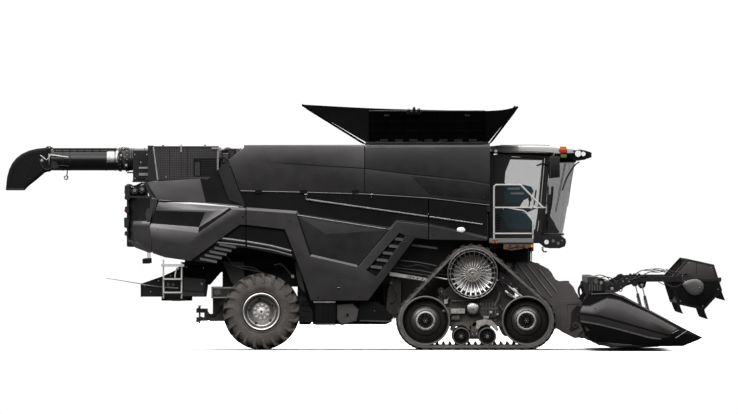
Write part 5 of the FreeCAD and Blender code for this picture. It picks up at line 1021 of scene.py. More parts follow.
def track_detail(b, s):
    """Frame fittings seen between the wheels, all outboard of the frame plate."""
    Y = lambda d: s * d
    # pivot cap and its collar
    x, z = 2.1854, 0.8173
    b.lathe([(0.0, Y(1.560)), (0.084, Y(1.560)), (0.098, Y(1.552)), (0.102, Y(1.530)), (0.112, Y(1.524)), (0.120, Y(1.500)), (0.120, Y(1.37)), (0.0, Y(1.37))], x, z, 48, 0)
    for k in range(8):
        a = 2 * math.pi * k / 8
        b.bolt((x + 0.110 * math.cos(a), Y(1.527), z + 0.110 * math.sin(a)), (0, s, 0), 0.008, 0.008, 2)
    b.lathe([(0.138, Y(1.47)), (0.150, Y(1.46)), (0.150, Y(1.37)), (0.138, Y(1.37))], x, z, 48, 1)
    # tension cylinder: bright tube and its housing
    b.box(1.7268, 2.0306, Y(1.400), Y(1.500), 0.7134, 0.8075, 0)
    b.box(1.668, 1.7562, Y(1.390), Y(1.520), 0.6762, 0.833, 2)
    b.cyl((1.6778, Y(1.45), 0.7605), (1.5994, Y(1.45), 0.7683), 0.032, 20, 0)
    b.box(1.7562, 1.9326, Y(1.390), Y(1.480), 0.5802, 0.6742, 1)
    b.box(1.7758, 1.913, Y(1.480), Y(1.487), 0.5919, 0.6625, 2)
    for xx in (1.7954, 1.8934):
        b.bolt((xx, Y(1.487), 0.6272), (0, s, 0), 0.009, 0.007, 0)
    # dark web plates and ribs behind
    b.prism([(1.6778, 0.49), (1.7366, 0.98), (1.913, 0.9212), (2.1286, 0.6272), (2.5598, 0.6272), (2.7558, 0.5488), (2.7166, 0.4606), (1.6778, 0.4606)], Y(1.380), Y(1.404), 1)
    b.prism([(1.6778, 0.4606), (1.6778, 0.5488), (2.7558, 0.5488), (2.7558, 0.4606)], Y(1.380), Y(1.500), 1)
    b.prism([(2.258, 0.5645), (2.4148, 0.5998), (2.552, 0.5802), (2.6539, 0.4782), (2.7009, 0.3842), (2.646, 0.3646), (2.548, 0.4626), (2.454, 0.5057), (2.3364, 0.4586), (2.2815, 0.3998), (2.2423, 0.4155)], Y(1.480), Y(1.530), 0)
    b.prism([(1.7444, 0.3724), (1.7719, 0.4704), (1.8699, 0.541), (2.011, 0.5449), (2.109, 0.4822), (2.1364, 0.392), (2.0972, 0.392), (2.0384, 0.4665), (1.9561, 0.49), (1.862, 0.4704), (1.7993, 0.3724)], Y(1.480), Y(1.520), 3)
    b.prism([(2.697, 0.4802), (2.7656, 0.4802), (2.8342, 0.392), (2.8734, 0.3097), (2.846, 0.2626), (2.7872, 0.2783), (2.7362, 0.3724)], Y(1.40), Y(1.46), 1)
    # swing link between the two rollers
    b.prism([(2.1404, 0.243), (2.1404, 0.4018), (2.1952, 0.539), (2.3285, 0.539), (2.2932, 0.4018), (2.2932, 0.243)], Y(1.404), Y(1.50), 2)
    b.box(2.1482, 2.2893, Y(1.500), Y(1.512), 0.2626, 0.3646, 1)
    for xx in (2.1796, 2.258):
        b.bolt((xx, Y(1.512), 0.3136), (0, s, 0), 0.010, 0.008, 0)
    # drive gearbox carcass with ribs, left and right of the cap
    b.prism([(2.3246, 0.98), (2.5598, 1.0074), (2.6696, 0.882), (2.7088, 0.7252), (2.6382, 0.635), (2.3638, 0.635), (2.3128, 0.7448)], Y(1.380), Y(1.470), 1)
    for i in range(5):
        xx = 2.3756 + i * 0.0608
        b.box(xx, xx + 0.020, Y(1.470), Y(1.492), 0.6546, 0.933, 2)
    b.box(2.3442, 2.6774, Y(1.470), Y(1.486), 0.7958, 0.8271, 2)
    b.box(2.3952, 2.4971, Y(1.486), Y(1.530), 0.6154, 0.6625, 0)
    b.cyl((2.5402, Y(1.486), 0.737), (2.5402, Y(1.526), 0.737), 0.026, 20, 0)
    b.cyl((2.6696, Y(1.40), 0.6978), (2.6696, Y(1.52), 0.6978), 0.020, 16, 0)
    b.cyl((2.6304, Y(1.40), 0.588), (2.6304, Y(1.50), 0.588), 0.026, 16, 2)
    b.cyl((2.3442, Y(1.40), 0.9016), (2.3442, Y(1.505), 0.9016), 0.030, 20, 2)
    # struts from the frame to the wheels
    b.tube([(1.717, Y(1.42), 1.029), (1.666, Y(1.44), 0.933), (1.6347, Y(1.44), 0.8546)], 0.024, 10, 3)
    b.box(1.619, 1.6935, Y(1.42), Y(1.49), 0.9055, 0.9878, 0)
    for k, (a, c, r, m) in enumerate((((1.5406, 1.1564), (1.6974, 0.9212), 0.020, 4), ((1.7758, 0.9604), (2.2462, 0.9918), 0.016, 2), ((2.2854, 0.9506), (2.403, 0.5488), 0.014, 4), ((2.7166, 1.1368), (2.6088, 0.8624), 0.030, 3),
                                      ((2.8146, 1.1564), (3.0302, 1.0114), 0.030, 0), ((2.893, 1.2426), (3.1478, 1.0545), 0.022, 0), ((2.8656, 1.0976), (2.9636, 1.0349), 0.034, 2), ((2.6382, 1.274), (2.7166, 0.98), 0.018, 4),
                                      ((2.7558, 1.2936), (2.8342, 1.0584), 0.016, 4), ((2.697, 0.882), (2.7754, 0.7762), 0.018, 2))):
        y = Y(1.430 + 0.012 * (k % 4))
        mid = ((a[0] + c[0]) / 2 + 0.012, y, (a[1] + c[1]) / 2 - 0.015)
        b.tube(curve([(a[0], y, a[1]), mid, (c[0], y, c[1])], 5), r, 10, m)
    # scraper and mud plates near the drive wheel
    b.prism([(1.4916, 1.1878), (1.568, 1.2348), (1.6582, 1.1564), (1.6817, 1.0584), (1.6033, 1.031), (1.521, 1.0976)], Y(1.395), Y(1.430), 1)
    b.prism([(2.6852, 1.3916), (2.7166, 1.5288), (2.8146, 1.4896), (2.9714, 1.3524), (3.1184, 1.2152), (3.089, 1.1564), (2.893, 1.2642), (2.7244, 1.2936)], Y(1.392), Y(1.428), 1)
    for x, z in ((1.57, 1.1446), (2.7754, 1.4112), (2.9322, 1.2936), (3.0498, 1.2074), (2.0502, 0.4704), (2.403, 0.5331), (1.866, 0.5096), (1.9248, 0.7879), (1.9875, 0.7879)):
        b.bolt((x, Y(1.430 if z > 0.9 else 1.50), z), (0, s, 0), 0.012, 0.010, 0)
    # bright rod lying across from the undercarriage
    b.tube([(1.3838, Y(1.405), 1.4426), (1.6876, Y(1.405), 1.3798)], 0.020, 10, 0)
    b.tube([(1.4622, Y(1.41), 1.5053), (1.668, Y(1.41), 1.472)], 0.013, 10, 3)


both_sides(track_detail, "track_frame_fittings", ["silver", "frame", "cast", "frame_grey", "hose"], "chassis", slot="frame_paint", bevel=0.003, seg=2)


# ------------------------------------------------------------------ cab
def roof_shell():
    """Rounded roof: stations along X, each a closed ring of equal count."""
    rows = []
    # x, half width at the eave, top z, eave z, underside z
    st = [(2.5265, 1.060, 4.0023, 3.8808, 3.8573), (2.7166, 1.078, 4.0121, 3.8769, 3.8494), (3.0106, 1.086, 4.018, 3.873, 3.8455),
          (3.3438, 1.088, 4.02, 3.8651, 3.8338), (3.6574, 1.086, 4.0141, 3.8573, 3.8063), (3.8926, 1.075, 4.0004, 3.8494, 3.7554),
          (4.0886, 1.035, 3.9788, 3.8573, 3.7201), (4.265, 0.955, 3.9514, 3.869, 3.7122), (4.4022, 0.820, 3.92, 3.869, 3.7397),
          (4.4884, 0.610, 3.8926, 3.8573, 3.7671), (4.5316, 0.330, 3.873, 3.8455, 3.7828)]
    for x, w, zt, ze, zu in st:
        ring = []
        h = zt - ze
        prof = [(0.0, 1.0), (0.55, 0.985), (0.78, 0.94), (0.870, 0.84), (0.930, 0.66), (0.972, 0.40), (1.0, 0.04)]
        for f, q in prof:
            ring.append((w * f, ze + h * q))
        d = ze - zu
        ring += [(w * 0.996, ze - 0.35 * d), (w * 0.962, zu + 0.18 * d), (w * 0.93, zu), (0.0, zu)]
        full = [(x, -y, z) for y, z in ring] + [(x, y, z) for y, z in reversed(ring[1:-1])]
        rows.append(full)
    k = len(rows[0])
    v = [p for r in rows for p in r]
    f = [tuple(range(k)), tuple((len(rows) - 1) * k + i for i in range(k - 1, -1, -1))]
    m = [0, 0]
    for j in range(len(rows) - 1):
        for i in range(k):
            f.append((j * k + i, j * k + (i + 1) % k, (j + 1) * k + (i + 1) % k, (j + 1) * k + i))
            # faces near the crown take the lighter roof paint as a painted reflection; the rest take the near-black
            m.append(1 if j >= 7 and not (i < 3 or i >= k - 3) else (0 if i < 6 or i >= k - 6 else 1))
    b = Bag()
    b.v, b.f, b.m = v, f, m
    return b


r = roof_shell()
# seam strip, front lamp row with lenses, side lamps, roof hatch, ribs
for s in (-1, 1):
    r.prism([(4.1552, 3.9122), (4.3434, 3.9161), (4.4924, 3.8808), (4.508, 3.7906), (4.3904, 3.7318), (4.1944, 3.7122), (4.1004, 3.771), (4.1004, 3.8534)], s * 0.60, s * 0.985, 1)
r.prism([(3.822, 3.8102), (4.1866, 3.7906), (4.363, 3.8102), (4.3748, 3.775), (4.1866, 3.7064), (3.826, 3.7122)], -0.80, 0.80, 1)
for s in (-1, 1):
    for x, z, rad in ((4.2532, 3.8494, 0.062), (4.3552, 3.8436, 0.045)):
        y = s * 0.985
        b0 = Vector((x, y, z))
        d = Vector((0.10, s * 0.99, 0.0)).normalized()
        r.cyl(b0 - d * 0.02, b0 + d * 0.030, rad * 1.18, 24, 1)
        r.cyl(b0 + d * 0.020, b0 + d * 0.036, rad, 24, 2)
    # small lamp over the door post, amber and green lenses
    r.cyl((2.6382, s * 1.060, 3.9004), (2.6382, s * 1.092, 3.9004), 0.030, 20, 2)
    r.box(3.8965, 4.0416, s * 0.98, s * 1.085, 3.7632, 3.8494, 1)
    r.box(3.9122, 4.0298, s * 1.080, s * 1.092, 3.775, 3.8377, 5)
    for y in (0.62, 0.40):
        r.obox((4.5002, s * y, 3.8102), (0.020, 0, 0), (0.0, 0.080, 0), (0, 0, 0.034), 1)
        r.obox((4.512, s * y, 3.8102), (0.014, 0, 0), (0.0, 0.066, 0), (0, 0, 0.025), 2)
    # beacon on a short post
    r.box(3.8848, 4.0376, s * 0.96, s * 1.060, 3.8534, 3.9357, 1)
    r.box(3.8965, 4.0259, s * 0.985, s * 1.078, 3.9298, 3.9906, 3)
    r.box(3.8965, 4.0259, s * 0.985, s * 1.082, 3.869, 3.9278, 4)
    r.tube([(2.5598, s * 1.075, 3.8965), (3.0106, s * 1.094, 3.9004), (3.5986, s * 1.094, 3.8828), (3.8142, s * 1.086, 3.8632)], 0.006, 6, 1)
r.prism([(2.8146, -0.46), (3.5202, -0.46), (3.5986, -0.40), (3.5986, 0.40), (3.5202, 0.46), (2.8146, 0.46), (2.7362, 0.40), (2.7362, -0.40)], 4.0062, 4.0239, 1, axis="z")
for y in (-0.66, 0.66):
    r.tube(curve([(2.6382, y, 3.9984), (3.0106, y, 4.0121), (3.3438, y, 4.016), (3.6966, y, 4.0102)], 4), 0.014, 8, 0)
r.obj("cab_roof_rounded", ["roofpaint", "matte_black_and_shade", "lamp", "orange", "red", "green"], "chassis", slot="cab_shell", bevel=0.006, seg=2, angle=40, replaces="cab_roof")

c = Bag()
for s in (-1, 1):
    Y = lambda d: s * d
    # mirror: housing with a rounded back, reflecting face, arm and guide bar
    if s:
        hx0, hx1 = 3.7064, 3.8142
        ring_a = [(hx0, Y(y), z) for y, z in ((1.345, 3.3712), (1.545, 3.3712), (1.560, 3.4006), (1.560, 3.7632), (1.545, 3.8102), (1.345, 3.8102), (1.330, 3.7632), (1.330, 3.4006))]
        ring_b = [(hx1 + 0.075, Y(1.445 + (abs(y) - 1.445) * 0.80), 3.5868 + (z - 3.5868) * 0.93) for _, y, z in [(0, abs(p[1]), p[2]) for p in ring_a]]
        c.hull2(ring_a, ring_b, 0)
        c.box(hx0 - 0.006, hx0 + 0.002, Y(1.350), Y(1.540), 3.3986, 3.6456, 1)
        c.box(hx0 - 0.006, hx0 + 0.002, Y(1.350), Y(1.540), 3.6652, 3.771, 1)
        c.tube(curve([(3.7593, Y(1.08), 3.8534), (3.7868, Y(1.20), 3.869), (3.7789, Y(1.36), 3.8377), (3.7554, Y(1.44), 3.775)], 5), 0.016, 10, 0)
        c.tube([(3.7476, Y(1.335), 3.5084), (3.7672, Y(1.16), 3.7828), (3.7632, Y(1.10), 3.8494)], 0.010, 8, 0)
    # wiper: arm, link and blade on the side window's front post
    c.tube(curve([(4.2846, Y(0.62), 3.6926), (4.1866, Y(0.80), 3.6064), (4.0416, Y(0.93), 3.3712), (3.9592, Y(0.985), 3.136)], 5), 0.009, 8, 0)
    c.tube([(4.018, Y(0.955), 3.6652), (3.924, Y(0.990), 3.2144), (3.822, Y(0.995), 2.7048)], 0.011, 8, 0, flat=0.5)
    # post trim: dark seal between the side window and the windshield
    c.tube([(3.6809, Y(0.992), 3.7083), (3.63, Y(0.998), 3.136), (3.5947, Y(0.994), 2.646), (3.532, Y(0.996), 2.2814)], 0.024, 10, 0, flat=0.7)
    # bent strap and grab handle
    c.tube(curve([(3.4614, Y(1.008), 3.6182), (3.5594, Y(1.030), 3.6534), (3.6652, Y(1.012), 3.6182)], 5), 0.015, 8, 4)
    c.tube(curve([(3.7593, Y(1.000), 3.1948), (3.7593, Y(1.036), 3.1556), (3.7319, Y(1.040), 2.8616), (3.7044, Y(1.036), 2.7244), (3.7005, Y(0.990), 2.6774)], 4), 0.014, 8, 4)
    # lamp cluster under the front corner
    pod = [(x, z) for x, z in [(3.579, 2.1834), (3.6574, 2.2266), (3.8142, 2.2344), (3.9514, 2.203), (4.018, 2.1325), (3.9984, 2.0306), (3.8926, 1.9914), (3.677, 1.9914), (3.5908, 2.0345)]]
    c.prism(pod, Y(0.88), Y(1.045), 0)
    c.cyl((3.6339, Y(1.040), 2.1129), (3.6339, Y(1.062), 2.1129), 0.056, 24, 0)
    c.cyl((3.6339, Y(1.056), 2.1129), (3.6339, Y(1.068), 2.1129), 0.045, 24, 2)
    for x, z, rad in ((3.7672, 2.1364, 0.042), (3.8652, 2.0854, 0.040), (3.9396, 2.1442, 0.026)):
        c.cyl((x, Y(1.038), z), (x, Y(1.058), z), rad, 20, 0)
        c.cyl((x, Y(1.054), z), (x, Y(1.062), z), rad * 0.74, 20, 5)
    c.tube(curve([(3.5712, Y(1.0), 2.0188), (3.5672, Y(1.02), 1.96), (3.6025, Y(1.02), 1.9169), (3.6456, Y(1.01), 1.9326)], 5), 0.009, 8, 0)
    # small round plates at the window corners
    for x, z in ((2.9616, 3.775), (2.8028, 2.9596), (2.9322, 2.352)):
        c.cyl((x, Y(0.998), z), (x, Y(1.006), z), 0.014, 12, 0)
# side body below the window: recess line, vent, step kick plate, seam
for s in (-1,):
    Y = lambda d: s * d
    c.prism([(2.6108, 2.842), (2.744, 2.8616), (2.744, 2.6186), (2.9048, 2.3128), (2.9048, 2.2736), (2.6108, 2.2736)], Y(0.985), Y(1.012), 0)
    for i in range(6):
        z = 2.3716 + i * 0.052
        c.box(2.6382, 2.7284 , Y(1.008), Y(1.020), z, z + 0.018, 4)
    c.prism([(2.6186, 3.7828), (2.7832, 3.8102), (2.6892, 3.4888), (2.6696, 2.94), (2.6186, 2.9204)], Y(0.985), Y(1.010), 0)
# front lower nose of the cab: curved apron under the windshield with a lamp bar
ap = []
for (x, z) in [(3.9122, 2.2501), (4.018, 2.1678), (3.9906, 2.0227), (3.8534, 2.007)]:
    ap.append((x, z))
c.prism(ap, -0.86, 0.86, 0)
for i in range(7):
    y = -0.66 + i * 0.22
    c.obox((4.0141, y, 2.105), (0.012, 0, 0), (0, 0.070, 0), (0, 0, 0.034), 2 if i in (0, 6) else 4)
# windshield frame: top and bottom rails following the curved pane
for z, xs, xf, rr in ((3.6966, 3.7084, 4.2101, 0.020), (2.2658, 3.5712, 3.971, 0.024)):
    pts = []
    for i in range(17):
        y = -0.975 + 1.95 * i / 16
        # circular arc through the posts and the front
        w, h = 0.975, xf - xs
        R = (w * w + h * h) / (2 * h)
        pts.append((xf - R + math.sqrt(R * R - y * y), y, z))
    c.tube(pts, rr, 8, 0)
c.tube([(4.1944, 0.10, 3.6652), (4.12, 0.05, 3.2144), (4.0651, 0.12, 2.8224)], 0.012, 8, 0, flat=0.5)
c.obj("cab_fittings", ["plastic", "chrome", "lamp", "white", "matte_black_and_shade", "lamp_dim"], "chassis", slot="cab_shell", bevel=0.003, seg=2, replaces="mirrors")

# seat: cushion, back, headrest, armrests on a base
st = Bag()


def cushion(bag, pts, y0, y1, mat, bulge=0.02):
    """Side outline spread across Y with softened sides."""
    cx = sum(p[0] for p in pts) / len(pts)
    cz = sum(p[1] for p in pts) / len(pts)
    ys = [y0, y0 + 0.03, (y0 + y1) / 2, y1 - 0.03, y1]
    fs = [0.80, 0.97, 1.0 + bulge, 0.97, 0.80]
    rings = [[(cx + (x - cx) * f, y, cz + (z - cz) * f) for x, z in pts] for y, f in zip(ys, fs)]
    k = len(pts)
    v = [p for r_ in rings for p in r_]
    f_ = [tuple(range(k)), tuple(4 * k + i for i in range(k - 1, -1, -1))]
    for j in range(4):
        for i in range(k):
            f_.append((j * k + i, j * k + (i + 1) % k, (j + 1) * k + (i + 1) % k, (j + 1) * k + i))
    bag.add(v, f_, mat)


cushion(st, [(2.842, 2.5206), (2.8264, 2.6186), (2.893, 2.6774), (3.1086, 2.6852), (3.2654, 2.6734), (3.3124, 2.6068), (3.2928, 2.5166), (3.0694, 2.4931)], -0.27, 0.27, 0)
cushion(st, [(2.7401, 3.1634), (2.7793, 3.2105), (2.8342, 3.1987), (2.8891, 3.0184), (2.9479, 2.7832), (2.9832, 2.6264), (2.94, 2.5558), (2.8616, 2.5676), (2.795, 2.8224)], -0.26, 0.26, 0)
cushion(st, [(2.7244, 3.2379), (2.748, 3.3202), (2.8107, 3.3242), (2.8342, 3.2497), (2.8068, 3.1948), (2.7519, 3.187)], -0.15, 0.15, 0)
cushion(st, [(3.0498, 3.1282), (3.1008, 3.183), (3.1752, 3.1674), (3.1988, 3.1007), (3.1674, 3.0066), (3.0968, 2.991), (3.0498, 3.0498)], -0.14, 0.02, 1)
st.box(2.8832, 3.2066, -0.17, 0.17, 2.4578, 2.5088, 2)
st.prism([(2.9126, 2.254), (2.9518, 2.4578), (3.1478, 2.4578), (3.1948, 2.254)], -0.19, 0.19, 2)
for i in range(5):
    z = 2.2736 + i * 0.036
    st.box(2.9048, 3.1988, -0.205, 0.205, z, z + 0.012, 2)
for s in (-1, 1):
    cushion(st, [(2.8616, 2.7126), (2.8734, 2.7754), (3.187, 2.7989), (3.3242, 2.7793), (3.336, 2.7244), (3.2262, 2.6891)], s * 0.285 if s > 0 else -0.395, 0.395 if s > 0 else -0.285, 1)
    st.prism([(2.8812, 2.254), (2.8812, 2.7048), (2.94, 2.7048), (2.94, 2.254)], s * 0.30, s * 0.345, 2)
st.cyl((3.2948, -0.335, 2.7832), (3.3124, -0.335, 2.9302), 0.012, 10, 2)
st.sphere((3.3164, -0.335, 2.9518), 0.034, 2, 14, 8, (1, 0.8, 1.3))
st.hull2([(3.383, -0.46, 2.842), (3.4104, -0.46, 2.842), (3.4496, -0.46, 3.136), (3.4222, -0.46, 3.136)], [(3.383, -0.24, 2.842), (3.4104, -0.24, 2.842), (3.4496, -0.24, 3.136), (3.4222, -0.24, 3.136)], 2)
# second seat beside the right window, seen through the glass
cushion(st, [(2.7323, 2.8067), (2.7205, 3.0184), (2.7244, 3.1752), (2.7676, 3.2222), (2.9518, 3.234), (3.187, 3.2379), (3.336, 3.2026), (3.383, 3.1164), (3.3242, 2.9988), (3.187, 2.94), (3.1086, 2.8067)], -0.925, -0.60, 0, 0.01)
cushion(st, [(2.7558, 2.7558), (3.0106, 2.744), (3.2262, 2.6656), (3.3634, 2.548), (3.3908, 2.4304), (3.3477, 2.3402), (3.0694, 2.3285), (2.8342, 2.3402), (2.7362, 2.5284)], -0.925, -0.60, 0, 0.01)
st.box(2.795, 3.0498, -0.90, -0.62, 2.7244, 2.8302, 2)
st.prism([(2.893, 2.352), (3.2654, 2.352), (3.2458, 2.254), (2.9126, 2.254)], -0.90, -0.62, 2)
# two pale strips on the second seat's back: painted highlights
st.prism([(2.8734, 3.183), (3.1086, 3.183), (3.1086, 3.1438), (2.8734, 3.1438)], -0.9335, -0.921, 3)
st.prism([(2.9322, 3.089), (3.187, 3.089), (3.187, 3.0498), (2.9322, 3.0498)], -0.9335, -0.921, 3)
st.obj("operator_seat_upholstered", ["seat", "seat", "plastic", "seat_highlight_strip"], "chassis", slot="seat_cloth", bevel=0.010, seg=3, angle=50, replaces="operator_seat")

sc = Bag()
sc.prism([(3.532, 2.254), (3.4692, 2.7636), (3.5045, 2.795), (3.5516, 2.7636), (3.626, 2.254)], -0.055, 0.055, 0)
sc.prism([(3.434, 2.2344), (3.7162, 2.2344), (3.6692, 2.3402), (3.4928, 2.3402)], -0.16, 0.16, 0)
sc.prism([(3.532, 2.256), (3.532, 2.3912), (3.6064, 2.6578), (3.6692, 2.6891), (3.8965, 2.3128), (3.8534, 2.256)], -0.054, 0.054, 0)
sc.hull2([(3.5908, -0.20, 2.6146), (3.6652, -0.20, 2.697), (3.6652, 0.20, 2.697), (3.5908, 0.20, 2.6146)],
         [(3.7358, -0.26, 2.4108), (3.8142, -0.26, 2.4696), (3.8142, 0.26, 2.4696), (3.7358, 0.26, 2.4108)], 0)
# wheel rim as a tilted ring
ctr, ax = Vector((3.4986, 0, 2.8106)), Vector((-0.38, 0, 0.92)).normalized()
u = Vector((0, 1, 0))
w = ax.cross(u)
sc.tube([ctr + (u * math.cos(2 * math.pi * i / 40) + w * math.sin(2 * math.pi * i / 40)) * 0.205 for i in range(41)], 0.014, 10, 0)
for q in (0.3, 2.4, 4.5):
    sc.tube([ctr, ctr + (u * math.cos(q) + w * math.sin(q)) * 0.2], 0.010, 8, 0)
sc.cyl(ctr - ax * 0.02, ctr + ax * 0.025, 0.045, 20, 0)
sc.box(3.6672, 3.7044, -0.98, -0.90, 2.3128, 3.0184, 0)
sc.obox((3.677, -0.80, 2.9596), (0.012, 0.03, 0), (0.02, -0.12, 0), (0.01, 0, 0.09), 0)
sc.box(2.6578, 3.5006, -0.93, 0.93, 2.2462, 2.2618, 1)
sc.box(2.6108, 2.6656, -0.90, 0.90, 2.3128, 3.724, 0)
for y in (-0.5, 0.1, 0.5):
    sc.box(2.6617, 2.6892, y - 0.16, y + 0.16, 2.5088, 3.0184, 1)
sc.obj("steering_console_wheel", ["plastic", "hose"], "chassis", slot="dark_plastic", bevel=0.004, seg=2, replaces="steering_console")

# walkway, its rail lamps and tread plates; the CAD rails and platforms stay
pl = Bag()
for s, x1 in ((-1, 3.3634), (1, 3.5986)):
    Y = lambda d: s * d
    n = 0
    x = 2.5206
    while x < x1 - 0.05:
        pl.box(x, x + 0.022, Y(1.02), Y(1.625), 2.1834, 2.1834 + 0.007, 0)
        x += 0.055
    pl.box(2.5088, x1 + 0.008, Y(1.6365), Y(1.6485), 2.105, 2.1874, 1)
    pl.box(2.5088, x1, Y(1.640), Y(1.652), 2.0854, 2.109, 2)
pl.box(2.5598, 2.6696, -1.652, -1.642, 2.0698, 2.1482, 2)
for x, m in ((2.5833, 3), (2.6225, 4), (2.6539, 3)):
    pl.cyl((x, -1.648, 2.1129), (x, -1.660, 2.1129), 0.016, 14, m)
pl.cyl((3.3438, -1.640, 2.0384), (3.3438, -1.662, 2.0384), 0.030, 18, 3)
pl.box(3.3124, 3.3752, -1.650, -1.600, 2.0031, 2.0894, 2)
# folded step under the walkway, and brackets that carry it
pl.tube([(3.2732, -1.56, 2.0972), (3.2732, -1.56, 1.7444), (3.336, -1.56, 1.7209), (3.336, -1.56, 2.0972)], 0.014, 8, 2)
pl.box(3.2732, 3.336, -1.60, -1.50, 1.913, 1.9286, 2)
pl.prism([(2.5206, 2.0933), (3.3242, 2.0933), (3.3046, 2.007), (3.1086, 1.9757), (2.8342, 1.96), (2.7754, 1.96), (2.7754, 2.058), (2.5206, 2.058)], -1.20, -1.16, 2)
pl.prism([(2.7832, 2.0933), (3.3242, 2.0933), (3.3046, 2.007), (3.1086, 1.9757), (2.9518, 1.9522), (2.7832, 1.9796)], -1.636, -1.600, 5)
for i in range(7):
    xx = 2.8342 + i * 0.066
    pl.box(xx, xx + 0.030, -1.644, -1.634, 1.9874, 2.0658, 2 if i % 2 else 5)
pl.tube(curve([(2.795, -1.62, 2.0384), (2.9126, -1.642, 1.9992), (3.0694, -1.642, 2.0306), (3.2654, -1.63, 1.9914)], 6), 0.012, 8, 2)
for x in (2.599, 3.3614):
    for z in (2.791, 2.2814):
        pl.sphere((x, -1.618, z), 0.021, 1, 12, 8)
pl.obj("walkway_trim", ["railgrey", "railgrey", "plastic", "orange", "red", "rustbrown"], "chassis", slot="bright_steel", bevel=0.003, seg=2)


# ------------------------------------------------------------------ tank covers, folded open
RIMZ = 4.0454
SIDEZ = RIMZ + 0.052
A_R, A_F, LEAN = math.radians(148.2), math.radians(52.6), math.radians(40.0)


def end_cover(name, node, body, hx, ang, length, kind):
    b = Bag()
    c, s = math.cos(ang), math.sin(ang)
    nx, nz = (-s, c) if c < 0 else (s, -c)      # outer side

    def at(d, h):
        return (hx + c * d + nx * h, RIMZ + s * d + nz * h)
    y0, y1 = -1.500, 1.000
    # sheet with a folded lip and a rolled outer edge
    prof = [at(0.020, 0.002), at(length - 0.012, 0.002), at(length, -0.010), at(length, 0.026), at(length - 0.03, 0.020), at(0.020, 0.014)]
    b.prism(prof, y0, y1, 0)
    for y in (y0, y1 - 0.024):
        b.prism([at(0.03, -0.006), at(length - 0.02, -0.006), at(length - 0.02, 0.024), at(0.03, 0.024)], y, y + 0.024, 0)
    # stiffening ribs on the outer side
    n = 6
    for i in range(n):
        y = y0 + 0.20 + (y1 - y0 - 0.40) * i / (n - 1)
        b.prism([at(0.06, 0.012), at(length - 0.08, 0.012), at(length - 0.11, 0.030), at(0.09, 0.030)], y - 0.022, y + 0.022, 0)
    for d in (0.36, 0.72, 1.08):
        if d < length - 0.1:
            b.prism([at(d - 0.024, 0.012), at(d + 0.024, 0.012), at(d + 0.014, 0.027), at(d - 0.014, 0.027)], y0 + 0.02, y1 - 0.02, 0)
    # hinge line: knuckles and their leaves
    for i in range(8):
        y = y0 + 0.22 + i * 0.285
        b.cyl((hx, y, RIMZ), (hx, y + 0.16, RIMZ), 0.0142, 16, 1)
        b.prism([at(0.0, 0.012), at(0.06, 0.016), at(0.06, 0.002), at(0.0, -0.006)], y, y + 0.16, 1)
    # edge seal along the free side, seen as a pale line
    b.tube([(*at(length - 0.004, -0.004)[:1], y0 + 0.01, at(length - 0.004, -0.004)[1]), (at(length - 0.004, -0.004)[0], y1 - 0.01, at(length - 0.004, -0.004)[1])], 0.013, 8, 2)
    if kind == "front":
        # small latch bracket at the tip
        for y in (-1.42, -0.25, 0.92):
            b.prism([at(length - 0.02, -0.004), at(length - 0.02, -0.05), at(length - 0.20, -0.05), at(length - 0.26, -0.004)], y - 0.008, y + 0.008, 1)
            b.prism([at(length - 0.02, -0.05), at(length - 0.20, -0.05), at(length - 0.20, -0.058), at(length - 0.02, -0.058)], y - 0.03, y + 0.03, 1)
    b.obj(name, ["coverblack", "cast", "hose"], body, slot="body_paint", bevel=0.0025, seg=2, replaces=node)


end_cover("cover_rear_ribbed", "cover_rear", "lid_rear", 0.0784, A_R, 1.456, "rear")
end_cover("cover_front_ribbed", "cover_front", "lid_front", 2.5088, A_F, 0.916, "front")


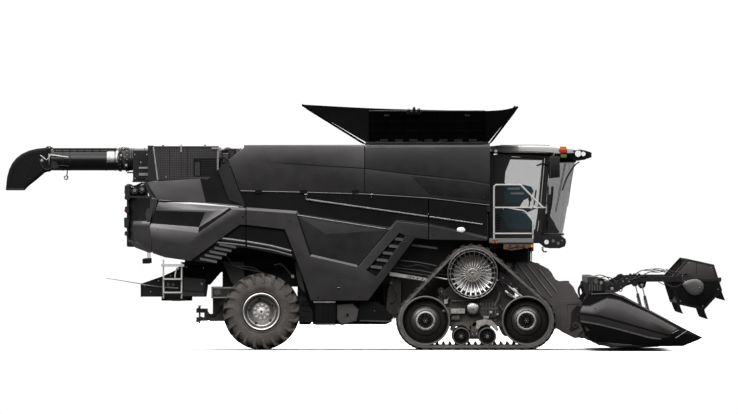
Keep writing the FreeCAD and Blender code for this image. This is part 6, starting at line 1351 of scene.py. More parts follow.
def side_cover(name, node, body, hy, s):
    b = Bag()
    uy, uz = s * math.sin(LEAN), math.cos(LEAN)
    ny, nz = s * math.cos(LEAN), -math.sin(LEAN)

    def at(d, h):
        return (hy + uy * d + ny * h, SIDEZ + uz * d + nz * h)
    L = 0.770
    x0, x1 = 0.1412, 2.4226
    b.prism([at(0.018, 0.002), at(L - 0.01, 0.002), at(L, -0.010), at(L, 0.026), at(L - 0.03, 0.018), at(0.018, 0.013)], x0, x1, 0, axis="x")
    for x in (x0, x1 - 0.022):
        b.prism([at(0.02, -0.004), at(L - 0.02, -0.004), at(L - 0.02, 0.025), at(0.02, 0.025)], x, x + 0.022, 0, axis="x")
    n = 7
    for i in range(1, n):
        x = x0 + (x1 - x0) * i / n
        b.prism([at(0.06, 0.011), at(L - 0.05, 0.011), at(L - 0.07, 0.027), at(0.08, 0.027)], x - 0.020, x + 0.020, 0, axis="x")
    for d in (0.26, 0.51):
        b.prism([at(d - 0.022, 0.011), at(d + 0.022, 0.011), at(d + 0.013, 0.024), at(d - 0.013, 0.024)], x0 + 0.02, x1 - 0.02, 0, axis="x")
    for i in range(7):
        x = 0.2862 + 0.08 + i * 0.29
        b.cyl((x, hy, SIDEZ), (x + 0.16, hy, SIDEZ), 0.0142, 16, 1)
        b.prism([at(0.0, 0.012), at(0.05, 0.015), at(0.05, 0.002), at(0.0, -0.005)], x, x + 0.16, 1, axis="x")
    b.cyl((x0 + 0.01, hy, SIDEZ), (x1 - 0.01, hy, SIDEZ), 0.0132, 16, 0)
    b.prism([at(-0.004, 0.006), at(0.030, 0.006), at(0.030, -0.004), at(-0.004, -0.004)], x0 + 0.01, x1 - 0.01, 0, axis="x")
    p = at(L - 0.002, 0.004)
    b.tube([(x0 + 0.01, p[0], p[1]), (x1 - 0.01, p[0], p[1])], 0.013, 8, 2)
    # two flush catches
    for x in (x0 + 0.35, x1 - 0.35):
        q = at(L - 0.10, 0.020)
        b.obox((x, q[0], q[1]), (0.05, 0, 0), (0, uy * 0.02, uz * 0.02), (0, ny * 0.008, nz * 0.008), 1)
    b.obj(name, ["coverblack", "cast", "hose"], body, slot="body_paint", bevel=0.0025, seg=2, replaces=node)


side_cover("cover_right_ribbed", "cover_right", "lid_right", -1.590, -1)
side_cover("cover_left_ribbed", "cover_left", "lid_left", 1.090, 1)

# cloth corners between the covers, with a valley fold and a slack crease
k = 0
for s, yb, tipy in ((-1, -1.575, -1.500), (1, 1.075, 1.000)):
    top_y = (-1.590 if s < 0 else 1.090) + s * math.sin(LEAN) * 0.770
    top_z = SIDEZ + math.cos(LEAN) * 0.770
    for hx, ang, length, ex in ((0.0784, A_R, 1.456, 0.0941), (2.5088, A_F, 0.916, 2.4932)):
        k += 1
        o = Vector((ex, tipy + s * 0.012, RIMZ + 0.030))
        p = Vector((hx + math.cos(ang) * length, tipy + s * 0.012, RIMZ + math.sin(ang) * length))
        ei = 0.1392 if hx < 0 else 2.4246
        o1 = Vector((ei, yb + s * 0.006, RIMZ + 0.030))
        q = Vector((ei, top_y, top_z))
        nrm = (p - o).cross(q - o).normalized()
        b = Bag()
        N = 10
        rows = []
        for i in range(N + 1):
            t = i / N
            row = []
            for j in range(N + 1):
                u = j / N
                e = p * (1 - u) + q * u
                pt = (o * (1 - u) + o1 * u) * (1 - t) + e * t
                # a valley fold along the middle, plus small wrinkles
                sag = 0.055 * t * math.sin(math.pi * u) + 0.006 * math.sin(9 * u + 5 * t) * t * u
                inward = Vector((0, -s * sag * 0.8, -sag * 0.5))
                row.append(pt + inward)
            rows.append(row)
        v, idx = [], {}
        for side in (0, 1):
            for i in range(N + 1):
                for j in range(N + 1):
                    idx[(side, i, j)] = len(v)
                    v.append(rows[i][j] + nrm * (0.0025 if side else -0.0025))
        f = []
        for i in range(N):
            for j in range(N):
                for side in (0, 1):
                    quad = [idx[(side, i, j)], idx[(side, i + 1, j)], idx[(side, i + 1, j + 1)], idx[(side, i, j + 1)]]
                    quad = [a for n_, a in enumerate(quad) if a not in quad[:n_]]
                    f.append(tuple(quad if side else reversed(quad)))
        for j in range(N):
            f.append((idx[(0, N, j)], idx[(0, N, j + 1)], idx[(1, N, j + 1)], idx[(1, N, j)]))
            f.append((idx[(1, 0, j)], idx[(1, 0, j + 1)], idx[(0, 0, j + 1)], idx[(0, 0, j)]))
        for i in range(N):
            for j in (0, N):
                quad = [idx[(0, i, j)], idx[(0, i + 1, j)], idx[(1, i + 1, j)], idx[(1, i, j)]]
                quad = [a for n_, a in enumerate(quad) if a not in quad[:n_]]
                if len(quad) > 2:
                    f.append(tuple(quad if j else reversed(quad)))
        b.add(v, f, 0)
        g = b.obj("cover_corner_cloth_%d" % k, "clothblack", "chassis", slot="track_rubber", replaces="cover_gussets")
        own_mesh(g)

# tank rim rails, corner posts and service details on the tank top
t = Bag()
for y in (-1.592, 1.078):
    t.tube([(0.098, y, 4.0592), (2.4932, y, 4.0592)], 0.020, 10, 0)
    t.tube([(0.098, y, 4.0298), (2.4932, y, 4.0298)], 0.012, 8, 1)
for x in (0.1078, 2.4716):
    t.box(x - 0.020, x + 0.020, -1.600, -1.560, 4.0141, 4.0886, 0)
    t.box(x - 0.020, x + 0.020, 1.060, 1.100, 4.0141, 4.0886, 0)
for i in range(6):
    x = 0.2862 + i * 0.40
    t.box(x, x + 0.10, -1.600, -1.585, 4.0337, 4.0846, 1)
    t.box(x, x + 0.10, 1.080, 1.098, 4.0337, 4.0846, 1)
t.obj("tank_rim_rails", ["plastic", "cast"], "chassis", slot="body_paint", bevel=0.002, seg=2)

# beacon and level sensors on the free edge of the right side cover, carried by it
e = Bag()
uy, uz, ny, nz = -math.sin(LEAN), math.cos(LEAN), -math.cos(LEAN), -math.sin(LEAN)


def onedge(d, h):
    return (-1.590 + uy * d + ny * h, SIDEZ + uz * d + nz * h)


e.prism([onedge(0.700, 0.027), onedge(0.774, 0.027), onedge(0.774, 0.039), onedge(0.700, 0.039)], 0.8742, 1.1682, 0, axis="x")
for x, h, r in ((0.9252, 0.100, 0.030), (1.031, 0.150, 0.028), (1.1251, 0.112, 0.032)):
    y0, z0 = onedge(0.752, 0.039 + r + 0.002)
    e.obox((x, *onedge(0.752, 0.046)), (0.026, 0, 0), (0, uy * 0.016, uz * 0.016), (0, ny * 0.008, nz * 0.008), 0)
    e.cyl((x, y0, z0), (x, y0 + uy * h, z0 + uz * h), r, 20, 0)
    e.cyl((x, y0 + uy * h, z0 + uz * h), (x, y0 + uy * (h + 0.018), z0 + uz * (h + 0.018)), r * 0.7, 20, 1)
e.obj("cover_beacon_group", ["plastic", "cast"], "lid_right", slot="frame_paint", bevel=0.002, seg=2)

# grain tank inside: filling auger, cross auger guards, ladder rungs, grid
g = Bag()
g.tube([(1.3446, -0.10, 2.8224), (1.2466, -0.12, 3.528), (1.1682, -0.14, 3.9396)], 0.12, 20, 0)
g.cyl((1.1682, -0.14, 3.9102), (1.1604, -0.14, 3.971), 0.15, 24, 1)
g.prism([(1.078, 3.9553), (1.2544, 3.9553), (1.2192, 4.0258), (1.1094, 4.0258)], -0.30, 0.02, 1)
for x in (-1.2034, 0.3646, 1.5406):
    g.tube([(x, -1.54, 3.8808), (x, -0.10, 3.7632), (x, 1.05, 3.8808)], 0.022, 10, 1)
for i in range(5):
    x = -1.9482 + i * 0.90
    g.prism([(-0.62, 2.7989), (0.44, 2.7989), (0.30, 2.8734), (-0.48, 2.8734)], x, x + 0.05, 1, axis="x")
g.cyl((-2.1834, -0.10, 2.7675), (2.403, -0.10, 2.7675), 0.045, 16, 0)
for i in range(40):
    x = -2.1442 + i * 0.112
    for q in range(2):
        a = i * 1.05 + q * math.pi
        g.obox((x, -0.10 + 0.075 * math.cos(a), 2.7675 + 0.075 * math.sin(a)), (0.004, 0, 0), (0.012, 0.055 * math.cos(a), 0.055 * math.sin(a)), (0, -0.03 * math.sin(a), 0.03 * math.cos(a)), 0)
for i in range(4):
    z = 3.92 - i * 0.26
    g.tube([(2.4187, 0.30, z), (2.3912, 0.32, z), (2.3912, 0.62, z), (2.4187, 0.64, z)], 0.011, 8, 1)
g.obj("grain_tank_fittings", ["grain_steel", "cast"], "chassis", slot="frame_paint", bevel=0.002, seg=2)


# ------------------------------------------------------------------ header
END_P = {
    "A": ((4.4278, 1.13), -60), "B": ((4.8537, 1.1455), -60), "C": ((5.086, 1.0797), -60), "D": ((5.5894, 0.8086), -60), "E": ((6.2864, 0.4408), -60), "F": ((6.6349, 0.2665), -60), "G": ((6.5575, 0.2201), -60),
    "H": ((6.2477, 0.0961), -60), "I": ((5.6862, 0.0923), -60), "J": ((4.6214, 0.1813), -60), "K": ((4.4665, 0.2084), -60), "L": ((4.3503, 0.3052), -60), "M": ((4.2032, 0.6537), -60), "N": ((4.2535, 0.8667), -60),
    "n": ((4.3038, 0.8899), -60), "a": ((4.4471, 0.8899), -60), "b": ((4.7763, 1.0448), -60), "c": ((5.0086, 1.0061), -60), "d": ((5.5894, 0.7583), -60), "e": ((6.1702, 0.4524), -60),
    "n0": ((4.3, 0.8706), -20), "a0": ((4.451, 0.8667), -20), "b0": ((4.7763, 1.0216), -20), "c0": ((5.0086, 0.9829), -20), "d0": ((5.5894, 0.7351), -20), "e0": ((6.1315, 0.4369), -24),
    "n1": ((4.269, 0.8125), 0), "a1": ((4.4665, 0.7893), 6), "b1": ((4.7956, 0.8861), 10), "c1": ((5.0473, 0.8396), 12), "d1": ((5.5894, 0.6111), 10), "e1": ((6.0734, 0.3943), -2),
    "n2": ((4.2458, 0.7505), 14), "a2": ((4.5826, 0.708), 32), "c2": ((5.0473, 0.5879), 37), "d2": ((5.5894, 0.4292), 30), "e2": ((5.996, 0.3169), 12),
    "n3": ((4.2419, 0.7118), 6), "a3": ((4.5826, 0.6654), 24), "c3": ((5.0473, 0.5453), 29), "d3": ((5.5894, 0.3904), 22), "e3": ((5.9379, 0.2975), 6),
    "n4": ((4.2535, 0.5957), 10), "a4": ((4.6214, 0.5337), 24), "c4": ((5.0473, 0.4292), 26), "d4": ((5.5894, 0.282), 18), "e4": ((5.8217, 0.2472), 8), "g4": ((6.0347, 0.3052), 0),
    "n5": ((4.269, 0.5686), 4), "a5": ((4.6214, 0.5066), 16), "c5": ((5.0473, 0.4021), 18), "d5": ((5.5894, 0.251), 10), "e5": ((5.8217, 0.2201), 2),
    "r1": ((6.3638, 0.3362), -26), "r2": ((6.209, 0.2084), -26), "q1": ((5.8217, 0.1581), -20), "q2": ((4.6988, 0.2549), -14)}
# faces with index 1, below the ridge, along the back edge, along the bottom and round the point, take the near-black as
# painted shade
END_F = [("A B C D E e d c b a n N", 4), ("n a a0 n0", 0), ("a b b0 a0", 0), ("b c c0 b0", 0), ("c d d0 c0", 0), ("d e e0 d0", 0),
         ("N n n0 n1", 1), ("N n1 n2 M", 1), ("M n2 n3", 1), ("M n3 n4", 1), ("M n4 n5 L", 1), ("L n5 q2 K", 1), ("K q2 J", 1),
         ("n0 a0 a1 n1", 0), ("a0 b0 b1 a1", 0), ("b0 c0 c1 b1", 0), ("c0 d0 d1 c1", 0), ("d0 e0 e1 d1", 0),
         ("n1 a1 a2 n2", 0), ("a1 b1 c1 c2 a2", 0), ("c1 d1 d2 c2", 0), ("d1 e1 e2 d2", 0),
         ("n2 a2 a3 n3", 1), ("a2 c2 c3 a3", 1), ("c2 d2 d3 c3", 1), ("d2 e2 e3 d3", 1),
         ("n3 a3 a4 n4", 3), ("a3 c3 c4 a4", 3), ("c3 d3 d4 c4", 3), ("d3 e3 g4 e4 d4", 3),
         ("n4 a4 a5 n5", 2), ("a4 c4 c5 a5", 2), ("c4 d4 d5 c5", 2), ("d4 e4 e5 d5", 2),
         ("n5 a5 q2", 1), ("a5 c5 q2", 1), ("c5 d5 q1 q2", 1), ("d5 e5 q1", 1), ("q2 q1 I J", 1), ("e5 e4 g4 r2 q1", 1), ("q1 r2 H I", 1),
         ("E F r1", 1), ("E r1 e1 e0", 1), ("E e0 e", 1), ("e1 r1 g4 e2", 1), ("e2 g4 e3", 1), ("g4 r1 r2", 1), ("r1 F G", 1), ("r1 G r2", 1), ("r2 G H", 1)]

hb = Bag()
for s in (-1, 1):
    relief(hb, END_P, END_F, s, 4.560, 4.452, 1)
    # two light slashes near the point
    for (ax_, az_), (bx_, bz_) in (((6.0425, 0.3517), (6.1664, 0.4098)), ((6.1044, 0.2549), (6.3367, 0.4021))):
        hb.hull2([(ax_, s * 4.552, az_ + 0.010), (ax_, s * 4.566, az_ + 0.008), (ax_, s * 4.566, az_ - 0.010), (ax_, s * 4.552, az_ - 0.012)],
                 [(bx_, s * 4.530, bz_ + 0.010), (bx_, s * 4.548, bz_ + 0.008), (bx_, s * 4.548, bz_ - 0.010), (bx_, s * 4.530, bz_ - 0.012)], 2)
    # cylinder foot, latches, bolts
    hb.cyl((5.5894, s * 4.384, 0.7505), (5.5894, s * 4.456, 0.7505), 0.016, 20, 2)
    hb.prism([(5.512, 0.7215), (5.6669, 0.6925), (5.6475, 0.7854), (5.5894, 0.797), (5.5313, 0.7815)], s * 4.430, s * 4.452, 3)
    for x, z in ((4.5439, 0.828), (4.8537, 0.7699), (5.3958, 0.5763), (5.8605, 0.4214)):
        hb.cyl((x, s * 4.555, z), (x, s * 4.574, z), 0.013, 12, 1)
    hb.obox((4.389, s * 4.520, 0.4408), (0.03, 0, 0.01), (0, 0.03, 0), (-0.02, 0, 0.05), 3)
    hb.tube([(4.4665, s * 4.505, 1.1068), (4.8537, s * 4.505, 1.1223), (5.0667, s * 4.505, 1.0564), (5.5894, s * 4.505, 0.7854), (6.2864, s * 4.503, 0.4214)], 0.013, 8, 0)
hb.obj("header_end_shields", ["headpaint", "matte_black_and_shade", "dull_silver_and_highlight", "paint", "matte_black_and_shade"], "feeder", slot="body_paint", bevel=0.0035, seg=2, replaces="header_ends")

# skid shoes, back sheet ribs, top tube fittings, knife guards and floor cleats
f = Bag()
for i in range(30):
    y = -4.35 + 0.30 * i
    if abs(y) < 0.64:
        continue
    f.prism([(4.5052, 1.0022), (4.5052, 0.3052), (4.5052 + 0.022, 0.3052), (4.5052 + 0.030, 0.3633), (4.5052 + 0.030, 0.9442), (4.5052 + 0.022, 1.0022)], y - 0.028, y + 0.028, 0)
for i in range(16):
    y = -4.2 + 0.56 * i
    if abs(y) < 0.75:
        continue
    f.prism([(4.3697, 1.3314), (4.4278, 1.3314), (4.4278, 0.344), (4.3697, 0.344), (4.3503, 0.4214), (4.4006, 0.5763), (4.4006, 1.0797), (4.3503, 1.2346)], y - 0.008, y + 0.008, 0)
# top tube caps, hose guide rings and hydraulic block at the near end
for s in (-1, 1):
    f.box(4.4006, 4.6988, s * 4.30, s * 4.46, 1.161, 1.3043, 1)
    for i in range(5):
        x = 4.4278 + i * 0.050
        f.box(x, x + 0.022, s * 4.455, s * 4.476, 1.1765, 1.2927, 2)
    f.prism([(4.4471, 1.3043), (4.4665, 1.3895), (4.5439, 1.4166), (4.602, 1.4011), (4.6407, 1.4359), (4.6988, 1.4088), (4.7375, 1.3043)], s * 4.28, s * 4.44, 1)
    f.cyl((4.5633, s * 4.40, 1.3507), (4.5633, s * 4.47, 1.3507), 0.045, 20, 2)
    f.cyl((4.6601, s * 4.40, 1.3314), (4.6601, s * 4.46, 1.3314), 0.030, 20, 3)
    f.tube(curve([(4.6214, s * 4.42, 1.4088), (4.6988, s * 4.46, 1.4398), (4.7956, s * 4.492, 1.4398), (4.9118, s * 4.494, 1.3895), (4.9699, s * 4.494, 1.3043)], 6), 0.010, 8, 4)
    f.tube(curve([(4.5439, s * 4.44, 1.3895), (4.6794, s * 4.47, 1.4088), (4.815, s * 4.485, 1.3507), (4.8924, s * 4.485, 1.2617)], 6), 0.012, 8, 4)
    f.box(4.7375, 4.9505, s * 4.474, s * 4.490, 1.1378, 1.1842, 0)
# drive shaft on the near end, inside the shield
f.cyl((4.5826, -4.449, 0.6537), (4.5826, -4.20, 0.4214), 0.03, 12, 2)
for s in (-1, 1):
    for i in range(9):
        y = s * (0.85 + 0.42 * i)
        f.box(4.4161, 4.5439, y - 0.035, y + 0.035, 1.4475 - 0.002, 1.4475 + 0.010, 2)
n = 117
for i in range(n):
    y = -4.40 + 8.80 * i / (n - 1)
    x0 = 5.9069
    f.add([(x0, y - 0.020, 0.1), (x0, y + 0.020, 0.1), (x0, y + 0.020, 0.1349), (x0, y - 0.020, 0.1349),
           (6.0812, y - 0.004, 0.1194), (6.0812, y + 0.004, 0.1194), (6.0812, y + 0.003, 0.1271), (6.0812, y - 0.003, 0.1271)],
          [(0, 1, 2, 3), (7, 6, 5, 4), (0, 4, 5, 1), (1, 5, 6, 2), (2, 6, 7, 3), (3, 7, 4, 0)], 3)
    # triangular section
    if i < n - 1:
        ym = y + 0.038
        z = 0.1271
        f.add([(x0, ym - 0.036, z), (x0, ym + 0.036, z), (6.0115, ym, z), (x0, ym - 0.036, z + 0.004), (x0, ym + 0.036, z + 0.004), (6.0115, ym, z + 0.004)],
              [(0, 1, 2), (5, 4, 3), (0, 3, 4, 1), (1, 4, 5, 2), (2, 5, 3, 0)], 3)
f.box(5.8721, 5.9185, -4.44, 4.44, 0.0961, 0.131, 0)
# cleats across the header floor
for i in range(23):
    y = -4.29 + 0.39 * i
    f.prism([(4.6214, 0.1465), (4.6988, 0.1426), (4.9311, 0.1233), (5.3958, 0.131), (5.8411, 0.1368), (5.8411, 0.1484), (5.3958, 0.1426), (4.9311, 0.1349), (4.6988, 0.1542), (4.6214, 0.1581)], y - 0.012, y + 0.012, 0)
# skid shoes below
for y in (-3.6, -1.6, 1.6, 3.6):
    f.prism([(4.7375, 0.0923), (4.8537, 0.0652), (5.3958, 0.0613), (5.783, 0.0768), (5.8605, 0.1), (5.3958, 0.0884), (4.8924, 0.0884)], y - 0.10, y + 0.10, 2)
f.obj("header_frame_details", ["frame", "plastic", "cast", "steel", "hose"], "feeder", slot="frame_paint", bevel=0.002, seg=1)

# auger: tube with left and right flights and retracting fingers in the middle
a = Bag()
ACX, ACZ = 4.7569, 0.6537
a.lathe([(0.0, -4.40), (0.188, -4.40), (0.200, -4.385), (0.200, 4.385), (0.188, 4.40), (0.0, 4.40)], ACX, ACZ, 48, 0)
a.cyl((ACX, -4.443, ACZ), (ACX, 4.443, ACZ), 0.040, 24, 1)
for s in (-1, 1):
    turns, y0, y1 = 6.6, 4.30, 0.62
    N = 150
    v = []
    for i in range(N + 1):
        q = s * 2 * math.pi * turns * i / N
        y = s * (y0 + (y1 - y0) * i / N)
        ca, sa = math.cos(q), math.sin(q)
        for r, dy in ((0.196, -0.003), (0.238, -0.002), (0.238, 0.002), (0.196, 0.003)):
            v.append((ACX + r * ca, y + dy, ACZ + r * sa))
    fc = []
    for i in range(N):
        for j in range(4):
            fc.append((i * 4 + j, i * 4 + (j + 1) % 4, (i + 1) * 4 + (j + 1) % 4, (i + 1) * 4 + j))
    fc += [(0, 1, 2, 3), tuple(N * 4 + j for j in (3, 2, 1, 0))]
    a.add(v, fc, 0)
for i in range(14):
    y = -0.52 + 0.08 * i
    q = i * 1.7
    a.cyl((ACX + 0.19 * math.cos(q), y, ACZ + 0.19 * math.sin(q)), (ACX + 0.238 * math.cos(q), y, ACZ + 0.238 * math.sin(q)), 0.010, 10, 1)
    a.cyl((ACX + 0.19 * math.cos(q), y, ACZ + 0.19 * math.sin(q)), (ACX + 0.208 * math.cos(q), y, ACZ + 0.208 * math.sin(q)), 0.022, 12, 1)
a.obj("header_auger_flighted", ["frame_grey", "steel"], "auger", slot="frame_paint", bevel=0.0, replaces="header_auger")

# reel arms
ar = Bag()
for s in (-1, 1):
    Y = lambda d: s * d
    ar.prism([(4.7917, 1.2733), (4.8576, 1.1339), (4.9699, 1.1533), (5.1441, 1.2733), (5.3958, 1.3565), (6.3638, 1.3604), (6.3735, 1.4088), (6.3542, 1.4514), (5.3958, 1.4475), (5.086, 1.4243)], Y(4.374), Y(4.436), 0)
    # flanges top and bottom
    ar.prism([(5.086, 1.4204), (5.3958, 1.4437), (6.3561, 1.4475), (6.3561, 1.4592), (5.3958, 1.4572), (5.086, 1.4359)], Y(4.370), Y(4.440), 0)
    ar.prism([(4.9699, 1.1455), (5.1441, 1.2655), (5.3958, 1.3488), (6.3638, 1.3527), (6.3638, 1.3643), (5.3958, 1.3604), (5.1402, 1.281), (4.9621, 1.161)], Y(4.370), Y(4.440), 0)
    # raised knee plate with a cover and bolts
    ar.prism([(4.9892, 1.2733), (5.0667, 1.4011), (5.1131, 1.4592), (5.1828, 1.4746), (5.2525, 1.432), (5.2951, 1.3701), (5.1635, 1.3004), (5.0202, 1.1958)], Y(4.436), Y(4.452), 1)
    for x, z in ((5.086, 1.3507), (5.1635, 1.4088), (5.2022, 1.3507), (5.0473, 1.2539)):
        ar.bolt((x, Y(4.452), z), (0, s, 0), 0.014, 0.010, 2)
    ar.cyl((4.8731, Y(4.36), 1.2152), (4.8731, Y(4.447), 1.2152), 0.052, 28, 1)
    ar.cyl((4.8731, Y(4.44), 1.2152), (4.8731, Y(4.460), 1.2152), 0.030, 24, 2)
    # eye plates of the lifting cylinder
    ar.prism([(5.3571, 1.3701), (5.5507, 1.3701), (5.5197, 1.2539), (5.481, 1.2191), (5.4268, 1.2191), (5.3881, 1.2539)], Y(4.371), Y(4.383), 1)
    ar.cyl((5.4539, Y(4.372), 1.2849), (5.4539, Y(4.387), 1.2849), 0.030, 20, 2)
    # position scale, hose clips and adjusting slot
    for i in range(8):
        x = 5.5507 + i * 0.085
        ar.box(x, x + 0.030, Y(4.436), Y(4.444), 1.3778, 1.4243, 1)
    ar.tube(curve([(5.1635, Y(4.458), 1.3701), (5.3958, Y(4.456), 1.4359), (5.5894, Y(4.456), 1.5327), (5.7443, Y(4.456), 1.5598), (5.9379, Y(4.454), 1.5714), (6.0928, Y(4.452), 1.5366),
                   (6.1702, Y(4.450), 1.5521)], 6), 0.0085, 8, 3)
    ar.tube(curve([(5.3184, Y(4.452), 1.4088), (5.4732, Y(4.450), 1.4669), (5.5894, Y(4.450), 1.5366), (5.7443, Y(4.450), 1.5327), (5.8992, Y(4.450), 1.5482), (6.0541, Y(4.448), 1.4979)], 6), 0.0085, 8, 3)
    ar.tube(curve([(4.9699, Y(4.458), 1.2346), (5.0396, Y(4.466), 1.1571), (5.0744, Y(4.466), 1.2268), (5.0279, Y(4.462), 1.3081)], 5), 0.009, 8, 3)
    for x, z in ((5.512, 1.4979), (5.8411, 1.5598), (6.0928, 1.5521)):
        ar.box(x - 0.012, x + 0.012, Y(4.438), Y(4.466), z - 0.016, z + 0.016, 1)
    for k, x in enumerate((5.3377, 5.4152, 5.512)):
        ar.box(x, x + 0.05, Y(4.44), Y(4.456), 1.4475 - 0.004, 1.4475 + 0.030, 1)
ar.lathe([(0.0, -4.371), (0.044, -4.371), (0.044, 4.371), (0.0, 4.371)], 4.8731, 1.2152, 32, 0)
for i in range(12):
    y = -4.0 + 0.727 * i
    ar.lathe([(0.044, y - 0.02), (0.050, y - 0.016), (0.050, y + 0.016), (0.044, y + 0.02), (0.030, y)], 4.8731, 1.2152, 28, 1)
ar.obj("reel_arms_detailed", ["doordark", "plastic", "steel", "hose"], "reel_support", slot="frame_paint", bevel=0.003, seg=2, replaces="reel_arms")

# carriage: bearing plates, rounded cover, front bar
cg = Bag()
for s in (-1, 1):
    Y = lambda d: s * d
    inner = [(6.1896, 1.4979), (6.4026, 1.4979), (6.5962, 1.3895), (6.6349, 1.2733), (6.5768, 1.1571), (6.4413, 1.0913), (6.3251, 1.1494), (6.2283, 1.3198), (6.1896, 1.3391)]
    cg.prism(inner, Y(4.3465), Y(4.362), 0)
    # rounded cover, domed
    out = [(6.2361, 1.2849), (6.2593, 1.3314), (6.3367, 1.3778), (6.4297, 1.4049), (6.5265, 1.4088), (6.6, 1.374), (6.6504, 1.3081), (6.6581, 1.2268), (6.6272, 1.1533), (6.5652, 1.0952), (6.4878, 1.0758), (6.4026, 1.1029), (6.3367, 1.1533), (6.2941, 1.2075)]
    cx = sum(p[0] for p in out) / len(out)
    cz = sum(p[1] for p in out) / len(out)
    rings = []
    for fr, y in ((1.0, 4.448), (1.0, 4.470), (0.955, 4.484), (0.86, 4.492), (0.55, 4.497), (0.20, 4.499)):
        rings.append([(cx + (x - cx) * fr, Y(y), cz + (z - cz) * fr) for x, z in out])
    kk = len(out)
    v = [p for r_ in rings for p in r_]
    fc = [tuple(range(kk)), tuple((len(rings) - 1) * kk + i for i in range(kk - 1, -1, -1))]
    for j in range(len(rings) - 1):
        fc += [(j * kk + i, j * kk + (i + 1) % kk, (j + 1) * kk + (i + 1) % kk, (j + 1) * kk + i) for i in range(kk)]
    cg.add(v, fc, 1)
    cg.prism([(6.1896, 1.4979), (6.3251, 1.4979), (6.3638, 1.4088), (6.4994, 1.4166), (6.5575, 1.3895), (6.4994, 1.3314), (6.3638, 1.312), (6.2477, 1.312)], Y(4.447), Y(4.462), 0)
    cg.tube(curve([(5.8217, Y(4.482), 1.3972), (5.8992, Y(4.482), 1.3314), (6.0153, Y(4.482), 1.2617), (6.1315, Y(4.482), 1.2539), (6.2283, Y(4.482), 1.312)], 5), 0.008, 8, 4)
    cg.box(6.1896, 6.3251, Y(4.3455), Y(4.462), 1.4785, 1.5114, 0)
    cg.box(6.2361, 6.3445, Y(4.3455), Y(4.462), 1.3023, 1.3314, 0)
    # bar towards the front with a small bracket
    cg.hull2([(6.4026, Y(4.449), 1.4282), (6.4026, Y(4.482), 1.4282), (6.4026, Y(4.482), 1.3662), (6.4026, Y(4.449), 1.3662)],
             [(6.9563, Y(4.449), 1.4011), (6.9563, Y(4.478), 1.4011), (6.9563, Y(4.478), 1.3624), (6.9563, Y(4.449), 1.3624)], 2)
    cg.prism([(6.9369, 1.432), (6.9911, 1.4359), (7.0028, 1.3895), (6.9834, 1.3391), (6.9408, 1.343)], Y(4.446), Y(4.486), 0)
    cg.prism([(6.3445, 1.4669), (6.4994, 1.4359), (6.4994, 1.3507), (6.3445, 1.3507)], Y(4.447), Y(4.461), 0)
    for x, z in ((6.2477, 1.4669), (6.2941, 1.3585), (6.4994, 1.3701), (6.5768, 1.2346)):
        cg.bolt((x, Y(4.499 if x > 6.3638 and z < 1.312 else 4.462), z), (0, s, 0), 0.012, 0.006, 3)
    cg.tube(curve([(6.2477, Y(4.466), 1.4669), (6.3058, Y(4.474), 1.5172), (6.3445, Y(4.472), 1.4553), (6.3755, Y(4.470), 1.3701)], 5), 0.009, 8, 4)
cg.obj("reel_carriage_covers", ["frame", "grey_and_highlight_paint", "doordark", "steel", "hose"], "reel_slider", slot="frame_paint", bevel=0.003, seg=2, replaces="reel_carriage")

# reel: end shields, spiders, centre tube, bars with tines
RX, RZ = 6.5052, 1.2965
HV = [(RX + 0.525 * math.cos(math.radians(107.5 + 60 * k)), RZ + 0.525 * math.sin(math.radians(107.5 + 60 * k))) for k in range(6)]
rc = Bag()
rc.lathe([(0.0, -4.315), (0.080, -4.315), (0.080, 4.315), (0.0, 4.315)], RX, RZ, 32, 1)
for s in (-1, 1):
    Y = lambda d: s * d
    # sheet with a turned-in rim
    def ring(fr, y):
        return [(RX + (x - RX) * fr, Y(y), RZ + (z - RZ) * fr) for x, z in HV]
    rc.hull2(ring(1.0, 4.322), ring(0.994, 4.3365), 0)
    rc.hull2(ring(0.90, 4.3365), ring(0.885, 4.3405), 0)
    for k in range(6):
        (x0, z0), (x1, z1) = HV[k], HV[(k + 1) % 6]
        rc.hull2([(x0, Y(4.322), z0), (x1, Y(4.322), z1), (RX + (x1 - RX) * 0.97, Y(4.322), RZ + (z1 - RZ) * 0.97), (RX + (x0 - RX) * 0.97, Y(4.322), RZ + (z0 - RZ) * 0.97)],
                 [(x0, Y(4.285), z0), (x1, Y(4.285), z1), (RX + (x1 - RX) * 0.97, Y(4.285), RZ + (z1 - RZ) * 0.97), (RX + (x0 - RX) * 0.97, Y(4.285), RZ + (z0 - RZ) * 0.97)], 0)
        rc.bolt((RX + (x0 - RX) * 0.84, Y(4.3405), RZ + (z0 - RZ) * 0.84), (0, s, 0), 0.012, 0.0035, 2)
    rc.cyl((RX, Y(4.300), RZ), (RX, Y(4.366), RZ), 0.040, 24, 2)
    rc.box(RX + 0.008, RX + 0.016, Y(4.338), Y(4.343), RZ + 0.20, RZ + 0.42, 3)
